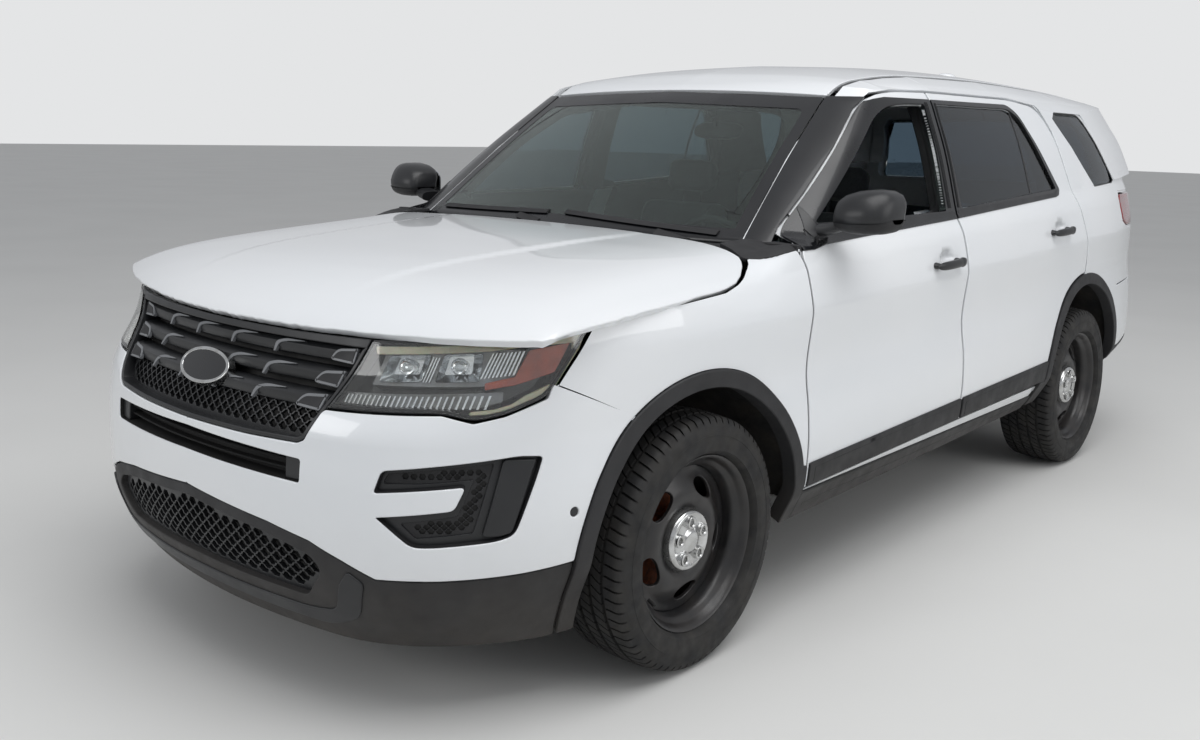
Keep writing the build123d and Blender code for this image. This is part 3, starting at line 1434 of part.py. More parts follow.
# Dashboard with its instrument hood, centre console and steering column
driver_out = 370
dash_half_width = 780
dash_front = firewall_s + 14 + seat_gap
steering_centre_s = 880
steering_centre_height = 1000
steering_tilt = 25
console_half = 108
column_plane = Plane(
    (driver_out, front_axle_y + steering_centre_s, steering_centre_height),
    x_dir=(1, 0, 0), z_dir=(0, cos(radians(steering_tilt)), sin(radians(steering_tilt))),
)
with BuildPart() as dashboard:
    with BuildSketch(side_plane(-dash_half_width)):
        with BuildLine():
            Polyline((dash_front, 760), (dash_front, cowl_bottom - seat_gap), (560 + seat_gap, cowl_bottom - seat_gap),
                     (560 + seat_gap, 1112), (640, 1124), (760, 1092), (790, 1010), (772, 900), (700, 760),
                     close=True)
        make_face()
    extrude(amount=2 * dash_half_width)
    with BuildSketch(side_plane(driver_out - 170)):
        with BuildLine():
            Polyline((600, 1090), (650, 1146), (770, 1140), (800, 1096), (780, 1040), close=True)
        make_face()
    extrude(amount=340)
    add(slab_box(-console_half, console_half, 640, 1560, tunnel_top + seat_gap, 640))
    add(slab_box(-console_half, console_half, 640, 760, 600, 900))
    with BuildSketch(column_plane.offset(-170)):
        Circle(34)
    extrude(amount=170 - 24)
save(dashboard.part, "dashboard")

with BuildPart() as steering_wheel:
    with BuildSketch(Plane(column_plane.origin, x_dir=(0, -sin(radians(steering_tilt)), cos(radians(steering_tilt))), z_dir=(1, 0, 0))):
        with Locations((185, 0)):
            Circle(15)
    revolve(axis=Axis(column_plane.origin, column_plane.z_dir))
    with BuildSketch(column_plane.offset(-24 + seat_gap)):
        Circle(70)
    extrude(amount=40)
    with BuildSketch(column_plane.offset(-10)):
        Rectangle(360, 34)
        with Locations((0, -90)):
            Rectangle(50, 176)
    extrude(amount=16)
save(steering_wheel.part, "steering_wheel")

# Seats
floor_top = floor_bottom + floor_thickness + seat_gap
rear_floor_top = rear_floor_bottom + floor_thickness + seat_gap


def seat_solid(half_width, cushion, back):
    """A seat extruded across from its cushion and backrest side outlines, with rounded edges."""
    with BuildPart() as seat:
        with BuildSketch(side_plane(-half_width)):
            for outline in (cushion, back):
                with BuildLine():
                    Polyline(*outline, close=True)
                make_face()
        extrude(amount=2 * half_width)
        fillet(seat.edges().filter_by(Axis.X, reverse=True), 20)
    return seat.part


with BuildPart() as front_seats:
    front_seat = seat_solid(
        250,
        ((1090, 440), (1070, 600), (1100, 640), (1480, 590), (1600, 560), (1560, 420)),
        ((1470, 540), (1590, 1150), (1660, 1170), (1730, 1150), (1620, 500), (1500, 460)),
    )
    for side in (-1, 1):
        add(front_seat.moved(Location((side * driver_out, 0, 0))))
        add(slab_box(side * driver_out - 200, side * driver_out + 200, 1130, 1530, floor_top, 470))
        with BuildPart(mode=Mode.PRIVATE) as headrest:
            add(slab_box(side * driver_out - 120, side * driver_out + 120, 1630, 1730, 1190, 1350))
            fillet(headrest.edges(), 34)
            for out in (-50, 50):
                add(slab_box(side * driver_out + out - 7, side * driver_out + out + 7, 1670, 1684, 1100, 1240))
        add(headrest.part)
save(front_seats.part, "front_seats")

with BuildPart() as rear_seat:
    add(seat_solid(
        604,
        ((1960, floor_top), (1960, 640), (1990, 680), (2210, 650), (2210, floor_top)),
        ((2180, 500), (2180, 660), (2420, 1180), (2480, 1200), (2540, 1170), (2440, rear_floor_top),
         (2260, rear_floor_top), (2200, rear_floor_top)),
    ))
    add(slab_box(-tunnel_half - 8, tunnel_half + 8, 1900, rear_floor_s, 300, tunnel_top + seat_gap), mode=Mode.SUBTRACT)
save(rear_seat.part, "rear_seat")
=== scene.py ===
import json
import math

import bpy
import numpy as np
from mathutils.bvhtree import BVHTree
from mathutils import Matrix, Vector
from mathutils.geometry import delaunay_2d_cdt


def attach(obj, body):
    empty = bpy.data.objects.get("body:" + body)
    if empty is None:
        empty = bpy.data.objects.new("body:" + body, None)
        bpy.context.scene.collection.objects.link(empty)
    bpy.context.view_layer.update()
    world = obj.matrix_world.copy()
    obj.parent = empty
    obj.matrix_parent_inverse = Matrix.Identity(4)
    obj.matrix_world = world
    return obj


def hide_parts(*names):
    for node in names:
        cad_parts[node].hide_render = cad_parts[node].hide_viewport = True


# A white patrol utility vehicle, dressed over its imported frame.
# Shapes are worked out in millimetres as (x, s, z): x to the car's left, s behind the front axle,
# z above the ground. Meshes are written in metres in the frame's own axes.

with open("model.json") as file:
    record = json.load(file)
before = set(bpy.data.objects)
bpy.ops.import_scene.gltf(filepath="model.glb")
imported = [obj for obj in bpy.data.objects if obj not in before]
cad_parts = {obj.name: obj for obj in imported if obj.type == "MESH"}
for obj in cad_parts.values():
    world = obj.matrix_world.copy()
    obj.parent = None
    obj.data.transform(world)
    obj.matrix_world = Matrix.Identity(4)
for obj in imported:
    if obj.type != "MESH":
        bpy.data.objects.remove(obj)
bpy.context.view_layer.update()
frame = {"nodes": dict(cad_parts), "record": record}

front_axle_y = -1560.5
wheelbase = 2860.0
front_arch = (0.0, 370.0)
rear_arch = (2850.0, 412.0)
arch_radius = 470.0
arch_opening = 420.0


# The body's own surfaces: each is a signed distance in space, below zero inside

def smooth_table(knots, values, samples=500):
    """A curve through the knots that never overshoots them, as a finely sampled table."""
    knots, values = np.array(knots, float), np.array(values, float)
    step = np.diff(knots)
    slope = np.diff(values) / step
    tangent = np.zeros(len(knots))
    tangent[0], tangent[-1] = slope[0], slope[-1]
    near, far = 2 * step[1:] + step[:-1], step[1:] + 2 * step[:-1]
    for i in range(len(slope) - 1):
        if slope[i] * slope[i + 1] > 0:
            tangent[i + 1] = (near[i] + far[i]) / (near[i] / slope[i] + far[i] / slope[i + 1])
    at = np.linspace(knots[0], knots[-1], samples)
    i = np.clip(np.searchsorted(knots, at, side="right") - 1, 0, len(step) - 1)
    t = (at - knots[i]) / step[i]
    curve = (values[i] * (2 * t ** 3 - 3 * t ** 2 + 1) + values[i + 1] * (3 * t ** 2 - 2 * t ** 3)
             + step[i] * (tangent[i] * (t ** 3 - 2 * t ** 2 + t) + tangent[i + 1] * (t ** 3 - t ** 2)))
    return at, curve


# Each level: height at the front axle, height at the rear axle, nose, half width, tail
body_levels = (
    (200, 330, -835, 890, 3955), (330, 410, -925, 950, 4040), (430, 490, -955, 988, 4075),
    (545, 600, -960, 994, 4081), (640, 715, -960, 988, 4081), (760, 860, -950, 974, 4060),
    (929, 1029, -862, 985, 4030), (1040, 1170, -835, 964, 3998), (1114, 1266, -810, 922, 3965),
)
cabin_levels = (
    (1114, 1266, 375, 922, 3965), (1365, 1440, 700, 865, 3900),
    (1625, 1625, 1045, 785, 3775), (1790, 1790, 1264, 735, 3690),
)
# Each plan curve: radius and share of the middle arc, turn and radius of the side arc
body_front_curve, body_rear_curve = (2300, 0.49, 8, 5650), (2600, 0.47, 10, 3600)
cabin_front_curve, cabin_rear_curve = (2900, 0.815, 10, 2000), (2500, 0.78, 12, 3600)
side_mid = 1700.0


def corner_distance(x, along, half_width, curve):
    """Signed distance to a rounded end: middle arc, corner arc, side arc, then straight."""
    middle_radius, share, turn, side_radius = curve
    middle_turn = np.arcsin(share * half_width / middle_radius)
    side_start = math.radians(90 - turn)
    across = half_width * (1 - share) - side_radius * (1 - math.sin(side_start))
    corner_radius = across / (math.sin(side_start) - np.sin(middle_turn))
    corner_x = (middle_radius - corner_radius) * np.sin(middle_turn)
    corner_a = middle_radius - (middle_radius - corner_radius) * np.cos(middle_turn)
    side_x = corner_x - (side_radius - corner_radius) * math.sin(side_start)
    side_a = corner_a + (side_radius - corner_radius) * math.cos(side_start)
    angle = np.arctan2(x - corner_x, corner_a - along)
    middle = np.hypot(x, along - middle_radius) - middle_radius
    corner = np.hypot(x - corner_x, along - corner_a) - corner_radius
    side = np.hypot(x - side_x, along - side_a) - side_radius
    ends = np.where(angle < middle_turn, middle, np.where(angle > side_start, side, corner))
    return np.where(along > side_a, x - half_width, ends)


def plan_form(levels, front_curve, rear_curve):
    """The signed distance, in plan, to a stack of pitched outlines."""
    columns = np.array(levels, float).T
    heights, rear_heights = smooth_table(columns[0], columns[1])
    nose, half_width, tail = (smooth_table(columns[0], column)[1] for column in columns[2:])
    places = np.linspace(-1200, 4400, 90)
    rises = np.linspace(columns[0][0] - 60, 1860, 460)
    share = places[:, None] / wheelbase
    lifted = heights[None, :] + (rear_heights - heights)[None, :] * share
    level_of = np.array([np.interp(rises, row, heights) for row in lifted])

    def field(x, s, z):
        row = np.clip((s - places[0]) / (places[1] - places[0]), 0, len(places) - 1.001)
        col = np.clip((z - rises[0]) / (rises[1] - rises[0]), 0, len(rises) - 1.001)
        i, j = row.astype(int), col.astype(int)
        a, b = row - i, col - j
        level = ((1 - a) * ((1 - b) * level_of[i, j] + b * level_of[i, j + 1])
                 + a * ((1 - b) * level_of[i + 1, j] + b * level_of[i + 1, j + 1]))
        width = np.interp(level, heights, half_width)
        front = corner_distance(np.abs(x), s - np.interp(level, heights, nose), width, front_curve)
        rear = corner_distance(np.abs(x), np.interp(level, heights, tail) - s, width, rear_curve)
        return np.where(s < side_mid, front, rear)

    return field


plain_body = plan_form(body_levels, body_front_curve, body_rear_curve)
cabin_sides = plan_form(cabin_levels, cabin_front_curve, cabin_rear_curve)


def eased(low, high, value):
    """0 below low, 1 above high, smooth between."""
    t = np.clip((value - low) / (high - low), 0, 1)
    return t * t * (3 - 2 * t)


def both(a, b, radius):
    """The space inside both surfaces, with the edge between them rounded."""
    h = np.clip(0.5 + 0.5 * (a - b) / radius, 0, 1)
    return b + (a - b) * h + radius * h * (1 - h)


def belt_height(s):
    """The line where the cabin sides meet the body."""
    return 1114 + 0.0531 * s


def ridge(away, width, softness=8.0):
    """A raised crease: 1 on its line, falling away on both sides."""
    return np.exp(-(np.sqrt(away ** 2 + softness ** 2) - softness) / width)


def body(x, s, z):
    """The lower body with its shoulder crease and the fuller line low on the doors."""
    along = eased(-420, 200, s) * (1 - eased(3300, 3620, s))
    shoulder = ridge(z - (932 + 0.035 * s), 46)
    low_line = eased(620, 900, s) * (1 - eased(2150, 2420, s)) * ridge(z - (628 + 0.026 * s), 60, 30)
    return plain_body(x, s, z) - along * (4.2 * shoulder + 3.4 * low_line)


handle_cups = ((1384, 1046), (2466, 1104))


def cupped(field):
    """A door's surface with the round recess behind each handle."""
    def surface(x, s, z):
        d = field(x, s, z)
        for cup_s, cup_z in handle_cups:
            reach = np.hypot((s - cup_s) / 66, (z - cup_z) / 38)
            d = d + 20 * (1 - eased(0.2, 1.0, reach))
        return d
    return surface


roof_rows = (  # distance behind the axle, middle height, drop at the sides, half width
    (300, 1606, 20, 940), (900, 1612, 22, 900), (1050, 1632, 36, 810), (1250, 1692, 66, 800),
    (1600, 1738, 96, 800), (2200, 1758, 118, 800), (2900, 1744, 116, 800), (3500, 1702, 92, 800),
    (3950, 1654, 70, 800),
)
roof_columns = np.array(roof_rows, float).T
roof_s, roof_middle = smooth_table(roof_columns[0], roof_columns[1])
roof_drop = smooth_table(roof_columns[0], roof_columns[2])[1]
roof_half = smooth_table(roof_columns[0], roof_columns[3])[1]
crown_share, crown_fall = smooth_table((0, 0.4, 0.78, 0.91, 1.0, 1.1), (0, 0.105, 0.42, 0.8, 1.35, 2.3))


def roof_top(x, s):
    share = np.abs(x) / np.interp(s, roof_s, roof_half)
    return np.interp(s, roof_s, roof_middle) - np.interp(s, roof_s,
                                                         roof_drop) * np.interp(share, crown_share,
                                                                                crown_fall)


def cabin(x, s, z):
    """The cabin's sides under the roof, with the rail between them rounded."""
    return both(cabin_sides(x, s, z), 0.94 * (z - roof_top(x, s)), 34)


def flank(x, s, z):
    """The car's side from the sill to the roof rail."""
    mix = eased(-16, 22, z - belt_height(s))
    return body(x, s, z) * (1 - mix) + cabin(x, s, z) * mix


hood_profile_s, hood_profile_z = smooth_table(
    (-870, -852, -820, -770, -712, -640, -560, -430, -280, -120, 20, 480),
    (870, 958, 990, 1020, 1046, 1069, 1087, 1105, 1118, 1130, 1140, 1160))
hood_crown_x, hood_crown_z = smooth_table(
    (0, 300, 450, 690, 808, 894, 946, 970, 1004), (1178, 1172, 1162, 1130, 1104, 1072, 1042, 1000, 930))


def hood_top(x, s):
    """The hood's height: its nose profile swept round, under the crown across it."""
    back = 1450 - np.hypot(x, 1450 - s)
    nose = np.interp(back, hood_profile_s, hood_profile_z)
    crown = np.interp(np.abs(x), hood_crown_x, hood_crown_z) * 1.00245 + 0.07 * s
    h = np.clip(0.5 + 0.5 * (crown - nose) / 26, 0, 1)
    height = crown + (nose - crown) * h - 26 * h * (1 - h)
    ridge = 352 + 0.16 * (s + 700) * 0.55
    swell = eased(-760, -420, s) * (1 - eased(150, 420, s))
    return height + swell * (4.5 * (1 - eased(-20, 26, np.abs(x) - ridge)) - 4.5)


def hood_surface(x, s, z):
    return 0.93 * (z - hood_top(x, s))


def shoulder_rise(x, s):
    """How far the fender's top climbs, behind the hood's corner, to meet the door."""
    return 36 * eased(225, 450, s) * eased(820, 915, np.abs(x))


def wing(x, s, z):
    """The front fender: the body's side rounded into the hood's own surface."""
    return both(body(x, s, z), hood_surface(x, s, z - shoulder_rise(x, s)), 22)


def offset(field, distance):
    """The same surface moved outward by a distance."""
    return lambda x, s, z: field(x, s, z) - distance


# Casting flat outlines onto those surfaces

def lifted_off(lift, height):
    """The same casting, with each place then moved square off the surface."""
    def higher(flat):
        at, up = lift(flat)
        return at + height * up, up
    return higher



def strike(field, start, direction, reach):
    """Where rays from outside first meet the surface, and the surface's outward normals there."""
    start = np.asarray(start, float)
    direction = np.broadcast_to(np.asarray(direction, float), start.shape)
    low, high = np.zeros(len(start)), np.full(len(start), float(reach))
    for _ in range(24):
        mid = (low + high) / 2
        at = start + direction * mid[:, None]
        inside = field(at[:, 0], at[:, 1], at[:, 2]) < 0
        high, low = np.where(inside, mid, high), np.where(inside, low, mid)
    at = start + direction * high[:, None]
    return at, normals_at(field, at)


def normals_at(field, at):
    step = 1.5
    slope = np.column_stack([
        field(*(at + shift).T) - field(*(at - shift).T) for shift in np.eye(3) * step])
    return slope / np.maximum(np.linalg.norm(slope, axis=1), 1e-9)[:, None]


def from_side(field, out=1300, reach=1100):
    """Outlines in (s, z), cast from the car's left."""
    return lambda p: strike(field, np.column_stack([np.full(len(p), out), p]), (-1, 0, 0), reach)


def from_front(field, ahead=-1400, reach=3200):
    """Outlines in (x, z), cast from ahead of the nose."""
    return lambda p: strike(field, np.column_stack([p[:, 0], np.full(len(p), ahead), p[:, 1]]), (0, 1, 0),
                            reach)


def from_behind(field, behind=4500, reach=1500):
    return lambda p: strike(field, np.column_stack([p[:, 0], np.full(len(p), behind), p[:, 1]]), (0, -1, 0),
                            reach)


def from_above(field, height=2000, reach=1400):
    return lambda p: strike(field, np.column_stack([p, np.full(len(p), height)]), (0, 0, -1), reach)


def end_line(end, level):
    """The plan line round one end and along the left flank, from the middle of the car."""
    across = np.linspace(0, 860, 300)
    ahead = np.full(300, -1300.0 if end == "nose" else 4400.0)
    middle, _ = strike(plain_body, np.column_stack([across, ahead, np.full(300, level)]),
                       (0, 1 if end == "nose" else -1, 0), 900)
    along = np.linspace(-640, 1400, 500) if end == "nose" else np.linspace(3860, 300, 800)
    side, _ = strike(plain_body, np.column_stack([np.full(len(along), 1300), along,
                                                  np.full(len(along), level)]), (-1, 0, 0), 700)
    past = side[:, 1] > middle[-1, 1] + 3 if end == "nose" else side[:, 1] < middle[-1, 1] - 3
    line = np.vstack([middle, side[past]])[:, :2]
    length = np.concatenate([[0], np.cumsum(np.hypot(*np.diff(line, axis=0).T))])
    even = np.arange(0, length[-1], 6.0)
    xs, ss = np.interp(even, length, line[:, 0]), np.interp(even, length, line[:, 1])
    for _ in range(8):
        xs[1:-1], ss[1:-1] = (xs[:-2] + xs[1:-1] + xs[2:]) / 3, (ss[:-2] + ss[1:-1] + ss[2:]) / 3
    dx, ds = np.gradient(xs), np.gradient(ss)
    dx[0], ds[0] = 1.0, 0.0
    size = np.hypot(dx, ds) * (1 if end == "nose" else -1)
    return even, xs, ss, ds / size, -dx / size


nose_line = end_line("nose", 600)
tail_line = end_line("tail", 680)
tail_start = 2400 + float(np.interp(-2400, -tail_line[2], tail_line[0]))


def round_nose(field):
    """Outlines in (distance round the nose, z), cast square to the nose line; right half negative."""
    even, xs, ss, nx, ns = nose_line

    def lift(p):
        u, half = np.abs(p[:, 0]), np.where(p[:, 0] < 0, -1, 1)
        at = np.column_stack([np.interp(u, even, xs) * half, np.interp(u, even, ss), p[:, 1]])
        out = np.column_stack([np.interp(u, even, nx) * half, np.interp(u, even, ns), np.zeros(len(u))])
        return strike(field, at + 150 * out, -out, 500)
    return lift


rail_start = 1560.0
rail_radius = 150.0


def round_flank(field, base=None):
    """Outlines in (s, height) on the left side, carried on round the tail and over the roof rail.

    s runs on past the rear corner as distance along the body; heights over the rail's start run
    round the rail's own bend."""
    even, xs, ss, nx, ns = tail_line
    base = base or field

    def lift(p):
        u = np.clip(tail_start - p[:, 0], -even[-1], even[-1])
        half = np.where(u < 0, -1, 1)
        u = np.abs(u)
        foot = np.column_stack([np.interp(u, even, xs) * half, np.interp(u, even, ss),
                                np.minimum(p[:, 1], rail_start)])
        out = np.column_stack([np.interp(u, even, nx) * half, np.interp(u, even, ns), np.zeros(len(u))])
        over = p[:, 1] > rail_start
        start, way = foot + 150 * out, -out
        if over.any():
            hit, _ = strike(cabin, start[over], way[over], 900)
            pivot = hit - rail_radius * out[over]
            turn = np.minimum((p[over, 1] - rail_start) / rail_radius, 1.9)[:, None]
            beam = out[over] * np.cos(turn) + np.array([0, 0, 1.0]) * np.sin(turn)
            start[over], way[over] = pivot + 420 * beam, -beam
        return strike(field, start, way, 900)
    return lift


def up_rail(points):
    """(s, z) points with z over the rail's start turned into heights round the rail."""
    points = np.array([point[:2] for point in points], float)
    high = points[:, 1] > rail_start
    if high.any():
        trial = np.linspace(rail_start, rail_start + 1.7 * rail_radius, 60)
        for k in np.where(high)[0]:
            z = round_flank(cabin)(np.column_stack([np.full(60, points[k, 0]), trial]))[0][:, 2]
            z = np.maximum.accumulate(z)
            points[k, 1] = np.interp(points[k, 1], z, trial)
    return points


def rail_at(places, out):
    """Points round the rail at these places behind the axle, where it is this far out from the middle."""
    trial = np.linspace(rail_start, rail_start + 1.7 * rail_radius, 60)
    result = []
    for place in places:
        x = round_flank(cabin)(np.column_stack([np.full(60, place), trial]))[0][:, 0]
        result.append((place, np.interp(-out, -x, trial)))
    return np.array(result)


def past_tail(x):
    """The s of a place round the tail given by how far out it is."""
    return tail_start - np.interp(x, tail_line[1], tail_line[0])


class Slant:
    """A slanting view: outlines are given by points in space and cast back along the view."""

    def __init__(self, way, up=(0, 0, 1)):
        self.way = np.array(way, float) / np.linalg.norm(way)
        self.right = np.cross(self.way, up)
        self.right /= np.linalg.norm(self.right)
        self.up = np.cross(self.right, self.way)

    def flat(self, points):
        points = np.asarray(points, float)
        return np.column_stack([points @ self.right, points @ self.up])

    def lift(self, field, distance=2500, reach=6000, towards=(0, 600, 1000)):
        centre = np.array(towards, float)
        mid = np.array([centre @ self.right, centre @ self.up])
        base = centre - self.way * distance

        def cast(p):
            q = np.asarray(p, float) - mid
            return strike(field, base + q[:, :1] * self.right + q[:, 1:] * self.up, self.way, reach)
        return cast


# Flat outlines: rounding, spacing, insetting and filling them

def rounded(points, radius=8.0, pieces=4):
    """A closed outline with its corners eased; a third number in a point is its own radius."""
    out = []
    count = len(points)
    for i, point in enumerate(points):
        here = np.array(point[:2], float)
        before, after = np.array(points[i - 1][:2], float), np.array(points[(i + 1) % count][:2], float)
        reach = point[2] if len(point) > 2 else radius
        a, b = before - here, after - here
        la, lb = np.linalg.norm(a), np.linalg.norm(b)
        cut = min(reach, 0.46 * la, 0.46 * lb)
        if cut < 0.5:
            out.append(here)
            continue
        start, end = here + a / la * cut, here + b / lb * cut
        for t in np.linspace(0, 1, pieces + 1):
            out.append((1 - t) ** 2 * start + 2 * t * (1 - t) * here + t * t * end)
    return np.array(out)


def dense(loop, spacing):
    """A closed outline with points no further apart than the spacing."""
    loop = np.asarray(loop, float)
    out = []
    for a, b in zip(loop, np.roll(loop, -1, axis=0)):
        length = np.linalg.norm(b - a)
        if length < 1e-6:
            continue
        count = max(1, int(math.ceil(length / spacing)))
        out.extend(a + (b - a) * k / count for k in range(count))
    return np.array(out)


def area_of(loop):
    x, y = loop[:, 0], loop[:, 1]
    return 0.5 * float(np.sum(x * np.roll(y, -1) - np.roll(x, -1) * y))


def moved_in(loop, distance):
    """A closed outline moved to its inside by a distance, or outside if negative."""
    before, after = loop - np.roll(loop, 1, axis=0), np.roll(loop, -1, axis=0) - loop
    before /= np.maximum(np.linalg.norm(before, axis=1), 1e-9)[:, None]
    after /= np.maximum(np.linalg.norm(after, axis=1), 1e-9)[:, None]
    left_b, left_a = np.column_stack([-before[:, 1], before[:, 0]]), np.column_stack([-after[:, 1],
                                                                                      after[:, 0]])
    middle = left_a + left_b
    middle /= np.maximum(np.linalg.norm(middle, axis=1), 1e-9)[:, None]
    stretch = 1 / np.clip(np.sum(middle * left_a, axis=1), 0.4, 1)
    turn = 1 if area_of(loop) > 0 else -1
    return loop + middle * (stretch * distance * turn)[:, None]


def inside(points, loops):
    """Which points are inside the first loop and outside the others."""
    result = np.zeros(len(points), bool)
    for loop in loops:
        a, b = loop, np.roll(loop, -1, axis=0)
        x, y = points[:, 0][:, None], points[:, 1][:, None]
        crosses = (a[:, 1][None] > y) != (b[:, 1][None] > y)
        with np.errstate(divide="ignore", invalid="ignore"):
            at = (b[:, 0] - a[:, 0])[None] * (y - a[:, 1][None]) / (b[:, 1] - a[:, 1])[None] + a[:, 0][None]
        result ^= (np.sum(crosses & (x < at), axis=1) % 2).astype(bool)
    return result


def filled(loops, spacing):
    """Points and triangles that fill the first outline and leave the others open."""
    points, edges = [], []
    for loop in loops:
        first = len(points)
        points.extend(map(tuple, loop))
        edges.extend((first + k, first + (k + 1) % len(loop)) for k in range(len(loop)))
    low, high = np.min(loops[0], axis=0), np.max(loops[0], axis=0)
    columns = np.arange(low[0] + spacing / 2, high[0], spacing)
    rows = np.arange(low[1] + spacing / 2, high[1], spacing * 0.9)
    grid = np.array([(x + (spacing / 2 if k % 2 else 0), y) for k, y in enumerate(rows) for x in columns])
    if len(grid):
        grid = grid[inside(grid, loops)]
    if len(grid):
        border = np.vstack([dense(loop, spacing * 0.6) for loop in loops])
        near = np.array([np.min(np.hypot(border[:, 0] - x, border[:, 1] - y)) for x, y in grid])
        points.extend(map(tuple, grid[near > 0.5 * spacing]))
    flat, _, faces, _, _, _ = delaunay_2d_cdt([Vector(p) for p in points], edges, [], 0, 1e-4)
    flat = np.array([tuple(p) for p in flat])
    faces = np.array(faces)
    centres = flat[faces].mean(axis=1)
    return flat, faces[inside(centres, loops)]


# Shells: arrays of points, normals and faces

class Shell:
    """Points in millimetres, their normals and the faces between them."""

    def __init__(self):
        self.points, self.normals, self.faces, self.count = [], [], [], 0

    def add(self, points, normals, faces):
        first = self.count
        self.points.append(np.asarray(points, float))
        self.normals.append(np.asarray(normals, float))
        self.faces.extend([tuple(first + int(k) for k in face) for face in faces])
        self.count += len(points)
        return first

    def join(self, *others):
        for other in others:
            if other.count:
                self.add(np.vstack(other.points), np.vstack(other.normals), other.faces)
        return self

    def mirrored(self):
        twin = Shell()
        flip = np.array([-1, 1, 1])
        twin.add(np.vstack(self.points) * flip, np.vstack(self.normals) * flip,
                 [tuple(reversed(face)) for face in self.faces])
        return twin

    def moved(self, shift):
        twin = Shell()
        twin.add(np.vstack(self.points) + np.array(shift, float), np.vstack(self.normals), self.faces)
        return twin


def panel(outline, lift, holes=(), edge=3.5, depth=14.0, spacing=30.0, facing=1, back=False,
          hole_depth=None):
    """A skin over a flat outline: a face, a rounded edge round each loop and a flange turned in."""
    shell = Shell()
    loops = [dense(np.asarray(loop, float), spacing * 0.6) for loop in (outline, *holes)]
    rims = [moved_in(loop, edge if k == 0 else -edge) for k, loop in enumerate(loops)] if edge else loops
    flat, faces = filled(rims, spacing)
    points, normals = lift(flat)
    a, b, c = (points[faces[:, k]] for k in range(3))
    turned = np.sum(np.cross(b - a, c - a) * normals[faces[:, 0]], axis=1) < 0
    faces[turned] = faces[turned][:, ::-1]
    if facing < 0:
        faces = faces[:, ::-1]
    shell.add(points, normals * facing, faces)
    for k, rim in enumerate(rims):
        base, up = lift(rim)
        up = up * facing
        along = np.roll(base, -1, axis=0) - np.roll(base, 1, axis=0)
        along /= np.maximum(np.linalg.norm(along, axis=1), 1e-9)[:, None]
        outward = np.cross(along, up)
        probe, _ = lift(rim[:3] + 0.02 * (loops[k][:3] - rim[:3]) if edge
                        else moved_in(rim, -0.05 if k == 0 else 0.05)[:3])
        if np.sum((probe - base[:3]) * outward[:3]) < 0:
            outward = -outward
        size = max(edge, 0.01)
        rings, ring_normals = [base], [up]
        for step in (30, 60, 90):
            if not edge and step != 90:
                continue
            turn = math.radians(step)
            rings.append(base + outward * size * math.sin(turn) - up * size * (1 - math.cos(turn)))
            ring_normals.append(outward * math.sin(turn) + up * math.cos(turn))
        deep = depth if k == 0 or hole_depth is None else hole_depth
        if callable(deep):
            deep = deep(base)[:, None]
        if np.any(deep):
            rings.append(rings[-1] - up * deep)
            ring_normals.append(outward)
        count = len(base)
        first = shell.add(np.vstack(rings), np.vstack(ring_normals), [])
        quads = []
        for r in range(len(rings) - 1):
            for j in range(count):
                n = (j + 1) % count
                quads.append((first + r * count + j, first + r * count + n,
                              first + (r + 1) * count + n, first + (r + 1) * count + j))
        sample = np.vstack(rings)
        q = quads[0] if quads else None
        if q:
            p = [sample[i - first] for i in q]
            face_normal = np.cross(p[2] - p[0], p[3] - p[1])
            if np.dot(face_normal, ring_normals[0][0] + ring_normals[-1][0]) < 0:
                quads = [tuple(reversed(q)) for q in quads]
        shell.faces.extend(quads)
    if back:
        thick = depth + edge
        shell.add(points - normals * facing * thick, -normals * facing, faces[:, ::-1])
    return shell


def lathe(profile, segments, centre, side=1, start=0.0, sweep=360.0):
    """A profile of (distance out, radius) turned about a line across the car through the centre (s, z)."""
    shell = Shell()
    profile = np.array(profile, float)
    step = np.gradient(profile, axis=0)
    normal = np.column_stack([step[:, 1], -step[:, 0]])
    normal /= np.maximum(np.linalg.norm(normal, axis=1), 1e-9)[:, None]
    whole = abs(sweep - 360) < 1e-6
    angles = np.radians(start + np.linspace(0, sweep, segments + 1)[:segments if whole else segments + 1])
    points, normals = [], []
    for angle in angles:
        c, s = math.cos(angle), math.sin(angle)
        points.append(np.column_stack([profile[:, 0] * side, centre[0] + profile[:, 1] * c,
                                       centre[1] + profile[:, 1] * s]))
        normals.append(np.column_stack([normal[:, 0] * side, normal[:, 1] * c, normal[:, 1] * s]))
    rows = len(profile)
    faces = []
    for k in range(len(angles) if whole else len(angles) - 1):
        n = (k + 1) % len(angles)
        for j in range(rows - 1):
            quad = (k * rows + j, n * rows + j, n * rows + j + 1, k * rows + j + 1)
            faces.append(quad if side > 0 else tuple(reversed(quad)))
    shell.add(np.vstack(points), np.vstack(normals), faces)
    return shell


def skin_between(rings, closed=True, caps=(False, False)):
    """A surface through a row of rings that have the same number of points."""
    shell = Shell()
    rings = [np.asarray(ring, float) for ring in rings]
    count = len(rings[0])
    faces = []
    for r in range(len(rings) - 1):
        for j in range(count if closed else count - 1):
            n = (j + 1) % count
            faces.append((r * count + j, r * count + n, (r + 1) * count + n, (r + 1) * count + j))
    points = np.vstack(rings)
    if caps[0]:
        faces.append(tuple(reversed(range(count))))
    if caps[1]:
        faces.append(tuple(range((len(rings) - 1) * count, len(rings) * count)))
    shell.add(points, np.zeros_like(points), faces)
    return shell


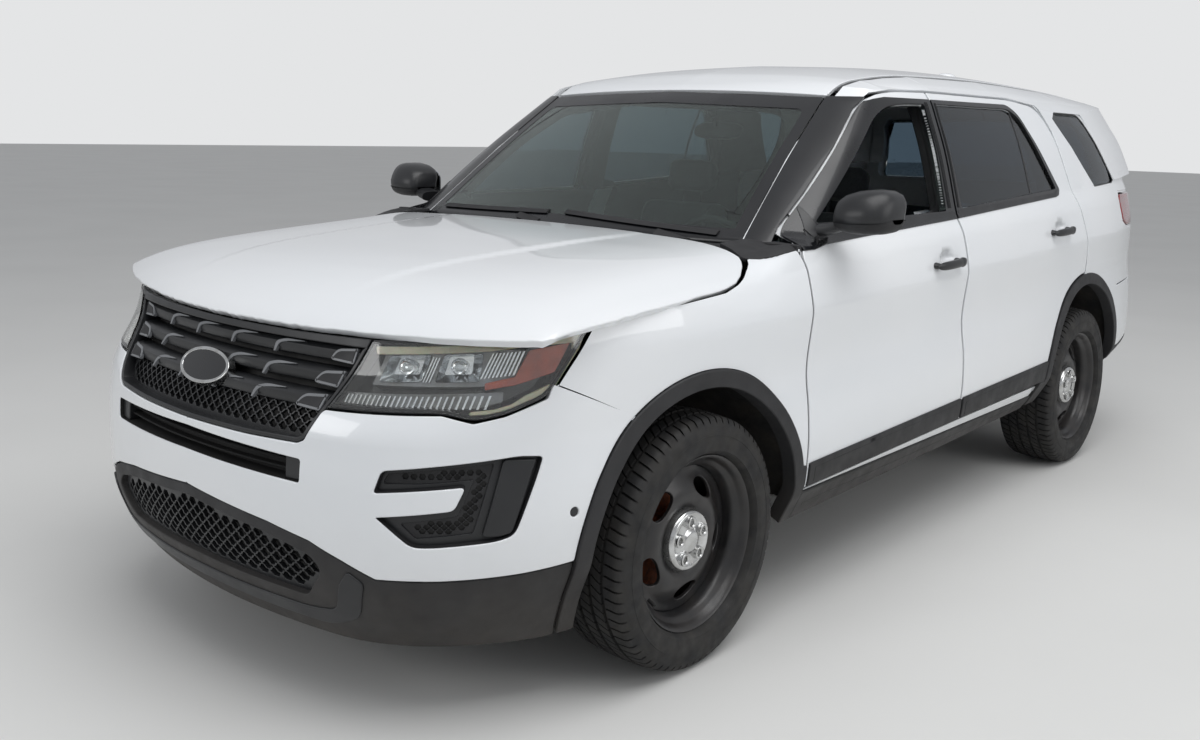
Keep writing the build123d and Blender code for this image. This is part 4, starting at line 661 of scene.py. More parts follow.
def sweep(path, section, up=(0, 0, 1), caps=True, scale=None):
    """A section of (out, up) pairs carried along a path, square to it."""
    path = np.asarray(path, float)
    section = np.asarray(section, float)
    heading = np.gradient(path, axis=0)
    heading /= np.maximum(np.linalg.norm(heading, axis=1), 1e-9)[:, None]
    up = np.broadcast_to(np.asarray(up, float), path.shape)
    out = np.cross(heading, up)
    out /= np.maximum(np.linalg.norm(out, axis=1), 1e-9)[:, None]
    rise = np.cross(out, heading)
    size = np.ones(len(path)) if scale is None else np.asarray(scale, float)
    rings = [p + size[k] * (section[:, :1] * out[k] + section[:, 1:] * rise[k]) for k, p in enumerate(path)]
    return skin_between(rings, caps=(caps, caps))


def tube(path, radius, sides=10, caps=True):
    turns = np.linspace(0, 2 * math.pi, sides, endpoint=False)
    path = np.asarray(path, float)
    heading = path[-1] - path[0]
    up = (0, 0, 1) if abs(heading[2]) < 0.9 * np.linalg.norm(heading) + 1e-9 else (0, 1, 0)
    return sweep(path, np.column_stack([np.cos(turns), np.sin(turns)]) * radius, up, caps)


def spline(points, count=40, closed=False):
    """A Catmull-Rom curve through points in the plane or in space."""
    points = np.asarray(points, float)
    if closed:
        points = np.vstack([points[-1], points, points[0], points[1]])
    else:
        points = np.vstack([2 * points[0] - points[1], points, 2 * points[-1] - points[-2]])
    spans = len(points) - 3
    t = np.linspace(0, spans, count, endpoint=not closed)
    i = np.minimum(t.astype(int), spans - 1)
    u = (t - i)[:, None]
    a, b, c, d = points[i], points[i + 1], points[i + 2], points[i + 3]
    return 0.5 * (2 * b + (c - a) * u + (2 * a - 5 * b + 4 * c - d) * u ** 2 + (3 * b - a - 3 * c + d)
                  * u ** 3)


# Pieces: one or more shells made into a named mesh

def piece(name, shells, material, body_name, slot, replaces=(), own_normals=True, crisp=35.0):
    """One object from shells, riding on a body, in one material."""
    whole = Shell().join(*shells) if isinstance(shells, (list, tuple)) else shells
    points = np.vstack(whole.points) + np.array([0, front_axle_y, 0])
    mesh = bpy.data.meshes.new(name)
    mesh.from_pydata((points / 1000).tolist(), [], whole.faces)
    mesh.validate()
    mesh.shade_smooth()
    if own_normals and len(mesh.vertices) == len(points):
        normals = np.vstack(whole.normals)
        mesh.normals_split_custom_set_from_vertices(normals.tolist())
    else:
        mesh.set_sharp_from_angle(angle=math.radians(crisp))
    made = bpy.data.objects.new(name, mesh)
    bpy.context.scene.collection.objects.link(made)
    mesh.materials.append(material)
    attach(made, body_name)
    if replaces:
        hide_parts(*replaces)
    return made


def pair(name, shells, material, body_name, slot, replaces=None, **options):
    """The left piece and its mirror image; {side} in names becomes left and right."""
    left = Shell().join(*shells) if isinstance(shells, (list, tuple)) else shells
    for side, shell in (("left", left), ("right", left.mirrored())):
        nodes = tuple(node.format(side=side) for node in replaces or () if "{side}" in node)
        piece(f"{name}_{side}", shell, material, body_name.format(side=side), slot, nodes, **options)


# Materials

def paint_hex(code):
    """An sRGB hex colour as linear RGBA."""
    parts = [int(code[i:i + 2], 16) / 255 for i in (1, 3, 5)]
    return tuple(c / 12.92 if c <= 0.04045 else ((c + 0.055) / 1.055) ** 2.4 for c in parts) + (1.0,)


def add_node(material, kind, settings=(), inputs=(), links=()):
    """One node with its settings, socket values and links into its inputs."""
    node = material.node_tree.nodes.new(kind)
    for name, value in dict(settings).items():
        setattr(node, name, value)
    for name, value in dict(inputs).items():
        node.inputs[name].default_value = value
    for name, source in dict(links).items():
        material.node_tree.links.new(source, node.inputs[name])
    return node


def finish_of(name, surface, tint=None, bump=None, rough=None, dirt=None):
    """A material from its surface values, with a tint pattern, a bump pattern and a roughness pattern.

    tint: (other colour, pattern size mm, strength); bump: (kind, size mm, height mm);
    rough: (low, high, size mm); dirt: (colour, height in m below which it gathers, strength)."""
    material = bpy.data.materials.new(name)
    material.use_nodes = True
    material.node_tree.nodes.clear()
    out = add_node(material, "ShaderNodeOutputMaterial")
    shader = add_node(material, "ShaderNodeBsdfPrincipled", inputs=surface)
    material.node_tree.links.new(shader.outputs[0], out.inputs[0])
    place = add_node(material, "ShaderNodeTexCoord").outputs["Object"]
    colour = None
    if tint:
        other, size, strength = tint
        cloud = add_node(material, "ShaderNodeTexNoise", inputs={"Scale": 1000 / size, "Detail": 4.0},
                         links={"Vector": place})
        reach = add_node(material, "ShaderNodeMapRange", inputs={"From Min": 0.35, "From Max": 0.7,
                                                                 "To Max": strength},
                         links={"Value": cloud.outputs["Fac"]})
        colour = add_node(material, "ShaderNodeMix", {"data_type": "RGBA"},
                          {6: surface["Base Color"], 7: other}, {0: reach.outputs[0]}).outputs[2]
    if dirt:
        film, height, strength = dirt
        level = add_node(material, "ShaderNodeSeparateXYZ", links={"Vector": place})
        cloud = add_node(material, "ShaderNodeTexNoise", inputs={"Scale": 9.0, "Detail": 6.0,
                                                                 "Roughness": 0.65},
                         links={"Vector": place})
        low = add_node(material, "ShaderNodeMapRange", inputs={"From Min": height, "From Max": 0.1,
                                                               "To Max": strength},
                       links={"Value": level.outputs["Z"]})
        share = add_node(material, "ShaderNodeMath", {"operation": "MULTIPLY", "use_clamp": True},
                         links={0: low.outputs[0], 1: cloud.outputs["Fac"]})
        mix = add_node(material, "ShaderNodeMix", {"data_type": "RGBA"},
                       {6: surface["Base Color"], 7: film}, {0: share.outputs[0]})
        if colour:
            material.node_tree.links.new(colour, mix.inputs[6])
        colour = mix.outputs[2]
    if colour:
        material.node_tree.links.new(colour, shader.inputs["Base Color"])
    if rough:
        low, high, size = rough
        cloud = add_node(material, "ShaderNodeTexNoise", inputs={"Scale": 1000 / size, "Detail": 5.0},
                         links={"Vector": place})
        reach = add_node(material, "ShaderNodeMapRange",
                         inputs={"From Min": 0.3, "From Max": 0.7, "To Min": low, "To Max": high},
                         links={"Value": cloud.outputs["Fac"]})
        material.node_tree.links.new(reach.outputs[0], shader.inputs["Roughness"])
    if bump:
        kind, size, height = bump
        if kind == "cells":
            pattern = add_node(material, "ShaderNodeTexVoronoi", {"feature": "F1"}, {"Scale": 1000 / size},
                               {"Vector": place}).outputs["Distance"]
        elif kind == "weave":
            across = add_node(material, "ShaderNodeTexWave", {"bands_direction": "X"},
                              {"Scale": 1000 / size / 20, "Distortion": 0.4, "Detail": 1.0},
                              {"Vector": place})
            along = add_node(material, "ShaderNodeTexWave", {"bands_direction": "Z"},
                             {"Scale": 1000 / size / 20, "Distortion": 0.4, "Detail": 1.0},
                             {"Vector": place})
            pattern = add_node(material, "ShaderNodeMath", {"operation": "MULTIPLY"},
                               links={0: across.outputs["Fac"], 1: along.outputs["Fac"]}).outputs[0]
        else:
            pattern = add_node(material, "ShaderNodeTexNoise", inputs={"Scale": 1000 / size, "Detail": 2.0},
                               links={"Vector": place}).outputs["Fac"]
        raised = add_node(material, "ShaderNodeBump", inputs={"Strength": 1.0, "Distance": height / 1000},
                          links={"Height": pattern})
        material.node_tree.links.new(raised.outputs["Normal"], shader.inputs["Normal"])
    return material


# Two-stage car enamel: a soft white under clear lacquer, with a faint orange peel and road film low down
white_enamel = finish_of("white_enamel", {"Base Color": paint_hex("#E9EBED"), "Roughness": 0.3,
                                          "Coat Weight": 1.0, "Coat Roughness": 0.035, "Coat IOR": 1.5},
                         tint=(paint_hex("#DFE3E7"), 900, 0.6), bump=("grain", 9, 0.012),
                         dirt=(paint_hex("#B9B2A6"), 0.62, 0.34))
# The same enamel sprayed black and polished, for the pillars and the window surrounds
black_enamel = finish_of(
    "black_enamel",
    {"Base Color": paint_hex("#08090D"), "Roughness": 0.3, "Coat Weight": 0.35, "Coat Roughness": 0.06},
    tint=(paint_hex("#101218"), 300, 0.5), bump=("grain", 9, 0.01), rough=(0.24, 0.36, 160))
# Moulded polypropylene with a leather-like mould grain, dry and slightly faded
grained_polypropylene = finish_of(
    "grained_polypropylene", {"Base Color": paint_hex("#1B1B1D"), "Roughness": 0.6},
    tint=(paint_hex("#29292B"), 260, 0.8), bump=("cells", 2.4, 0.14), rough=(0.5, 0.68, 60),
    dirt=(paint_hex("#5E574D"), 0.5, 0.55))
# Smooth moulded ABS, satin, on the grille, the mirrors and the handles
satin_abs = finish_of(
    "satin_abs", {"Base Color": paint_hex("#202123"), "Roughness": 0.36},
    tint=(paint_hex("#2B2C2E"), 180, 0.7), bump=("cells", 1.6, 0.03), rough=(0.3, 0.44, 80))
# Grey ABS of the blank plate; on the grille's notch ridges and bar ends the same light grey is a painted
# highlight
plate_grey_and_notch_highlight = finish_of(
    "plate_grey_and_notch_highlight", {"Base Color": paint_hex("#77797C"), "Roughness": 0.34},
    tint=(paint_hex("#6A6C6F"), 60, 0.6), bump=("cells", 1.6, 0.03), rough=(0.28, 0.42, 80))
# Unpainted black mesh and deep ducts behind the openings
duct_plastic = finish_of(
    "duct_plastic", {"Base Color": paint_hex("#0C0C0D"), "Roughness": 0.7},
    tint=(paint_hex("#191816"), 90, 0.7), bump=("cells", 3, 0.1), rough=(0.6, 0.8, 60))
# Laminated float glass with a green cast, for the windscreen
laminated_glass = finish_of(
    "laminated_glass",
    {"Base Color": paint_hex("#B9CCC6"), "Roughness": 0.0, "IOR": 1.5, "Transmission Weight": 1.0},
    tint=(paint_hex("#AFC4BF"), 900, 0.5), rough=(0.0, 0.012, 240))
# Privacy glass, dyed nearly black with a blue cast, for the side and rear windows
privacy_glass = finish_of(
    "privacy_glass",
    {"Base Color": paint_hex("#4A5A66"), "Roughness": 0.0, "IOR": 1.5, "Transmission Weight": 1.0},
    tint=(paint_hex("#3F4D59"), 900, 0.5), rough=(0.0, 0.012, 240))
# Clear polycarbonate of the lamp covers, a little hazed by sun and sand
clear_polycarbonate = finish_of(
    "clear_polycarbonate",
    {"Base Color": paint_hex("#F4F6F6"), "Roughness": 0.02, "IOR": 1.58, "Transmission Weight": 1.0},
    tint=(paint_hex("#E6E4D6"), 160, 0.5), rough=(0.01, 0.07, 120))
# Vacuum-metallised reflector bowls
bright_reflector = finish_of(
    "bright_reflector", {"Base Color": paint_hex("#D9DCDF"), "Metallic": 1.0, "Roughness": 0.12},
    tint=(paint_hex("#B9BCC0"), 60, 0.6), rough=(0.06, 0.2, 40))
# Light guide of diffusing acrylic, cream when unlit
frosted_acrylic = finish_of(
    "frosted_acrylic", {"Base Color": paint_hex("#E4DFC6"), "Roughness": 0.3, "Subsurface Weight": 0.3,
                        "Subsurface Scale": 0.01},
    tint=(paint_hex("#D2CCAE"), 30, 0.6), bump=("grain", 3, 0.05), rough=(0.22, 0.38, 20))
# Ribbed amber acrylic of the turn lamps, deep orange with a glossy face
amber_acrylic = finish_of(
    "amber_acrylic", {"Base Color": paint_hex("#C2410C"), "Roughness": 0.14, "Coat Weight": 0.8},
    tint=(paint_hex("#8E2C06"), 30, 0.7), bump=("cells", 5, 0.6), rough=(0.1, 0.2, 20))
# Ribbed red acrylic of the tail lamps, dark when unlit, glossy outside
red_acrylic = finish_of(
    "red_acrylic", {"Base Color": paint_hex("#8C0B14"), "Roughness": 0.12, "Coat Weight": 1.0},
    tint=(paint_hex("#5E060C"), 60, 0.7), bump=("cells", 6, 0.5), rough=(0.08, 0.16, 40))
# Ribbed clear acrylic of the reversing lamps, milky grey from the ribs behind it
clear_acrylic = finish_of(
    "clear_acrylic", {"Base Color": paint_hex("#CBD0D2"), "Roughness": 0.12, "Coat Weight": 1.0},
    tint=(paint_hex("#B3B8BC"), 60, 0.7), bump=("cells", 6, 0.5), rough=(0.08, 0.16, 40))
# Chromed steel hub caps with fine wash scratches
chromed_steel = finish_of(
    "chromed_steel", {"Base Color": paint_hex("#D5D6D6"), "Metallic": 1.0, "Roughness": 0.16},
    tint=(paint_hex("#A8A6A2"), 26, 0.6), bump=("grain", 4, 0.02), rough=(0.1, 0.3, 24))
# Pressed steel wheels in black electrocoat, dull with brake dust
coated_wheel_steel = finish_of("coated_wheel_steel", {"Base Color": paint_hex("#141416"), "Roughness": 0.42,
                                                      "Coat Weight": 0.3, "Coat Roughness": 0.25},
                               tint=(paint_hex("#2A2624"), 70, 0.8), bump=("grain", 7, 0.05),
                               rough=(0.3, 0.55, 50))
# Cast iron brake discs, rusted where the pads don't wipe
rusted_iron = finish_of(
    "rusted_iron", {"Base Color": paint_hex("#96502C"), "Roughness": 0.78, "Metallic": 0.2},
    tint=(paint_hex("#5B3524"), 14, 1.0), bump=("grain", 3, 0.25), rough=(0.6, 0.9, 12))
# Tyre rubber: carbon black, matt, with dust in the tread
tyre_compound = finish_of(
    "tyre_compound", {"Base Color": paint_hex("#1A1A1B"), "Roughness": 0.78},
    tint=(paint_hex("#2F2D2A"), 60, 0.8), bump=("grain", 2.2, 0.1), rough=(0.62, 0.88, 36))
# Underbody coating: stone-chip wax over steel
stone_chip_coating = finish_of(
    "stone_chip_coating", {"Base Color": paint_hex("#1D1D1E"), "Roughness": 0.75},
    tint=(paint_hex("#3A352F"), 80, 0.9), bump=("cells", 7, 0.5), rough=(0.6, 0.85, 60))
# Sand-cast aluminium of the engine and gearbox, dull grey with dark oily patches
cast_aluminium = finish_of(
    "cast_aluminium", {"Base Color": paint_hex("#8E9093"), "Metallic": 1.0, "Roughness": 0.45},
    tint=(paint_hex("#6F6E6B"), 50, 0.9), bump=("grain", 2, 0.12), rough=(0.36, 0.6, 30))
# Slush-moulded dashboard skin with a fine grain
dashboard_skin = finish_of(
    "dashboard_skin", {"Base Color": paint_hex("#232325"), "Roughness": 0.6},
    tint=(paint_hex("#1B1B1D"), 120, 0.8), bump=("cells", 2.2, 0.12), rough=(0.52, 0.68, 40))
# Heavy woven seat cloth, charcoal
seat_weave = finish_of("seat_weave", {"Base Color": paint_hex("#2C2D30"), "Roughness": 0.9,
                                      "Sheen Weight": 0.3, "Sheen Roughness": 0.5},
                       tint=(paint_hex("#3B3C40"), 7, 0.8), bump=("weave", 3, 0.5), rough=(0.84, 0.96, 20))
# Headlining: brushed grey knit
grey_knit = finish_of(
    "grey_knit", {"Base Color": paint_hex("#8F9092"), "Roughness": 0.92, "Sheen Weight": 0.2},
    tint=(paint_hex("#7F8083"), 9, 0.6), bump=("weave", 2.4, 0.2), rough=(0.86, 0.96, 20))

slot_finish = {
    "white_paint": white_enamel, "black_trim": grained_polypropylene, "tinted_glass": privacy_glass,
    "lamp_clear": clear_polycarbonate, "lamp_red": red_acrylic, "chassis_steel": stone_chip_coating,
    "engine_metal": cast_aluminium, "interior_plastic": dashboard_skin, "seat_cloth": seat_weave,
    "wheel_steel": coated_wheel_steel, "tyre_rubber": tyre_compound,
}
for row in frame["record"]["subparts"]:
    node = frame["nodes"][row["node"]]
    for place in range(max(1, len(node.material_slots))):
        if node.material_slots:
            node.material_slots[place].material = slot_finish[row["material_slot"]]
        else:
            node.data.materials.append(slot_finish[row["material_slot"]])


# The painted body

front_door_edge = ((486, 412), (486, 1110, 20), (562, 1186, 30), (1085, 1560, 60), (1180, 1606, 60),
                   (1300, 1622, 80), (1538, 1628), (1538, 438))
rear_door_edge = ((1552, 438), (1552, 1628), (2300, 1628, 60), (2552, 1606, 60), (2636, 1500, 60),
                  (2698, 1240, 80), (2800, 930, 40), (2800, 886, 6))
front_window = ((655, 1196, 14), (1130, 1528, 60), (1225, 1568, 50), (1330, 1580, 60), (1485, 1584, 18),
                (1470, 1206, 10))
rear_window = ((1598, 1212, 10), (1578, 1586, 14), (2240, 1588, 40), (2320, 1552, 50), (2520, 1262, 14))
quarter_window = ((2668, 1574, 34), (2740, 1594, 40), (3085, 1590, 44), (3304, 1284, 22), (3262, 1268, 20),
                  (2974, 1258, 40))


def arch_arc(arch, radius, start, end, count=40):
    """Points along a wheel arch, from one angle to another in degrees up from the rear."""
    turns = np.radians(np.linspace(start, end, count))
    return [(arch[0] + radius * math.cos(t), arch[1] + radius * math.sin(t), 1) for t in turns]


rear_door_full = rear_door_edge + tuple(arch_arc(rear_arch, arch_radius + 8, 97.0,
                                                 174.0)) + ((2382, 455, 2),)
front_door_loop = up_rail(rounded(front_door_edge, 6))
rear_door_loop = up_rail(rounded(rear_door_full, 6))
front_window_loop, rear_window_loop = up_rail(rounded(front_window)), up_rail(rounded(rear_window))
quarter_loop = up_rail(rounded(quarter_window))


def door_depth(s, z):
    """How thick a door is: deep below the belt, thin round its window."""
    return 42 + 66 * (1 - eased(-30, 40, z - belt_height(s)))


def inner_side(x, s, z):
    mix = eased(-16, 22, z - belt_height(s))
    return plain_body(x, s, z) * (1 - mix) + cabin(x, s, z) * mix + door_depth(s, z)


for place, loop, window, card_front in (("front", front_door_loop, front_window_loop, 562),
                                        ("rear", rear_door_loop, rear_window_loop, 1626)):
    skin = panel(loop, round_flank(cupped(flank)), [window], depth=12, hole_depth=10, spacing=20)
    inner_loop = moved_in(dense(loop, 16), 12)
    inner_loop[:, 0] = np.maximum(inner_loop[:, 0], np.interp(inner_loop[:, 1], (1080, 1110, 1230, 1290),
                                                              (card_front, card_front + 50, card_front + 60,
                                                               0)))
    card = panel(inner_loop, round_flank(inner_side), [moved_in(dense(window, 16), -8)], facing=-1,
                 spacing=40, depth=lambda at: door_depth(at[:, 1], at[:, 2]) - 20, edge=5, hole_depth=20)
    hem = panel(moved_in(dense(loop, 16), 2), round_flank(offset(flank, -14)), [moved_in(inner_loop, 3)],
                facing=-1, edge=0, depth=0, spacing=40)
    pair(f"{place}_door_skin", [skin, hem], white_enamel, place + "_door_{side}", "white_paint",
         ["door_" + place + "_{side}"])
    pair(f"{place}_door_card", [card], dashboard_skin, place + "_door_{side}", "interior_plastic")

# Fixed side: roof rail, rear pillars and rear quarter in one pressing
gate_line = ((578, 830), (640, 1060), (708, 1236), (663, 1400), (614, 1560), (600, 1640))
rail_places = np.array([3600, 3300, 2900, 2500, 2100, 1700, 1400, 1250, 1150])
quarter_edge = np.vstack([up_rail([(1140, 1612), (1190, 1622), (1300, 1630), (1540, 1636), (2300, 1636),
                                   (2556, 1614), (2646, 1503), (2706, 1242), (2808, 932), (2808, 886)]),
                          np.array([p[:2] for p in arch_arc(rear_arch, arch_radius, 95.2, 47.0)]),
                          [(3300, 797), (3700, 807), (3760, 828)],
                          [(past_tail(x), z) for x, z in gate_line[:2]],
                          [(past_tail(648), 1060), (3420, 1060), (3326, 1094), (3294, 1198), (3326, 1236)],
                          [(past_tail(x), z) for x, z in gate_line[2:5]], up_rail([(past_tail(600), 1640)]),
                          rail_at(rail_places, 668),])
quarter_skin = panel(quarter_edge, round_flank(flank), [quarter_loop], depth=14, hole_depth=20, spacing=26,
                     edge=3)
pair("rear_quarter_skin", [quarter_skin], white_enamel, "body", "white_paint")

# Front fender
hood_corner = ((937, 156), (918, 202), (888, 252), (868, 276), (848, 292))
shut_gap = 3.5
fender_edge = (((-522, 832), (-386, 1001), (90, 1039)) + tuple((s, float(hood_top(x, s)) - shut_gap, 2)
                                                               for x, s in hood_corner)
               + ((326, 1116), (354, 1120), (382, 1125), (427, 1130), (478, 1134, 2), (478, 332),
                  (470, 330)))
fender_loop = np.vstack([
    rounded(fender_edge, 4)[:-1],
    np.array([p[:2] for p in arch_arc(front_arch, arch_radius, -4, 126, 60)]),
    [(-264, 752), (-496, 861.5)],
])
fender_skin = panel(fender_loop, from_side(wing), depth=14, spacing=20, edge=2.2)
pair("front_fender_skin", [fender_skin], white_enamel, "body", "white_paint")
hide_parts("front_fenders")


def level_at(height):
    """Lifts (x, s) outlines onto a level plane."""
    return lambda flat: (np.column_stack([flat, np.full(len(flat), float(height))]),
                         np.tile([0.0, 0.0, 1.0], (len(flat), 1)))


# Black corner trim between the cowl, the fender and the foot of the windscreen pillar
corner_trim = panel(rounded([(852, 292), (867, 292), (881, 307), (896, 326), (911, 354), (920, 382),
                             (925, 427), (924, 478), (798, 478), (790, 500), (742, 476), (738, 345),
                             (800, 318)], 4), from_above(offset(wing, 2)), depth=10, edge=2, spacing=18)
foot_cap = panel(rounded([(792, 472), (926, 474), (929, 494), (905, 500), (870, 508), (796, 534)], 4),
                 level_at(1142), depth=14, edge=3, spacing=30)
pair("cowl_corner_trim", [corner_trim, foot_cap], grained_polypropylene, "body", "black_trim")


# Hood: its edge is where its own surface comes down to the shut line
def shut_height(s):
    return np.interp(s, (-1000, -775, -391, 150, 205, 420), (950, 972, 1006, 1050, 1072, 1084))


def hood_edge(count=70):
    """The hood's left edge from the middle of the nose back to its rear corner, in (x, s)."""
    turns = np.radians(np.linspace(0, 128, count))
    centre_s = -340.0
    reach = np.linspace(60, 1100, 400)
    edge = []
    for t in turns:
        x, s = reach * math.sin(t), centre_s - reach * math.cos(t)
        above = hood_top(x, s) - shut_height(s) - 3
        within = np.where((above < 0) | (x > 972))[0]
        k = within[0] if len(within) else -1
        edge.append((x[k], s[k]))
    return np.array(edge)


hood_side = hood_edge()
hood_side = hood_side[hood_side[:, 1] < 120]
hood_half = np.vstack([hood_side, hood_corner, [(800, 303), (700, 316), (500, 331), (300, 343), (0, 349)]])
hood_loop = np.vstack([hood_half, (hood_half[::-1] * [-1, 1])[1:-1]])
hood_skin = panel(hood_loop, from_above(hood_surface), depth=16, spacing=24, edge=4)
hood_inner = panel(moved_in(dense(hood_loop, 20), 22), from_above(offset(hood_surface, -20)), facing=-1,
                   depth=0, edge=0, spacing=60)
piece("hood_skin", [hood_skin, hood_inner], white_enamel, "hood", "white_paint", ["hood"])

# Roof between the ditches
top_x = np.linspace(-634, 634, 41)
header_top = 1618 - 20 * np.abs(top_x / 632) ** 2
header, _ = from_front(cabin)(np.column_stack([top_x, header_top]))
roof_loop = np.vstack([header[:, :2] + [0, 5], [(638, 1300), (638, 3630), (-638, 3630), (-638, 1300)]])
roof_skin = panel(roof_loop, from_above(cabin), depth=10, spacing=40, edge=3)
piece("roof_skin", [roof_skin], white_enamel, "body", "white_paint", ["roof_panel"])
headlining = panel([(-600, 1180), (600, 1180), (640, 1500), (640, 3560), (-640, 3560), (-640, 1500)],
                   from_above(offset(cabin, -44)), facing=-1, depth=0, edge=0, spacing=80)
piece("headlining", [headlining], grey_knit, "body", "interior_plastic")
ditch = panel([(641, 1120), (663, 1140), (663, 3628), (641, 3628)], from_above(offset(cabin, -5)), depth=6,
              edge=2, spacing=16)
pair("roof_ditch_strip", [ditch], satin_abs, "body", "black_trim")

# Windscreen pillars in polished black
diagonal = Slant((-1, 1, 0))
pillar_inner, _ = from_front(cabin)(np.column_stack([np.interp(np.linspace(1122, 1600, 24),
                                                               (1128, 1150, 1598), (735, 728, 632)),
                                                     np.linspace(1122, 1600, 24)]))
pillar_outer, _ = from_side(cabin)(np.array([
    (1160, 1601), (1080, 1561), (900, 1432), (700, 1289), (558, 1187), (500, 1129), (470, 1122)]))
pillar_loop = diagonal.flat(np.vstack([pillar_inner, pillar_outer]))
pillar_skin = panel(pillar_loop, diagonal.lift(offset(cabin, 3.2)), depth=12, edge=2.5, spacing=14)
pair("windscreen_pillar", [pillar_skin], black_enamel, "body", "white_paint")

# Trim on the inner side of the pillars and along the roof rails
trim_places = {
    "front_pillar": [(560, 1180), (640, 1180), (1120, 1530), (1130, 1590), (1080, 1580)],
    "middle_pillar": [(1486, 1150), (1606, 1154), (1590, 1586), (1496, 1586)],
    "rear_pillar": [(2500, 1236), (2990, 1262), (2720, 1560), (2640, 1590), (2330, 1586), (2470, 1400)],
    "tail_pillar": [(3300, 1260), (3420, 1260), (3330, 1590), (3100, 1590)],
    "roof_rail": [(1120, 1584), (3330, 1590), (3330, 1622), (1150, 1618)],
}
for place, outline in trim_places.items():
    trim = panel(rounded(outline, 12), round_flank(offset(cabin, -74)), facing=-1, edge=6, depth=34,
                 spacing=40)
    pair(place + "_trim", [trim], grey_knit if place == "roof_rail" else dashboard_skin, "body",
         "interior_plastic")

# Liftgate skin, from behind
gate_half = ((0, 676), (516, 676), (556, 764), (636, 1078), (690, 1088), (696, 1230), (651, 1400),
             (602, 1560), (590, 1640))
gate_window = ((0, 1236), (606, 1236), (614, 1262), (556, 1520), (516, 1562), (0, 1578))


def whole(half):
    """Both halves of an outline given from the middle line out and round."""
    half = np.array([p[:2] for p in half], float)
    return np.vstack([half, (half[::-1] * [-1, 1])[1:-1] if abs(half[0, 0]) < 1e-6
                      and abs(half[-1, 0]) < 1e-6 else (half[::-1] * [-1, 1])])


gate_loop = rounded(whole(gate_half), 14)
gate_skin = panel(gate_loop, from_behind(flank), [rounded(whole(gate_window), 16)], depth=12, edge=3.5,
                  spacing=34, hole_depth=24)
piece("liftgate_skin", [gate_skin], white_enamel, "liftgate", "white_paint")
gate_glass = panel(rounded(whole(gate_window), 16), from_behind(offset(cabin, -7)), depth=3, edge=1,
                   spacing=60, back=True)
piece("liftgate_pane", [gate_glass], privacy_glass, "liftgate", "tinted_glass", ["liftgate_glass"])

# Side windows
for name, loop, body_name, node in (("rear_door_pane", rear_window_loop, "rear_door_{side}",
                                     "glass_rear_{side}"), ("quarter_pane", quarter_loop, "body",
                                                            "quarter_glasses")):
    pane = panel(moved_in(dense(loop, 20), -1), round_flank(offset(cabin, -7)), depth=3, edge=1, spacing=60,
                 back=True)
    nodes = [node] if "{side}" in node else None
    pair(name, [pane], privacy_glass, body_name, "tinted_glass", nodes)
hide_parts("quarter_glasses")
front_pane = panel(moved_in(dense(front_window_loop, 20), -1), round_flank(offset(cabin, -7)), depth=3,
                   edge=1, spacing=60, back=True).mirrored()
piece("front_door_pane_right", [front_pane], privacy_glass, "front_door_right", "tinted_glass",
      ["glass_front_right"])

# Windscreen
screen_half = ((0, 1130), (732, 1130), (726, 1152), (631, 1594), (0, 1614))
screen_loop = rounded(whole(screen_half), 12)
screen = panel(screen_loop, from_front(offset(cabin, -4)), depth=4, edge=1, spacing=50, back=True)
piece("windscreen_pane", [screen], laminated_glass, "body", "tinted_glass", ["windscreen"])
band_half = ((0, 1176), (682, 1172), (676, 1190), (598, 1552), (0, 1572))
band = panel(moved_in(dense(screen_loop, 30), 1), from_front(offset(cabin, -2.6)),
             [rounded(whole(band_half), 30)], depth=0, edge=0, spacing=40)
piece("windscreen_band", [band], black_enamel, "body", "black_trim")


# The front end

def round_places(field, places, by="x"):
    """Places (x or s, z) on the left of the nose as (distance round the nose, z)."""
    trial = np.linspace(0, nose_line[0][-1] - 20, 260)
    column = 0 if by == "x" else 1
    out = []
    for value, z in places:
        at, _ = round_nose(field)(np.column_stack([trial, np.full(len(trial), z)]))
        along = np.maximum.accumulate(at[:, column])
        out.append((float(np.interp(value, along, trial)), z))
    return out


def wall(outer, outer_lift, inner, inner_lift, spacing=18):
    """A band between an outline on one surface and its partner on another."""
    outer, inner = np.asarray(outer, float), np.asarray(inner, float)
    rows = []
    for loop in (outer, inner):
        row = []
        for k in range(len(loop)):
            a, b = loop[k], loop[(k + 1) % len(loop)]
            count = max(1, int(math.ceil(np.linalg.norm(outer[(k + 1) % len(outer)] - outer[k]) / spacing)))
            row.extend(a + (b - a) * j / count for j in range(count))
        rows.append(np.array(row))
    rings = [outer_lift(rows[0])[0], inner_lift(rows[1])[0]]
    shell = skin_between(rings)
    a, b, c, d = (rings[0][0], rings[0][1], rings[1][1], rings[1][0])
    facing = np.cross(c - a, d - b)
    towards = rings[0].mean(axis=0) - a
    if np.dot(facing, towards) < 0:
        shell.faces = [tuple(reversed(face)) for face in shell.faces]
    return shell


def honeycomb(region, pitch, rise, web, inset):
    """Six-sided cells in rows that fit inside a flat region, as outlines."""
    region = np.asarray(region, float)
    low, high = region.min(axis=0), region.max(axis=0)
    cells = []
    row = 0
    z = low[1] + rise * 0.5
    while z < high[1]:
        x = low[0] + (pitch / 2 if row % 2 else 0)
        while x < high[0]:
            half, tall = (pitch - web) / 2, (rise - web) / 2 * 1.15
            cell = np.array([(x - half, z), (x - half * 0.5, z + tall), (x + half * 0.5, z + tall),
                             (x + half, z), (x + half * 0.5, z - tall), (x - half * 0.5, z - tall)])
            margin = moved_in(region, inset)
            if inside(cell, [margin]).all():
                cells.append(cell)
            x += pitch
        z += rise * 0.62
        row += 1
    return cells


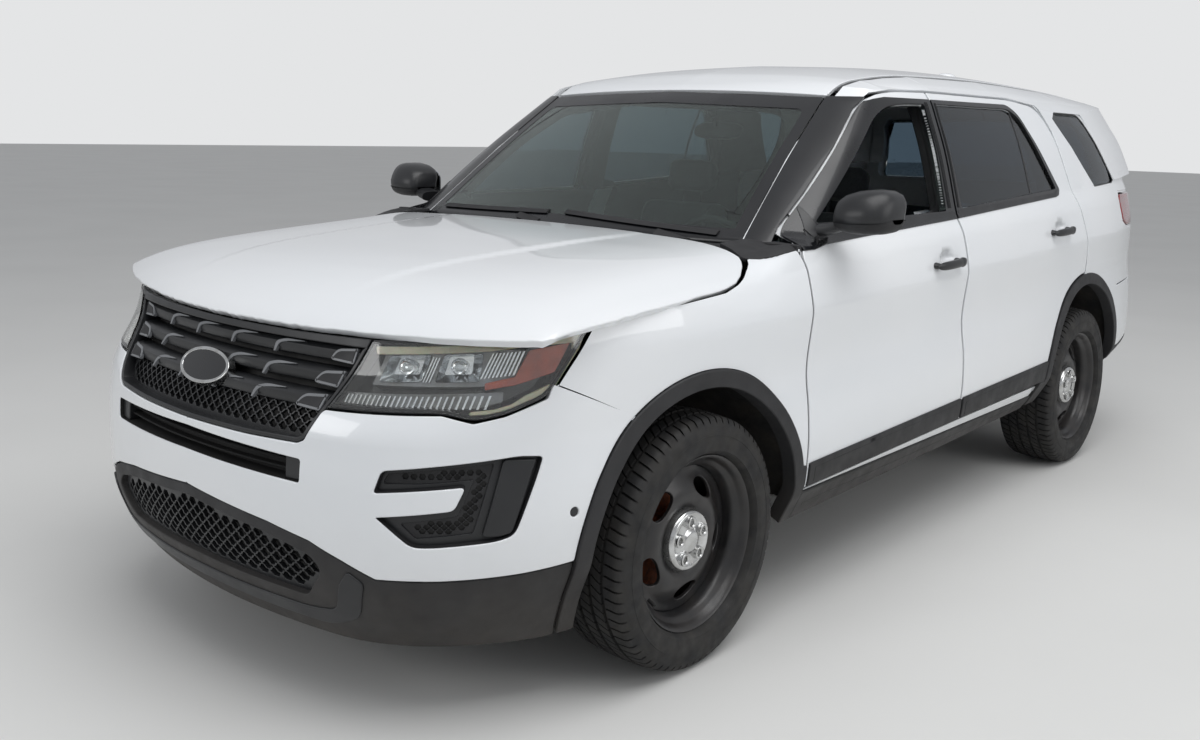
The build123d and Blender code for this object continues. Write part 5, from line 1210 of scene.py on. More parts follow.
def line_at(points, by="x"):
    """Outline points turned round the nose; a point may carry its own corner radius."""
    flat = round_places(body, [p[:2] for p in points], by)
    return [(u, z) + tuple(p[2:]) for (u, z), p in zip(flat, points)]


def both_halves(half):
    """An outline from the middle of the nose round its left half, and back along the right."""
    half = np.asarray(half, float)
    return np.vstack([half, (half[::-1] * [-1, 1])[1:-1]])


# Bumper cover
bumper_foot = line_at(((0, 528), (330, 500), (470, 478), (560, 446), (640, 409), (760, 412), (880, 420)))
bumper_arch = line_at([p[:2] for p in arch_arc(front_arch, arch_radius, 172.9, 123.9, 26)], "s")
bumper_seam = line_at(((-492, 859.4), (-508, 866)), "s")
lamp_foot = line_at(((884, 834), (842, 799), (800, 785), (745, 803), (486, 796)))
grille_side = line_at(((479, 788), (451, 721), (430, 711), (250, 705), (0, 703)))
bumper_half = rounded([(0, 528)] + bumper_foot[1:] + bumper_arch + bumper_seam + lamp_foot
                      + grille_side[:-1] + [(0, 703)], 5, 2)
bumper_half = bumper_half[(bumper_half[:, 0] > 0.5)]
bumper_half = np.vstack([[(0, 528)], bumper_half, [(0, 703)]])
slot_half = line_at(((443, 616), (445, 674)))
slot_loop = rounded(both_halves([(0, 622), slot_half[0], slot_half[1], (0, 684)]), 9)
fog_half = line_at(((640, 620, 10), (655, 674, 14), (767, 690, 40), (868, 706, 20), (893, 700, 26),
                    (893, 676, 20), (874, 518, 34), (852, 506, 30), (752, 494, 20), (716, 494, 20),
                    (645, 562, 6), (790, 584, 14), (806, 640, 14), (724, 630, 20)))
fog_loop = rounded(fog_half, 8)
sensor_place = np.array(round_places(body, [(-473, 554)], "s")[0])
sensor_loop = sensor_place + 12 * np.column_stack([np.cos(np.linspace(0, 2 * math.pi, 24, endpoint=False)),
                                                   np.sin(np.linspace(0, 2 * math.pi, 24, endpoint=False))])
mirror_u = np.array([-1, 1])
bumper_skin = panel(both_halves(bumper_half), round_nose(body),
                    [slot_loop, fog_loop, fog_loop * mirror_u, sensor_loop, sensor_loop * mirror_u],
                    edge=3.5, depth=14, hole_depth=9, spacing=24)
piece("front_bumper_skin", [bumper_skin], white_enamel, "body", "white_paint", ["front_bumper"])
sensor = panel(moved_in(sensor_loop, 1), round_nose(offset(body, -2)), edge=1.5, depth=6, spacing=20)
piece("parking_sensors", [sensor, sensor.mirrored()], satin_abs, "body", "black_trim")

# Fog lamp bezels: a moulded frame round a scaled insert, with a deep blade outboard
insert = np.array(line_at(((655, 640), (664, 664), (770, 678), (842, 688), (820, 524), (722, 511),
                           (692, 546), (796, 566), (818, 652), (724, 642))))[:, :2]
insert_loop = rounded(insert, 6)
fog_floor = panel(moved_in(fog_loop, 1.5), round_nose(offset(body, -20)), [insert_loop], edge=2, depth=2,
                  hole_depth=6, spacing=18)
fog_wall = wall(moved_in(fog_loop, 0.6), round_nose(offset(body, -3)), moved_in(fog_loop, 2.5),
                round_nose(offset(body, -24)))
blade = rounded(line_at(((852, 700), (890, 694), (888, 672), (872, 520), (856, 514), (832, 516))), 10)
fog_blade = panel(blade, round_nose(offset(body, -8)), edge=5, depth=22, spacing=16)
scales = honeycomb(insert_loop, 21, 15, 3.4, 2)
fog_scales = panel(moved_in(insert_loop, -2), round_nose(offset(body, -24)), scales, edge=0.8, depth=6,
                   hole_depth=4, spacing=26)
fog_back = panel(moved_in(insert_loop, -6), round_nose(offset(body, -28)), edge=0, depth=0, spacing=30)
fog_back.join(panel(moved_in(sensor_loop, -3), round_nose(offset(body, -9)), edge=0, depth=0, spacing=30))
pair("fog_bezel", [fog_floor, fog_blade], satin_abs, "body", "black_trim")
pair("fog_bezel_wall", [fog_wall], grained_polypropylene, "body", "black_trim", own_normals=False)
pair("fog_insert", [fog_scales], grained_polypropylene, "body", "black_trim")
pair("fog_insert_back", [fog_back], duct_plastic, "body", "black_trim")
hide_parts("fog_bezels")

# Lower slot: its walls, the duct behind with two vanes, and the blanks at both ends
slot_lift = round_nose(offset(body, -46))
slot_wall = wall(moved_in(slot_loop, 0.6), round_nose(offset(body, -3)), moved_in(slot_loop, 2), slot_lift)
slot_back = panel(moved_in(slot_loop, -4), slot_lift, edge=0, depth=0, spacing=30)
slot_end = rounded(line_at(((388, 617), (441, 618), (443, 672), (388, 674))), 6)
slot_ends = panel(slot_end, round_nose(offset(body, -12)), edge=3, depth=30, spacing=20)
vanes = []
for height in (638, 660):
    path, _ = round_nose(offset(body, -24))(np.column_stack([np.linspace(-400, 400, 40),
                                                             np.full(40, height)]))
    vanes.append(sweep(path, [(-20, -2), (0, -2.5), (3, 0), (0, 2.5), (-20, 2)]))
piece("slot_duct", [slot_wall, slot_back] + vanes, duct_plastic, "body", "black_trim", own_normals=False)
piece("slot_blanks", [slot_ends, slot_ends.mirrored()], satin_abs, "body", "black_trim")

# Grille: outer rim, top band, three bars with notches, and the honeycomb below
grille_half = rounded([(0, 705)] + line_at(((250, 707), (430, 713), (450, 724, 6), (544, 960, 10),
                                            (300, 956))) + [(0, 955)], 4, 3)
grille_half = grille_half[grille_half[:, 0] > 0.5]
grille_loop = both_halves(np.vstack([[(0, 705)], grille_half, [(0, 955)]]))
grille_inner = moved_in(dense(grille_loop, 14), 11)
grille_inner[:, 1] = np.minimum(grille_inner[:, 1], 938)
grille_rim = panel(grille_loop, round_nose(offset(body, -3)), [grille_inner], edge=3, depth=20,
                   hole_depth=44, spacing=16)
piece("grille_rim", [grille_rim], satin_abs, "body", "black_trim", ["grille"])
mesh_region = both_halves([(0, 708)] + line_at(((250, 710), (428, 716), (446, 730), (486, 806)))
                          + [(0, 806)])
cells = honeycomb(mesh_region, 36, 22, 6, 3)
grille_mesh = panel(mesh_region, round_nose(offset(body, -36)), cells, edge=1.6, depth=8, hole_depth=9,
                    spacing=40)
piece("grille_mesh", [grille_mesh], satin_abs, "body", "black_trim")
grille_back = panel(moved_in(dense(grille_loop, 24), 6), round_nose(offset(body, -60)), edge=0, depth=0,
                    spacing=40)
piece("grille_duct", [grille_back], duct_plastic, "body", "black_trim")


def grille_reach(height):
    """How far round the nose the grille opens at a height."""
    return float(np.interp(height, (724, 960), (grille_edge_low, grille_edge_high)))


grille_edge_low, grille_edge_high = line_at(((438, 724), (532, 960)))[0][0], line_at(((438, 724),
                                                                                      (532, 960)))[1][0]
bar_section = [(-44, -17), (-8, -20), (-1, -15), (3, -3), (1, 9), (-8, 16), (-24, 19), (-44, 19)]
bars, notch_highlights, blanks = [], [], []
# The notch ridges and the bar-end pieces are drawn light grey: a painted highlight along the bars, with the
# blanks keeping the ends' middles black
notch_rows = ((914, (-309, -135, 52, 241)), (860, (-308, -90, 70, 229)), (806, (-287, -120, 56, 227)))
for height, notch_starts in notch_rows:
    reach = grille_reach(height)
    path, _ = round_nose(offset(body, -17))(np.column_stack([np.linspace(-reach, reach, 60),
                                                             np.full(60, height)]))
    bars.append(sweep(path, bar_section))
    for start in notch_starts:
        if height == 860 and start == -90:
            continue
        hook = rounded([(start, height - 17), (start + 7, height - 17), (start + 14, height + 4, 14),
                        (start + 40, height + 11, 20), (start + 112, height + 17.5),
                        (start + 112, height + 19), (start + 40, height + 19, 20),
                        (start + 2, height + 9, 16)], 6, 4)
        notch_highlights.append(panel(hook, round_nose(offset(body, -10.5)), edge=1, depth=8, spacing=24))
    for side in (-1, 1):
        inner = reach - 104
        tip = rounded([(inner, height - 14, 24), (inner + 22, height + 14, 30), (reach - 6, height + 20, 4),
                       (reach - 16, height - 18, 4)], 8, 5) * [side, 1]
        notch_highlights.append(panel(tip, round_nose(offset(body, -10)), edge=1.4, depth=8, spacing=30))
        blanks.append(panel(moved_in(dense(tip, 12), 6), round_nose(offset(body, -8.6)), edge=1.2, depth=3,
                            spacing=30))
piece("grille_bars", bars, satin_abs, "body", "black_trim", own_normals=False)
# Light grey notch ridges and bar ends: painted highlights on the bars
piece("grille_notch_highlights", notch_highlights, plate_grey_and_notch_highlight, "body", "black_trim")
piece("grille_blanks", blanks, grained_polypropylene, "body", "black_trim")

# A plain oval boss in the middle of the bars
turns = np.linspace(0, 2 * math.pi, 56, endpoint=False)
oval = np.column_stack([112 * np.cos(turns), 836 + 43 * np.sin(turns)])
boss_lift = from_front(offset(body, 6))
boss = panel(oval * [0.93, 1], boss_lift, edge=2, depth=20, spacing=24)
boss_rim = panel(oval, from_front(offset(body, 8)),
                 [np.column_stack([100 * np.cos(turns), 836 + 34 * np.sin(turns)])], edge=2.5, depth=22,
                 hole_depth=3, spacing=14)
piece("grille_oval", [boss], black_enamel, "body", "black_trim")
piece("grille_oval_rim", [boss_rim], chromed_steel, "body", "black_trim")

# Lower valance: grained cover, honeycomb intake and satin lip
valance_arch = line_at([p[:2] for p in arch_arc(front_arch, arch_radius, 201.5, 173.2, 16)], "s")
valance_half = np.vstack([[(0, 200)], line_at(((500, 200), (760, 206))), [p[:2] for p in valance_arch],
                          [(u, z - 3) for u, z in [p[:2] for p in bumper_foot[:0:-1]]], [(0, 525)]])
intake_half = rounded([(0, 330)] + line_at(((430, 322, 20), (500, 404, 20), (466, 438, 20),
                                            (330, 466, 60))) + [(0, 494)], 2, 4)
intake_half = intake_half[intake_half[:, 0] > 0.5]
intake_loop = both_halves(np.vstack([[(0, 330)], intake_half, [(0, 494)]]))
valance_skin = panel(both_halves(valance_half), round_nose(offset(body, -4)), [intake_loop], edge=4,
                     depth=16, hole_depth=30, spacing=26)
piece("valance_skin", [valance_skin], grained_polypropylene, "body", "black_trim", ["front_valance"])
intake_cells = honeycomb(intake_loop, 44, 27, 7, 4)
intake_mesh = panel(moved_in(dense(intake_loop, 30), -4), round_nose(offset(body, -22)), intake_cells,
                    edge=1.8, depth=6, hole_depth=10, spacing=40)
piece("intake_mesh", [intake_mesh], satin_abs, "body", "black_trim")
intake_back = panel(moved_in(dense(intake_loop, 30), -4), round_nose(offset(body, -36)), edge=0, depth=0,
                    spacing=60)
piece("intake_duct", [intake_back], duct_plastic, "body", "black_trim")
lip_outer = rounded([(0, 252)] + line_at(((470, 246, 40), (572, 288, 30), (612, 392, 16), (574, 420, 12),
                                          (548, 384, 16), (516, 304, 26), (430, 290, 40))) + [(0, 296)], 2,
                    5)
lip_outer = lip_outer[lip_outer[:, 0] > 0.5]
skid_lip = panel(both_halves(np.vstack([[(0, 252)], lip_outer, [(0, 296)]])), round_nose(offset(body, 1)),
                 edge=4, depth=10, spacing=22)
piece("skid_lip", [skid_lip], satin_abs, "body", "black_trim")

# Headlamps: clear cover over a black bowl with its light guide, reflectors and amber corner
lamp_outline = (line_at(((487, 799, 5), (745, 806, 60), (800, 789, 30), (842, 802, 30), (882, 836, 30)))
                + line_at(((-496, 868), (-402, 990, 6)), "s")
                + line_at(((-420, 991), (-500, 984), (-600, 976)), "s")
                + line_at(((700, 968), (620, 963), (548, 959, 6))))
lamp_loop = rounded(lamp_outline, 6, 4)
cover = panel(moved_in(lamp_loop, 1.5), round_nose(offset(body, 1)), edge=3, depth=5, spacing=24, back=True)
pair("headlamp_cover", [cover], clear_polycarbonate, "body", "lamp_clear")
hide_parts("headlamps")
floor_lift = round_nose(offset(body, -62))
lamp_rim = panel(moved_in(lamp_loop, 0.5), round_nose(offset(body, -5)),
                 [moved_in(dense(lamp_loop, 14), 9)], edge=1, depth=14, hole_depth=8, spacing=12)
lamp_wall = wall(moved_in(dense(lamp_loop, 20), 8), round_nose(offset(body, -12)),
                 moved_in(dense(lamp_loop, 20), 14), floor_lift)
lamp_floor = panel(moved_in(dense(lamp_loop, 20), 12), floor_lift, edge=0, depth=0, spacing=40)
pair("headlamp_bezel", [lamp_rim], satin_abs, "body", "lamp_clear")
pair("headlamp_bowl", [lamp_wall, lamp_floor], black_enamel, "body", "lamp_clear", own_normals=False)


def lamp_line(points, by="x"):
    return np.array([p[:2] for p in line_at(points, by)])


guide_loop = np.vstack([lamp_line(((556, 944), (690, 953), (790, 962), (850, 971))),
                        lamp_line(((-408, 977), (-436, 926), (-472, 866)), "s"),
                        lamp_line(((867, 828), (852, 812), (824, 802), (788, 800), (790, 809), (824, 813),
                                   (846, 824), (859, 842))),
                        lamp_line(((-490, 872), (-462, 916), (-442, 958)), "s"),
                        lamp_line(((846, 954), (790, 944), (690, 935), (562, 925)))])
guide = panel(rounded(guide_loop, 5, 3), round_nose(offset(body, -13)), edge=2.5, depth=8, spacing=16)
pair("headlamp_guide", [guide], frosted_acrylic, "body", "lamp_clear")


def dish(loop, front, back, inset):
    """A reflector: walls running in from an outline to a smaller floor."""
    loop = dense(np.asarray(loop, float), 14)
    middle = loop.mean(axis=0)
    small = middle + (loop - middle) * (1 - inset)
    steps = [(loop, front), (middle + (loop - middle) * (1 - inset * 0.4), front - (front - back) * 0.62),
             (small, back)]
    rings = [round_nose(offset(body, depth))(ring)[0] for ring, depth in steps]
    shell = skin_between(rings[::-1], caps=(True, False))
    return shell


reflectors = [
    dish(rounded(lamp_line(((592, 922), (686, 930), (680, 868), (582, 862))), 10), -26, -60, 0.34),
    dish(rounded(lamp_line(((712, 932), (782, 936), (788, 872), (706, 868))), 10), -26, -60, 0.34),
]
frames = [panel(rounded(lamp_line(((580, 932), (838, 946), (846, 862), (566, 852))), 8),
                round_nose(offset(body, -30)),
                [rounded(lamp_line(((592, 922), (686, 930), (680, 868), (582, 862))), 10),
                 rounded(lamp_line(((712, 932), (782, 936), (788, 872), (706, 868))), 10)], edge=1.5,
                depth=24, hole_depth=3, spacing=20),
          panel(rounded(lamp_line(((512, 834), (830, 850), (834, 826), (800, 812), (500, 806))), 5),
                round_nose(offset(body, -24)), edge=2, depth=30, spacing=16)]
slats = []
for k in range(3):
    a, b = 690 + 6 * k, 682 + 6 * k
    slats.append(panel(lamp_line(((a, 926), (a + 3, 926), (b + 3, 868), (b, 868))),
                       round_nose(offset(body, -22)), edge=0.6, depth=8, spacing=30))
for k in range(9):
    a, b = 796 + 5.6 * k, 786 + 6.0 * k
    slats.append(panel(lamp_line(((a, 937 + 0.6 * k), (a + 3.2, 938 + 0.6 * k), (b + 3.2, 878 + k),
                                  (b, 877 + k))), round_nose(offset(body, -24)), edge=0.8, depth=7,
                       spacing=30))
for k in range(26):
    a = 520 + 11.6 * k
    slats.append(panel(lamp_line(((a, 811), (a + 4, 811), (a + 4, 831 + 0.04 * (a - 520)),
                                  (a, 831 + 0.04 * (a - 520)))), round_nose(offset(body, -20)), edge=0.8,
                       depth=5, spacing=30))
pair("headlamp_reflectors", reflectors, bright_reflector, "body", "lamp_clear", own_normals=False)
pair("headlamp_frames", frames, cast_aluminium, "body", "lamp_clear")
pair("headlamp_slats", slats, bright_reflector, "body", "lamp_clear")
bulbs = []
for x, z in ((634, 896), (746, 902)):
    centre = round_nose(offset(body, -44))(np.array([p[:2] for p in line_at(((x, z),))]))[0][0]
    rings = []
    for polar in np.linspace(0.05, math.pi - 0.05, 9):
        around = np.linspace(0, 2 * math.pi, 18, endpoint=False)
        rings.append(centre + 21 * np.column_stack([np.sin(polar) * np.cos(around),
                                                    np.full(18, -math.cos(polar)),
                                                    np.sin(polar) * np.sin(around)]))
    bulbs.append(skin_between(rings, caps=(True, True)))
pair("headlamp_projectors", bulbs, clear_polycarbonate, "body", "lamp_clear", own_normals=False)
amber_loop = np.vstack([lamp_line(((848, 944),)), lamp_line(((-446, 958), (-492, 890)), "s"),
                        lamp_line(((842, 864), (800, 854), (796, 870), (838, 884)))])
amber = panel(rounded(amber_loop, 4, 3), round_nose(offset(body, -20)), edge=2, depth=12, spacing=14)
pair("headlamp_amber", [amber], amber_acrylic, "body", "lamp_clear")


# Mouldings, trims, mirrors, handles, lamps and the tail

def arch_cover(loop, arch):
    """An arch moulding: a proud band whose inner edge turns in under the arch."""
    def depth(at):
        away = np.hypot(at[:, 1] - arch[0], at[:, 2] - arch[1])
        return np.where(away < arch_radius - 24, 40.0, 10.0)
    return panel(loop, from_side(offset(body, 8)), depth=depth, edge=5, spacing=20)


front_band = np.vstack([
    [p[:2] for p in arch_arc(front_arch, arch_radius - 0.5, 14.6, 200.5, 64)],
    [p[:2] for p in arch_arc(front_arch, arch_opening, 203.0, -8.8, 60)],
    [(474, 306), (474, 487)]])
rear_band = np.vstack([
    [p[:2] for p in arch_arc(rear_arch, arch_radius - 0.5, 7.4, 174.4, 64)],
    [(2330, 458), (2330, 346), (2437, 346)],
    [p[:2] for p in arch_arc(rear_arch, arch_opening, 189.0, 2.0, 60)],
    [(3300, 424), (3316, 440)]])
mouldings = [arch_cover(front_band, front_arch), arch_cover(rear_band, rear_arch)]
rocker = panel(rounded([(480, 302), (2320, 332), (2326, 398), (1545, 396), (480, 396)], 8),
               from_side(offset(body, 4)), edge=6, depth=18, spacing=40)
groove = panel(rounded([(520, 340), (2300, 362), (2300, 372), (520, 352)], 4), from_side(offset(body, 5.2)),
               edge=2, depth=3, spacing=40)
pair("arch_moulding", mouldings, grained_polypropylene, "body", "black_trim")
pair("rocker_cover", [rocker, groove], grained_polypropylene, "body", "black_trim")
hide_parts("lower_mouldings")

# Door cladding with its raised step
for place, outline, step in (("front", ((491, 414), (491, 489), (1537, 520), (1537, 440)),
                              ((520, 424), (520, 474), (1512, 504), (1512, 450))),
                             ("rear", ((1553, 440), (1553, 520), (2390, 544), (2380, 500), (2374, 457),
                                       (2300, 457)), ((1578, 450), (1578, 504), (2350, 528), (2344, 468),
                                                      (2300, 468)))):
    cladding = panel(rounded(outline, 6), from_side(offset(body, 7)), edge=4, depth=9, spacing=40)
    raised = panel(rounded(step, 8), from_side(offset(body, 8)), edge=2, depth=4, spacing=40)
    pair(place + "_cladding", [cladding, raised], grained_polypropylene, place + "_door_{side}",
         "black_trim", ["trim_" + place + "_{side}"])

# Black window surrounds, sail panel and belt strips
door_rim = moved_in(dense(front_door_loop, 20), -0.6)
frame_cut = np.interp(door_rim[:, 0], (480, 560, 640, 900, 1540), (1116, 1124, 1136, 1148, 1176))
frame_run = door_rim[(door_rim[:, 1] > frame_cut) & (door_rim[:, 0] < 1130)]
frame_run = frame_run[np.argsort(frame_run[:, 0])]
front_frame = np.vstack([frame_run, up_rail(np.array([(1180, 1592), (1240, 1600), (1538.6, 1602)], float)),
                         [(1538.6, 1176), (900, 1148), (640, 1136), (560, 1124)]])
rear_frame = up_rail(rounded([(1551.4, 1177, 2), (1551.4, 1602, 2), (2246, 1606, 30), (2324, 1572, 40),
                              (2556, 1262, 26), (2540, 1236, 16), (2500, 1229, 10)], 6))
for place, frame_loop, window in (("front", front_frame, front_window_loop),
                                  ("rear", rear_frame, rear_window_loop)):
    surround = panel(dense(frame_loop, 24), lifted_off(round_flank(cupped(flank)), 3.2), [window], edge=1.4,
                     depth=17, hole_depth=24, spacing=16)
    pair(place + "_window_surround", [surround], black_enamel, place + "_door_{side}", "black_trim")
strip_front = panel(rounded([(790, 1164, 6), (1533, 1178, 2), (1533, 1206, 2), (790, 1196, 6)], 4),
                    round_flank(offset(flank, 4)), edge=3, depth=5, spacing=30)
strip_rear = panel(rounded([(1557, 1180, 2), (2500, 1230, 10), (2536, 1262, 16), (2516, 1262, 6),
                            (2496, 1250), (1557, 1209, 2)], 4), round_flank(offset(flank, 4)), edge=3,
                   depth=5, spacing=30)
pair("front_belt_strip", [strip_front], satin_abs, "front_door_{side}", "black_trim")
pair("rear_belt_strip", [strip_rear], satin_abs, "rear_door_{side}", "black_trim")
ribs = []
for s in (1488, 1496, 1504, 1566, 1573):
    rib = panel(up_rail([(s, 1216), (s + 3.2, 1216), (s + 3.2, 1592), (s, 1592)]),
                round_flank(offset(cupped(flank), 6.4)), edge=1.2, depth=3, spacing=30)
    ribs.append((s, rib))
pair("front_frame_ribs", [rib for s, rib in ribs if s < 1540], satin_abs, "front_door_{side}", "black_trim")
pair("rear_frame_ribs", [rib for s, rib in ribs if s > 1540], satin_abs, "rear_door_{side}", "black_trim")
sail = panel(rounded([(588, 1150, 10), (640, 1150, 10), (700, 1168, 6), (700, 1182, 4), (652, 1190, 6),
                      (646, 1252, 6), (634, 1244, 6)], 6), round_flank(offset(cupped(flank), 7)), edge=3,
             depth=6, spacing=16)
pair("mirror_sail", [sail], satin_abs, "front_door_{side}", "black_trim")
divider = panel(up_rail([(2256, 1587), (2270, 1587), (2268, 1432), (2274, 1252), (2258, 1251),
                         (2254, 1432)]), round_flank(offset(cabin, -5.5)), edge=1, depth=3, spacing=30)
pair("rear_door_divider", [divider], satin_abs, "rear_door_{side}", "black_trim")
quarter_gasket = panel(quarter_loop, round_flank(offset(cabin, -4)), [moved_in(dense(quarter_loop, 24), 9)],
                       edge=1, depth=3, hole_depth=2, spacing=20)
pair("quarter_gasket", [quarter_gasket], black_enamel, "body", "black_trim")

# Door handles: a flattened grip on two feet, with a key cover at its rear end
handle_places = (("front", 1372, 1030), ("rear", 2452, 1090))
turns = np.linspace(0, 2 * math.pi, 20, endpoint=False)


def bent_round(value, power):
    return np.sign(value) * np.abs(value) ** power


for place, middle, height in handle_places:
    tilt = 0.035
    stations = np.linspace(-1, 1, 27)
    rings = []
    for t in stations:
        swell = (1 - abs(t) ** 5) ** 0.5 if abs(t) < 1 else 0.0
        key = 1.0 + 0.22 * eased(0.52, 0.62, t)
        tall, deep = 14.5 * swell * key + 0.6, 10.0 * swell * key + 0.5
        s, z = middle + 106 * t, height + tilt * 106 * t
        skin = float(from_side(body)(np.array([[s, z]]))[0][0, 0])
        out = skin + 30 - 9 * abs(t) ** 2.4
        rings.append(np.column_stack([out + deep * bent_round(np.cos(turns), 0.8), np.full(20, s),
                                      z + tall * bent_round(np.sin(turns), 0.8)]))
    grip = skin_between(rings, caps=(True, True))
    feet = []
    for reach in (-84, 80):
        s, z = middle + reach, height + tilt * reach
        skin = float(from_side(body)(np.array([[s, z]]))[0][0, 0])
        around = np.linspace(0, 2 * math.pi, 16, endpoint=False)
        foot = [np.column_stack([np.full(16, skin + out), s + wide * np.cos(around),
                                 z + 0.62 * wide * np.sin(around)]) for out,
                wide in ((-4, 20), (4, 18.5), (12, 16), (26, 14))]
        feet.append(skin_between(foot[::-1]))
    pair(place + "_door_handle", [grip] + feet, satin_abs, place + "_door_{side}", "black_trim",
         own_normals=False)


# Mirrors: a domed shell over a dark lower half, a rounded arm and a flat glass facing back
def mirror_ring(out, middle, height, length, rise, share=1.0):
    """One slice across the mirror: flat underneath, high and round on top, fuller in front."""
    around = np.linspace(0, 2 * math.pi, 40, endpoint=False)
    across, up = bent_round(np.cos(around), 0.62), bent_round(np.sin(around), 0.72)
    top = np.where(up > 0, 1.0, 0.86)
    lean = 0.16 * rise * np.where(up > 0, up, 0)
    return np.column_stack([np.full(40, out), middle + share * length / 2 * across + lean,
                            height + share * rise / 2 * up * top])


mirror_stations = ((968, 648, 1229, 96, 74), (976, 648, 1230, 124, 98), (994, 648, 1232, 146, 120),
                   (1030, 650, 1235, 162, 138), (1074, 653, 1238, 166, 144), (1108, 658, 1239, 158, 138),
                   (1128, 664, 1238, 140, 122), (1139, 669, 1237, 112, 98), (1144, 673, 1236, 72, 62))
rings = [mirror_ring(*row) for row in mirror_stations]
housing = skin_between(rings[::-1], caps=(True, True))
lower = []
for ring, row in zip(rings, mirror_stations):
    middle = np.array([row[0], row[1], row[2]])
    grown_ring = middle + (ring - middle) * np.array([1, 1 + 2.4 / row[3], 1 + 2.4 / row[4]])
    grown_ring[:, 2] = np.minimum(grown_ring[:, 2], row[2] - 0.2 * row[4])
    lower.append(grown_ring)
lower_shell = skin_between(lower[::-1], caps=(True, True))
glass_ring = [(p[0], p[1]) for p in rounded([(982, 1182, 20), (982, 1272, 34), (1060, 1292, 40),
                                             (1118, 1286, 36), (1132, 1236, 30), (1118, 1188, 26)], 20, 5)]
glass = panel(glass_ring, lambda p: (np.column_stack([p[:, 0], 736.5 + 0.10 * (1060 - p[:, 0]) * 0.3,
                                                      p[:, 1]]), np.tile([0.0, 1.0, 0.0], (len(p), 1))),
              edge=1, depth=6, spacing=40)
arm_path = spline([(915, 640, 1180), (945, 642, 1186), (975, 646, 1196), (1000, 648, 1206)], 12)
arm = sweep(arm_path, np.column_stack([46 * bent_round(np.cos(turns), 0.7),
                                       17 * bent_round(np.sin(turns), 0.7)]), (0, 0, 1), True,
            np.linspace(1.15, 0.85, 12))
pair("mirror_shell", [housing, arm], satin_abs, "front_door_{side}", "black_trim", own_normals=False)
pair("mirror_lower", [lower_shell], grained_polypropylene, "front_door_{side}", "black_trim",
     own_normals=False)
pair("mirror_glass", [glass], bright_reflector, "front_door_{side}", "black_trim")

# Tail lamps: red cover with a clear turn and reverse section
tail_half = [(3306, 1190, 8), (3336, 1104, 10), (3424, 1074, 20), (past_tail(654), 1074, 6),
             (past_tail(708), 1222, 10), (3334, 1222, 14)]
tail_loop = rounded(tail_half, 8)
lamp_cover = panel(tail_loop, round_flank(offset(flank, 2)), edge=4, depth=18, spacing=22)
pair("tail_lamp_cover", [lamp_cover], red_acrylic, "body", "lamp_red")
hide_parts("tail_lamps")
clear_half = [(past_tail(806), 1126, 6), (past_tail(686), 1126, 6), (past_tail(700), 1172, 6),
              (past_tail(814), 1172, 6)]
clear_section = panel(rounded(clear_half, 6), round_flank(offset(flank, 4)), edge=2, depth=5, spacing=20)
pair("tail_lamp_clear", [clear_section], clear_acrylic, "body", "lamp_red")


# Rear bumper and its valance, round the whole tail
def tail_loop_of(half):
    """A half outline from the middle of the tail out along the left side, and its twin on the right."""
    half = np.asarray([p[:2] for p in half], float)
    twin = np.column_stack([2 * tail_start - half[:, 0], half[:, 1]])
    return np.vstack([half, twin[::-1][1:-1]])


rear_bumper_edge = ([(tail_start, 664), (past_tail(516), 664), (past_tail(549), 760, 4),
                     (past_tail(576), 818, 6), (3762, 818), (3700, 800), (3304, 789)]
                    + [p[:2] for p in arch_arc(rear_arch, arch_radius, 51.6, 8.6, 24)]
                    + [(3424, 484), (3700, 522), (tail_start, 522)])
rear_cover = panel(tail_loop_of(rear_bumper_edge),
                   round_flank(body), edge=3.5, depth=14, spacing=30)
piece("rear_bumper_skin", [rear_cover], white_enamel, "body", "white_paint", ["rear_bumper"])
rear_valance_edge = ([(tail_start, 517), (3702, 517), (3424, 478)]
                     + [p[:2] for p in arch_arc(rear_arch, arch_radius, 7.6, -11, 12)]
                     + [(3420, 318), (3700, 330), (tail_start, 340)])
rear_apron = panel(tail_loop_of(rear_valance_edge), round_flank(offset(body, 1)), edge=4, depth=18,
                   spacing=36)
piece("rear_valance_skin", [rear_apron], grained_polypropylene, "body", "black_trim", ["rear_valance"])
plate_bed = panel(rounded(whole([(0, 884), (186, 884), (196, 1010), (0, 1014)]), 16),
                  from_behind(offset(body, 1.5)), edge=4, depth=6, spacing=40)
plate = panel(rounded([(-152, 896), (152, 896), (152, 996), (-152, 996)], 12), from_behind(offset(body, 4)),
              edge=1, depth=3, spacing=60)
piece("plate_bed", [plate_bed], grained_polypropylene, "liftgate", "black_trim")
piece("blank_plate", [plate], plate_grey_and_notch_highlight, "liftgate", "white_paint")
gate_handle = panel(rounded(whole([(0, 1030), (210, 1030), (224, 1058), (0, 1060)]), 10),
                    from_behind(offset(body, 7)), edge=5, depth=12, spacing=30)
piece("liftgate_handle", [gate_handle], satin_abs, "liftgate", "black_trim")

# Roof antenna: a low white dome
dome_foot = np.array([380.0, 2540.0])
rings = []
for polar in np.linspace(0.02, 1.0, 9) * math.pi / 2:
    around = np.linspace(0, 2 * math.pi, 32, endpoint=False)
    x = dome_foot[0] + 40 * math.sin(polar) * np.cos(around)
    s = dome_foot[1] + 40 * math.sin(polar) * np.sin(around)
    rings.append(np.column_stack([x, s, roof_top(x, s) + 0.5 + 17 * math.cos(polar)]))
piece("roof_antenna", [skin_between(rings[::-1], caps=(False, True))], white_enamel, "body", "white_paint",
      own_normals=False)


# Wheels and tyres

hub = (0.0, 357.0)
wheel_middle = 851.0
disc_profile = ((891, 28), (891, 72), (896, 84), (909, 104), (912, 124), (909, 142), (896, 168), (887, 184),
                (885, 206))
oval_turns = np.radians(np.arange(5) * 72 - 13)


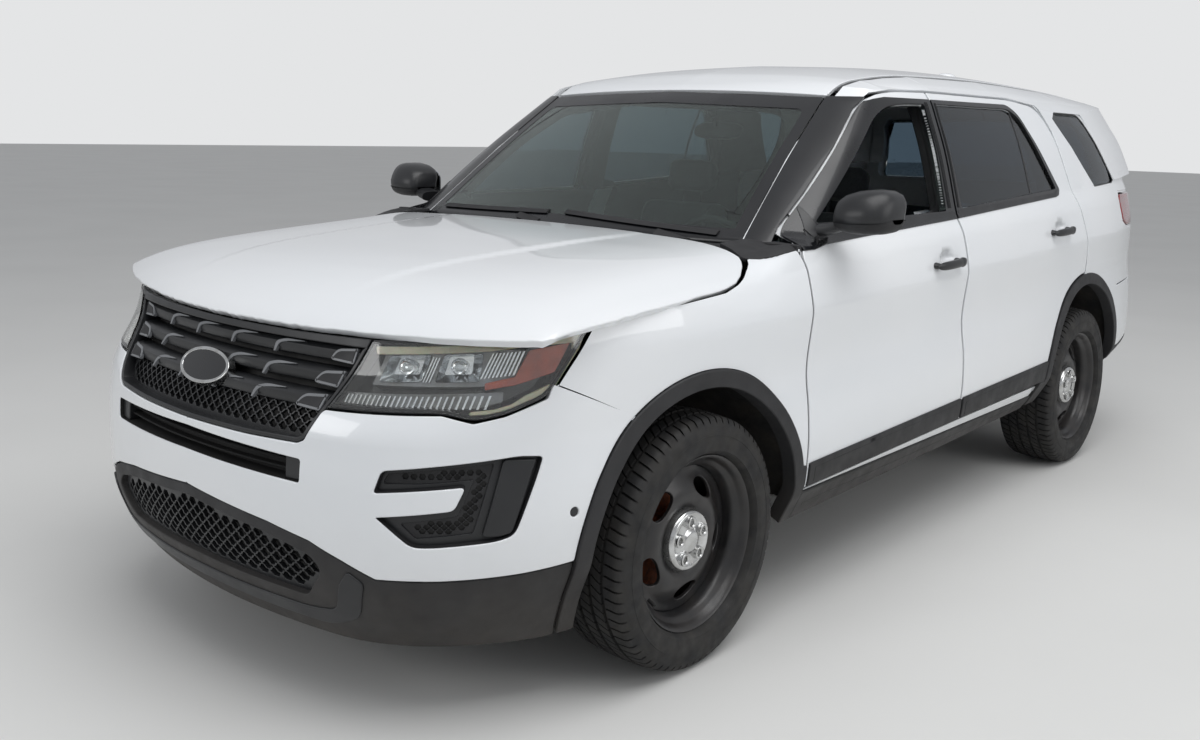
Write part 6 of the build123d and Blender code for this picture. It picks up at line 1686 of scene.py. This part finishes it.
def ring_points(radius, count=96, out=None):
    """A circle about the hub, in (s, z), or in space if it has a distance out."""
    turns = np.linspace(0, 2 * math.pi, count, endpoint=False)
    flat = np.column_stack([hub[0] + radius * np.cos(turns), hub[1] + radius * np.sin(turns)])
    return flat if out is None else np.column_stack([np.full(count, float(out)), flat])


def dished(profile, shift=0.0):
    """Lifts flat (s, z) points onto a surface turned about the hub."""
    outs, radii = np.array(profile, float).T

    def lift(flat):
        flat = np.asarray(flat, float)
        away = flat - hub
        radius = np.maximum(np.hypot(*away.T), 1e-6)
        slope = (np.interp(radius + 3, radii, outs) - np.interp(radius - 3, radii, outs)) / 6
        normal = np.column_stack([np.ones(len(flat)), -slope * away[:, 0] / radius,
                                  -slope * away[:, 1] / radius])
        normal /= np.linalg.norm(normal, axis=1)[:, None]
        return np.column_stack([np.interp(radius, radii, outs) + shift, flat]), normal
    return lift


def oval_hole(turn, distance=154.0, tangent=46.0, radial=25.0, count=36):
    """An oval ventilation hole whose long way runs round the wheel."""
    t = np.linspace(0, 2 * math.pi, count, endpoint=False)
    along, away = tangent * np.cos(t), radial * np.sin(t) - 4 * np.cos(t) ** 2
    c, s = math.cos(turn), math.sin(turn)
    return np.column_stack([hub[0] + (distance + away) * c - along * s, hub[1] + (distance + away) * s
                            + along * c])


ovals = [oval_hole(turn) for turn in oval_turns]
dense_profile = [(float(np.interp(r, [p[1] for p in disc_profile], [p[0] for p in disc_profile])), r)
                 for r in np.linspace(28, 206, 60)]
smooth_outs = np.convolve(np.pad([p[0] for p in dense_profile], 3, mode="edge"), np.ones(7) / 7,
                          mode="valid")
pressed = [(out, p[1]) for out, p in zip(smooth_outs, dense_profile)]
wheel_face = panel(ring_points(206), dished(pressed), ovals, edge=3, depth=5, hole_depth=7, spacing=11)
wheel_back = panel(ring_points(206), dished(pressed, -10), ovals, facing=-1, edge=0, depth=0, spacing=14)
rim_shell = lathe(((944, 245.8), (950, 246), (952.4, 244), (951, 240.6), (947, 236.5), (941, 231.5),
                   (933, 228.5), (927, 224), (921, 215), (913, 209.6), (900, 207), (880, 206), (840, 203),
                   (800, 203), (772, 214), (762, 226), (755, 232), (751, 240), (749.6, 246))[::-1], 96, hub)
rim_back = lathe(((944, 245.8), (936, 238), (925, 230), (915, 218), (900, 212), (840, 208), (800, 208),
                  (768, 220), (756, 232), (752, 246)), 96, hub)
cap_profile = [(893, 89), (902, 89.4), (912, 88.6), (920, 86), (925.5, 81), (927.5, 76), (926.5, 71),
               (924, 66), (923.6, 40), (926, 34), (930, 30), (932.4, 24), (933, 0.01)]
hub_cap = lathe(cap_profile[::-1], 96, hub)
cap_bosses = []
for turn in np.radians(np.arange(5) * 72 + 22):
    at = (hub[0] + 54 * math.cos(turn), hub[1] + 54 * math.sin(turn))
    cap_bosses.append(lathe(((931.4, 9.5), (933, 10.5), (934.6, 12.5), (934.8, 15), (933.4, 17.4),
                             (929, 18.4), (923, 19)), 28, at))
    cap_bosses.append(lathe(((925.6, 0.01), (925.6, 8.4), (931.4, 9.5)), 6, at))
brake_disc = lathe(((842, 0.01), (842, 60), (840, 70), (830, 74), (829, 78), (829, 172), (827, 175.6),
                    (817, 175.6), (816, 170), (814, 170), (813, 175.6), (803, 175.6), (801, 172), (801, 74),
                    (800.5, 60), (800.5, 36)), 96, hub)

# Tyre: the casing, then five ribs of tread blocks
crown = 8.0
casing_half = [(0, 347.6), (60, 345.6), (96, 341.5), (107, 338.5), (114.5, 332), (118.5, 322), (120.6, 311),
               (121.6, 304), (122.6, 303.4), (122.6, 300.6), (121.8, 300), (122.4, 286), (121.2, 270),
               (119.2, 262), (119.6, 259.6), (117.6, 257.4), (113.4, 254), (108, 250.4), (103, 248.6),
               (98.6, 246.8), (94, 240)]
casing = np.vstack([np.array(casing_half)[::-1], (np.array(casing_half) * [-1, 1])[1:]])
tyre_casing = lathe(casing + [wheel_middle, 0], 144, hub)


def tread_rib(inner, outer, count, slant, shift, share=0.86, reach=None):
    """A rib of blocks round the tyre; reach takes a shoulder block down the sidewall."""
    shell = Shell()
    outs = np.linspace(inner, outer, 4)
    tops = 357 - crown * (outs / 104) ** 2
    if reach is not None:
        outs = np.append(outs, [outer + math.copysign(7, outer), outer + math.copysign(11.5, outer),
                                reach[0]])
        tops = np.append(tops, [tops[-1] - 4, tops[-1] - 10.5, reach[1]])
    low = np.interp(np.abs(outs), [p[0] for p in casing_half[:8]], [p[1] for p in casing_half[:8]]) - 2
    order = 1 if outs[-1] > outs[0] else -1
    for k in range(count):
        rows = []
        for edge in np.linspace(0, share, 3):
            turns = (k + shift + edge) * 2 * math.pi / count + slant * (outs - inner) / 357
            rows.append([(turns, tops), (turns, low)])
        points = []
        for (turns, radii), (_, foot) in rows:
            for r in (radii, foot):
                points.append(np.column_stack([wheel_middle + outs, hub[0] + r * np.cos(turns),
                                               hub[1] + r * np.sin(turns)]))
        n = len(outs)
        index = lambda row, level, j: (2 * row + level) * n + j
        faces = [(index(r, 0, j), index(r, 0, j + 1), index(r + 1, 0, j + 1), index(r + 1, 0, j))
                 for r in range(2) for j in range(n - 1)]
        for r, turned in ((0, False), (2, True)):
            for j in range(n - 1):
                face = (index(r, 1, j), index(r, 1, j + 1), index(r, 0, j + 1), index(r, 0, j))
                faces.append(face[::-1] if turned else face)
        for j, turned in ((0, True), (n - 1, False)):
            for r in range(2):
                face = (index(r, 1, j), index(r + 1, 1, j), index(r + 1, 0, j), index(r, 0, j))
                faces.append(face if turned else face[::-1])
        if order < 0:
            faces = [face[::-1] for face in faces]
        shell.add(np.vstack(points), np.zeros((len(outs) * 6, 3)), [face[::-1] for face in faces])
    return shell


tread = [tread_rib(-16, 16, 78, 0.5, 0.0, 0.84), tread_rib(27, 57, 78, 0.7, 0.3, 0.82),
         tread_rib(-27, -57, 78, 0.7, 0.6, 0.82), tread_rib(68, 100, 72, 0.25, 0.1, 0.8, (117.5, 325)),
         tread_rib(-68, -100, 72, 0.25, 0.5, 0.8, (-117.5, 325))]
valve = tube([(905, -150, 226), (918, -153, 222), (930, -156, 218)], 5, 10)

for corner, behind, left in (("front_left", 0, True), ("front_right", 0, False), ("rear_left", 2860, True),
                             ("rear_right", 2860, False)):
    def placed(*shells):
        joined = Shell().join(*shells)
        return (joined if left else joined.mirrored()).moved((0, behind, 0))

    body_name = "wheel_" + corner
    piece("wheel_disc_" + corner, placed(wheel_face, wheel_back), coated_wheel_steel, body_name,
          "wheel_steel", ["wheel_" + corner])
    piece("wheel_rim_" + corner, placed(rim_shell, rim_back), coated_wheel_steel, body_name, "wheel_steel",
          own_normals=False, crisp=50)
    piece("hub_cap_" + corner, placed(hub_cap, *cap_bosses), chromed_steel, body_name, "wheel_steel",
          own_normals=False, crisp=40)
    piece("brake_disc_" + corner, placed(brake_disc), rusted_iron, body_name, "wheel_steel",
          own_normals=False, crisp=40)
    piece("tyre_casing_" + corner, placed(tyre_casing), tyre_compound, body_name, "tyre_rubber",
          ["tyre_" + corner], own_normals=False, crisp=50)
    piece("tyre_tread_" + corner, placed(*tread), tyre_compound, body_name, "tyre_rubber",
          own_normals=False, crisp=28)
    piece("valve_" + corner, placed(valve), tyre_compound, body_name, "tyre_rubber", own_normals=False)


# The interior

driver = 370.0


def across(outline, places, shrink=0.0):
    """A solid whose side outline in (s, z) is carried across the car, with eased ends."""
    outline = np.asarray(outline, float)
    middle = outline.mean(axis=0)
    rings = []
    for x, share in places:
        flat = middle + (outline - middle) * (1 - shrink * share)
        rings.append(np.column_stack([np.full(len(flat), float(x)), flat]))
    return skin_between(rings, caps=(True, True))


def ends(low, high, ease=12.0):
    """Places across with rounded ends: how far they are drawn in at each."""
    return [(low, 1.0), (low + 0.3 * ease, 0.3), (low + ease, 0.0), (high - ease, 0.0),
            (high - 0.3 * ease, 0.3), (high, 1.0)]


dash_side = rounded([(470, 1060, 10), (560, 1110, 40), (640, 1122, 60), (742, 1108, 50), (786, 1040, 40),
                     (764, 900, 60), (704, 768, 30), (560, 768, 10), (470, 800, 10)], 20, 6)
dash_shell = across(dash_side, ends(-776, 776, 16), 0.05)
pad_side = rounded([(600, 1096, 8), (612, 1128, 20), (668, 1149, 40), (760, 1143, 24), (800, 1106, 16),
                    (792, 1084, 6)], 10, 5)
binnacle = across(pad_side, ends(driver - 172, driver + 172, 40), 0.25)
knee_side = rounded([(700, 772, 8), (758, 880, 20), (772, 930, 8), (764, 936, 4), (690, 800, 8)], 8, 4)
knee_pad = across(knee_side, ends(driver - 190, driver + 190, 14), 0.1)
console = across(rounded([(700, 520), (1560, 520), (1560, 640, 30), (1180, 640, 40), (1100, 612, 40),
                          (860, 618, 60), (780, 760, 60), (776, 892, 20), (700, 892)], 20, 6),
                 ends(-106, 106, 12), 0.02)
arm_lid = across(rounded([(1190, 641, 8), (1550, 641, 10), (1552, 664, 10), (1500, 676, 30),
                          (1240, 676, 30), (1188, 662, 10)], 8, 4), ends(-98, 98, 16), 0.12)
piece("dashboard_shell", [dash_shell, knee_pad, console], dashboard_skin, "body", "interior_plastic",
      ["dashboard"], own_normals=False, crisp=32)
piece("instrument_hood", [binnacle], dashboard_skin, "body", "interior_plastic", own_normals=False,
      crisp=32)
piece("console_lid", [arm_lid], seat_weave, "body", "interior_plastic", own_normals=False, crisp=40)


def flat_at(s, lean=0.0):
    """Lifts (x, z) outlines onto a near upright plane that faces the seats."""
    def lift(flat):
        flat = np.asarray(flat, float)
        return (np.column_stack([flat[:, 0], s + lean * (flat[:, 1] - 960), flat[:, 1]]),
                np.tile(np.array([0, 1, -lean]) / math.hypot(1, lean), (len(flat), 1)))
    return lift


def framed(x0, x1, z0, z1, radius=8.0):
    return rounded([(x0, z0), (x1, z0), (x1, z1), (x0, z1)], radius)


vents, blades = [], []
for x in (-690, -150, 150, 690):
    vents.append(panel(framed(x - 62, x + 62, 986, 1056, 16), flat_at(796, 0.14),
                       [framed(x - 52, x + 52, 994, 1048, 10)], edge=3, depth=10, hole_depth=14,
                       spacing=30))
    for z in np.linspace(1002, 1040, 5):
        blades.append(panel(framed(x - 54, x + 54, z - 2.2, z + 2.2, 1), flat_at(790, 0.14), edge=0.8,
                            depth=12, spacing=40))
piece("air_vents", vents + blades, satin_abs, "body", "interior_plastic")
bezel = panel(framed(-120, 120, 800, 974, 18), flat_at(790, 0.12), [framed(-86, 86, 868, 962, 6)], edge=4,
              depth=18, hole_depth=6, spacing=30)
screen_pane = panel(framed(-88, 88, 866, 964, 5), flat_at(786, 0.12), edge=0.5, depth=2, spacing=60)
keys = [panel(framed(x - 12, x + 12, z - 8, z + 8, 3), flat_at(794, 0.12), edge=1.5, depth=5, spacing=30)
        for z in (818, 842) for x in (-84, -52, -20, 20, 52, 84)]
piece("centre_stack", [bezel] + keys, satin_abs, "body", "interior_plastic")
piece("centre_screen", [screen_pane], black_enamel, "body", "interior_plastic")
glove_lid = panel(framed(-640, -250, 800, 930, 22), flat_at(775, 0.2), edge=4, depth=10, spacing=60)
piece("glove_box_lid", [glove_lid], dashboard_skin, "body", "interior_plastic")
gauge_glass = panel(framed(driver - 108, driver + 108, 1054, 1104, 20), flat_at(783, 0.2), edge=1, depth=2,
                    spacing=60)
piece("gauge_glass", [gauge_glass], black_enamel, "body", "interior_plastic")
shifter = [tube([(0, 960, 600), (0, 968, 690)], 9, 12),
           skin_between([[(26 * r * math.cos(a), 968 + 30 * r * math.sin(a), 700 + 34 * h) for a in turns]
                         for r, h in ((0.3, -1), (0.8, -0.8), (1, -0.2), (0.95, 0.4), (0.6, 0.9),
                                      (0.15, 1.0))], caps=(True, True))]
piece("gear_lever", shifter, satin_abs, "body", "interior_plastic", own_normals=False)

# Steering wheel, in its own plane about the column
column_middle = np.array([driver, 880.0, 1000.0])
column_axis = np.array([0, math.cos(math.radians(25)), math.sin(math.radians(25))])
column_up = np.array([0, -math.sin(math.radians(25)), math.cos(math.radians(25))])


def on_column(x, up, out):
    """Points beside the steering column: across it, up from it and out along it."""
    return (column_middle + np.asarray(x)[..., None] * np.array([1.0, 0, 0]) + np.asarray(up)[..., None]
            * column_up + np.asarray(out)[..., None] * column_axis)


rim_rings = []
round_section = np.linspace(0, 2 * math.pi, 16, endpoint=False)
for a in np.linspace(0, 2 * math.pi, 73):
    thick = 14.4 - 1.2 * math.cos(2 * a) ** 2
    reach = 185 + thick * np.cos(round_section) * 0.9
    rim_rings.append(on_column(reach * math.cos(a), reach * math.sin(a), thick * np.sin(round_section)))
wheel_rim = skin_between(rim_rings[::-1])
spokes = []
for a in (math.radians(8), math.radians(172), math.radians(252), math.radians(288)):
    rings = []
    for share in np.linspace(0, 1, 8):
        reach = 46 + 134 * share
        wide, thick = 20 - 6 * math.sin(math.pi * share), 8 - 2 * share
        x0, up0 = reach * math.cos(a), reach * math.sin(a)
        rings.append(on_column(x0 - wide * math.sin(a) * np.cos(round_section),
                               up0 + wide * math.cos(a) * np.cos(round_section),
                               thick * np.sin(round_section) + 6 - 10 * share))
    spokes.append(skin_between(rings, caps=(True, True)))
pad_rings = []
for share, out in ((0.86, -22), (1, -14), (1, 4), (0.97, 12), (0.88, 18), (0.6, 21), (0.05, 22)):
    around = np.linspace(0, 2 * math.pi, 40, endpoint=False)
    pad_rings.append(on_column(78 * share * bent_round(np.cos(around), 0.7),
                               6 + 62 * share * bent_round(np.sin(around), 0.8), out))
wheel_pad = skin_between(pad_rings, caps=(True, True))
piece("steering_wheel_rim", [wheel_rim] + spokes, dashboard_skin, "steering_wheel", "interior_plastic",
      ["steering_wheel"], own_normals=False, crisp=60)
piece("steering_wheel_pad", [wheel_pad], dashboard_skin, "steering_wheel", "interior_plastic",
      own_normals=False, crisp=60)
column_shroud = skin_between([on_column(40 * bent_round(np.cos(turns), 0.7),
                                        34 * bent_round(np.sin(turns), 0.7) - 4, out)
                              for out in (-165, -60, -34)], caps=(True, True))
stalks = [tube([tuple(on_column(side * 36, 4, -52)), tuple(on_column(side * 100, 16, -44)),
                tuple(on_column(side * 140, 24, -34))], 6.5, 12) for side in (-1, 1)]
piece("column_shroud", [column_shroud] + stalks, satin_abs, "body", "interior_plastic", own_normals=False)

# Inner mirror hung from the windscreen on its stalk
inner_mirror = skin_between([[(118 * w * c, 1330 + out + 0.3 * 34 * w * s, 1470 + 34 * w * s) for c,
                              s in zip(bent_round(np.cos(turns), 0.6), bent_round(np.sin(turns), 0.7))]
                             for out, w in ((-20, 0.6), (-8, 0.94), (4, 1.0), (8, 0.98))],
                            caps=(True, True))
piece("inner_mirror", [inner_mirror, tube([(0, 1292, 1520), (0, 1312, 1490)], 8, 10)], satin_abs, "body",
      "interior_plastic", own_normals=False)


# Seats: each pad is a closed crowned form, swelled by cloth under pressure

def pad_form(stations, half, bolster, thick, crown, rows=44):
    """A closed pad: stations give its face's middle and direction, a width share and a depth share."""
    around = np.linspace(0, 2 * math.pi, rows, endpoint=False)
    rings = []
    for middle, face, wide, deep in stations:
        middle, face = np.array(middle, float), np.array(face, float)
        face /= np.linalg.norm(face)
        x = half * wide * bent_round(np.cos(around), 0.42)
        lift = bent_round(np.sin(around), 0.5)
        share = np.abs(x) / half
        top = crown * (1 - share ** 2) + bolster * deep * eased(0.52, 0.86,
                                                                share) * (1 - eased(0.9, 1.02, share))
        rise = np.where(lift > 0, lift * (0.18 * thick + top), lift * thick * 0.82) * deep
        rings.append(np.column_stack([x, middle[0] + face[0] * rise, middle[1] + face[1] * rise]))
    return rings


def run_of(points, faces, count, ease):
    """Stations along a pad's middle line, drawn in at both ends."""
    line = spline(points, count)
    directions = spline(faces, count)
    share = np.linspace(0, 1, count)
    end = np.minimum(share, 1 - share) / ease
    swell = np.where(end < 1, np.sqrt(np.clip(1 - (1 - end) ** 2, 0.0, 1)), 1.0)
    return [(tuple(line[k]), tuple(directions[k]), 0.72 + 0.28 * swell[k], 0.12 + 0.88 * swell[k])
            for k in range(count)]


seat_voxel = 0.011        # metres
seat_pressure = 4.0
seat_frames = 14
cord_lift = 0.6         # how far a cord's middle stands off the cloth, mm


def stuffed(name, rings, middle_x, body_name, slot, swell_limit, material, nodes=()):
    """A pad as its own object: voxels, then cloth under pressure, then one smoothing level."""
    shell = skin_between(rings, caps=(True, True)).moved((middle_x, 0, 0))
    made = piece(name, shell, material, body_name, slot, nodes, own_normals=False, crisp=180)
    bpy.context.view_layer.objects.active = made
    bpy.ops.object.select_all(action="DESELECT")
    made.select_set(True)
    remesh = made.modifiers.new("voxels", "REMESH")
    remesh.mode, remesh.voxel_size, remesh.use_smooth_shade = "VOXEL", seat_voxel, True
    bpy.ops.object.modifier_apply(modifier=remesh.name)
    before = np.array([v.co for v in made.data.vertices])
    cloth = made.modifiers.new("cloth", "CLOTH")
    cloth.settings.quality = 4
    cloth.settings.mass = 0.3
    cloth.settings.use_pressure = True
    cloth.settings.uniform_pressure_force = seat_pressure
    cloth.settings.effector_weights.gravity = 0.0
    cloth.collision_settings.use_collision = False
    cloth.point_cache.frame_start, cloth.point_cache.frame_end = 1, seat_frames
    for frame_number in range(1, seat_frames + 1):
        bpy.context.scene.frame_set(frame_number)
    bpy.ops.object.modifier_apply(modifier=cloth.name)
    after = np.array([v.co for v in made.data.vertices])
    step = after - before
    length = np.maximum(np.linalg.norm(step, axis=1), 1e-9)
    step *= np.minimum(1, swell_limit / 1000 / length)[:, None]
    made.data.vertices.foreach_set("co", (before + step).ravel())
    made.data.update()
    bpy.context.scene.frame_set(1)
    smooth = made.modifiers.new("smooth", "SUBSURF")
    smooth.levels = smooth.render_levels = 1
    bpy.ops.object.modifier_apply(modifier=smooth.name)
    made.data.shade_smooth()
    return made


def seam_on(target, points, radius=2.4):
    """A sewn cord laid on a pad: its points are dropped onto the pad's surface."""
    tree = BVHTree.FromObject(target, bpy.context.evaluated_depsgraph_get())
    laid = []
    for p in points:
        at = Vector((p[0] / 1000, (p[1] + front_axle_y) / 1000, p[2] / 1000))
        place, normal, _, _ = tree.find_nearest(at)
        laid.append((place.x * 1000 + normal.x * cord_lift, place.y * 1000 - front_axle_y + normal.y
                     * cord_lift, place.z * 1000 + normal.z * cord_lift))
    return tube(spline(laid, 3 * len(laid)), radius, 8)


cushion_run = run_of([(1082, 610), (1130, 612), (1240, 602), (1360, 590), (1470, 580), (1560, 574)],
                     [(-0.5, 1), (-0.1, 1), (0.05, 1), (0.08, 1), (0.1, 1), (0.2, 1)], 26, 0.16)
back_run = run_of([(1488, 560), (1520, 700), (1545, 850), (1570, 980), (1600, 1090), (1632, 1170)],
                  [(-1, 0.1), (-1, 0.18), (-1, 0.18), (-1, 0.2), (-1, 0.22), (-1, 0.4)], 30, 0.13)
head_run = run_of([(1640, 1206), (1646, 1250), (1652, 1300), (1660, 1344)],
                  [(-1, 0.1), (-1, 0.12), (-1, 0.14), (-1, 0.3)], 16, 0.3)
seat_cords = []
for side, name in ((1, "driver"), (-1, "passenger")):
    middle_x = side * driver
    first = ["front_seats"] if side > 0 else []
    cushion = stuffed(f"{name}_seat_cushion", pad_form(cushion_run, 238, 34, 128, 14), middle_x, "body",
                      "seat_cloth", 10, seat_weave, first)
    backrest = stuffed(f"{name}_seat_backrest", pad_form(back_run, 232, 40, 96, 12), middle_x, "body",
                       "seat_cloth", 10, seat_weave)
    stuffed(f"{name}_seat_headrest", pad_form(head_run, 122, 0, 76, 22), middle_x, "body", "seat_cloth",
            6, seat_weave)
    for across_x in (-132, 132):
        seat_cords.append(seam_on(cushion, [(middle_x + across_x, s, z + 60) for s,
                                            z in zip(np.linspace(1110, 1480, 14),
                                                     np.linspace(620, 590, 14))]))
        seat_cords.append(seam_on(backrest, [(middle_x + across_x, s - 60, z) for s,
                                             z in zip(np.linspace(1512, 1612, 16),
                                                      np.linspace(660, 1120, 16))]))
    seat_cords.append(seam_on(cushion, [(middle_x + x, 1300, 680) for x in np.linspace(-130, 130, 12)]))
    seat_cords.append(seam_on(backrest, [(middle_x + x, 1490, 900) for x in np.linspace(-130, 130, 12)]))
    seat_cords += [tube([(middle_x + x, 1664, 1130), (middle_x + x, 1664, 1230)], 6, 12) for x in (-50, 50)]
    seat_base = across(rounded([(1120, 330), (1540, 330), (1556, 500, 20), (1110, 500, 20)], 10),
                       ends(middle_x - 200, middle_x + 200, 10), 0.03)
    piece(f"{name}_seat_base", [seat_base], satin_abs, "body", "interior_plastic", own_normals=False)
bench_run = run_of([(1968, 640), (2010, 660), (2080, 652), (2150, 644), (2215, 640)],
                   [(-0.5, 1), (-0.1, 1), (0.05, 1), (0.1, 1), (0.2, 1)], 20, 0.2)
bench_back = run_of([(2210, 640), (2255, 780), (2320, 920), (2385, 1060), (2440, 1170)],
                    [(-1, 0.3), (-1, 0.42), (-1, 0.46), (-1, 0.46), (-1, 0.6)], 26, 0.13)
for side, name in ((1, "left"), (-1, "right")):
    first = ["rear_seat"] if side > 0 else []
    stuffed(f"bench_cushion_{name}", pad_form(bench_run, 304, 20, 120, 16), side * 308, "body",
            "seat_cloth", 10, seat_weave, first)
    stuffed(f"bench_backrest_{name}", pad_form(bench_back, 304, 20, 90, 16), side * 308, "body",
            "seat_cloth", 10, seat_weave)
piece("seat_cords", seat_cords, seat_weave, "body", "seat_cloth", own_normals=False)


# The studio: floor, air and lamps

floor_mesh = bpy.data.meshes.new("studio_floor")
floor_reach = 60.0  # metres
floor_mesh.from_pydata([(x * floor_reach, y * floor_reach, 0) for x,
                        y in ((-1, -1), (1, -1), (1, 1), (-1, 1))], [], [(0, 1, 2, 3)])
studio_floor = bpy.data.objects.new("studio_floor", floor_mesh)
bpy.context.scene.collection.objects.link(studio_floor)
# Pale matt floor paint
floor_paint = finish_of("floor_paint", {"Base Color": paint_hex("#D8D8D6"), "Roughness": 0.85},
                        tint=(paint_hex("#D2D2D0"), 1400, 0.6))
floor_mesh.materials.append(floor_paint)

world = bpy.data.worlds.new("studio_air")
bpy.context.scene.world = world
world.use_nodes = True
world.node_tree.nodes.clear()
air_out = world.node_tree.nodes.new("ShaderNodeOutputWorld")
air_light = world.node_tree.nodes.new("ShaderNodeBackground")
air_light.inputs["Color"].default_value = paint_hex("#F2F4F8")
air_light.inputs["Strength"].default_value = 0.52
backdrop = world.node_tree.nodes.new("ShaderNodeBackground")
backdrop.inputs["Color"].default_value = paint_hex("#E4E5E6")
backdrop.inputs["Strength"].default_value = 1.0
seen = world.node_tree.nodes.new("ShaderNodeLightPath")
choice = world.node_tree.nodes.new("ShaderNodeMixShader")
through = world.node_tree.nodes.new("ShaderNodeMath")
through.operation, through.use_clamp = "ADD", True
world.node_tree.links.new(seen.outputs["Is Camera Ray"], through.inputs[0])
world.node_tree.links.new(seen.outputs["Is Transmission Ray"], through.inputs[1])
world.node_tree.links.new(through.outputs[0], choice.inputs[0])
world.node_tree.links.new(air_light.outputs[0], choice.inputs[1])
world.node_tree.links.new(backdrop.outputs[0], choice.inputs[2])
world.node_tree.links.new(choice.outputs[0], air_out.inputs[0])


def softbox(name, place, aim, width, depth, power):
    """A rectangular area lamp turned towards the point it is aimed at; metres and watts."""
    lamp = bpy.data.lights.new(name, "AREA")
    lamp.shape, lamp.size, lamp.size_y, lamp.energy = "RECTANGLE", width, depth, power
    holder = bpy.data.objects.new(name, lamp)
    holder.location = place
    holder.rotation_euler = (Vector(aim) - Vector(place)).to_track_quat("-Z", "Y").to_euler()
    bpy.context.scene.collection.objects.link(holder)


softbox("softbox_overhead", (2.5, -1.5, 6.5), (0, 0, 0.6), 7, 5, 290)
softbox("softbox_nose", (-2.5, -8.5, 3.2), (0, -1.5, 0.7), 4, 2.5, 85)
softbox("softbox_flank", (8.5, 1.5, 3.4), (0.5, 0.5, 0.8), 6, 2.6, 105)

# Camera at the photograph's angle, solved from points on the car
camera_data = bpy.data.cameras.new("camera")
camera = bpy.data.objects.new("camera", camera_data)
bpy.context.scene.collection.objects.link(camera)
bpy.context.scene.camera = camera
camera_turn, camera_dip, camera_roll = [math.radians(a) for a in (40.39, 8.67, 1.44)]
camera_place = Vector((2.7473, -4.0049, 1.4653))
picture_width = 1200.0
focal_pixels = 1158.5
centre_shift = (-24.7, -63.3)  # pixels
ahead = Vector((-math.sin(camera_turn) * math.cos(camera_dip), math.cos(camera_turn) * math.cos(camera_dip),
                -math.sin(camera_dip)))
level_right = ahead.cross(Vector((0, 0, 1))).normalized()
level_up = level_right.cross(ahead)
c, s = math.cos(camera_roll), math.sin(camera_roll)
right, up = c * level_right + s * level_up, -s * level_right + c * level_up
camera.matrix_world = Matrix((
    (right.x, up.x, -ahead.x, camera_place.x), (right.y, up.y, -ahead.y, camera_place.y),
    (right.z, up.z, -ahead.z, camera_place.z), (0, 0, 0, 1)))
camera_data.sensor_width = 36
camera_data.lens = focal_pixels / picture_width * 36
camera_data.shift_x = centre_shift[0] / picture_width
camera_data.shift_y = centre_shift[1] / picture_width
camera_data.clip_end = 200

bpy.context.scene.view_settings.view_transform = "Standard"
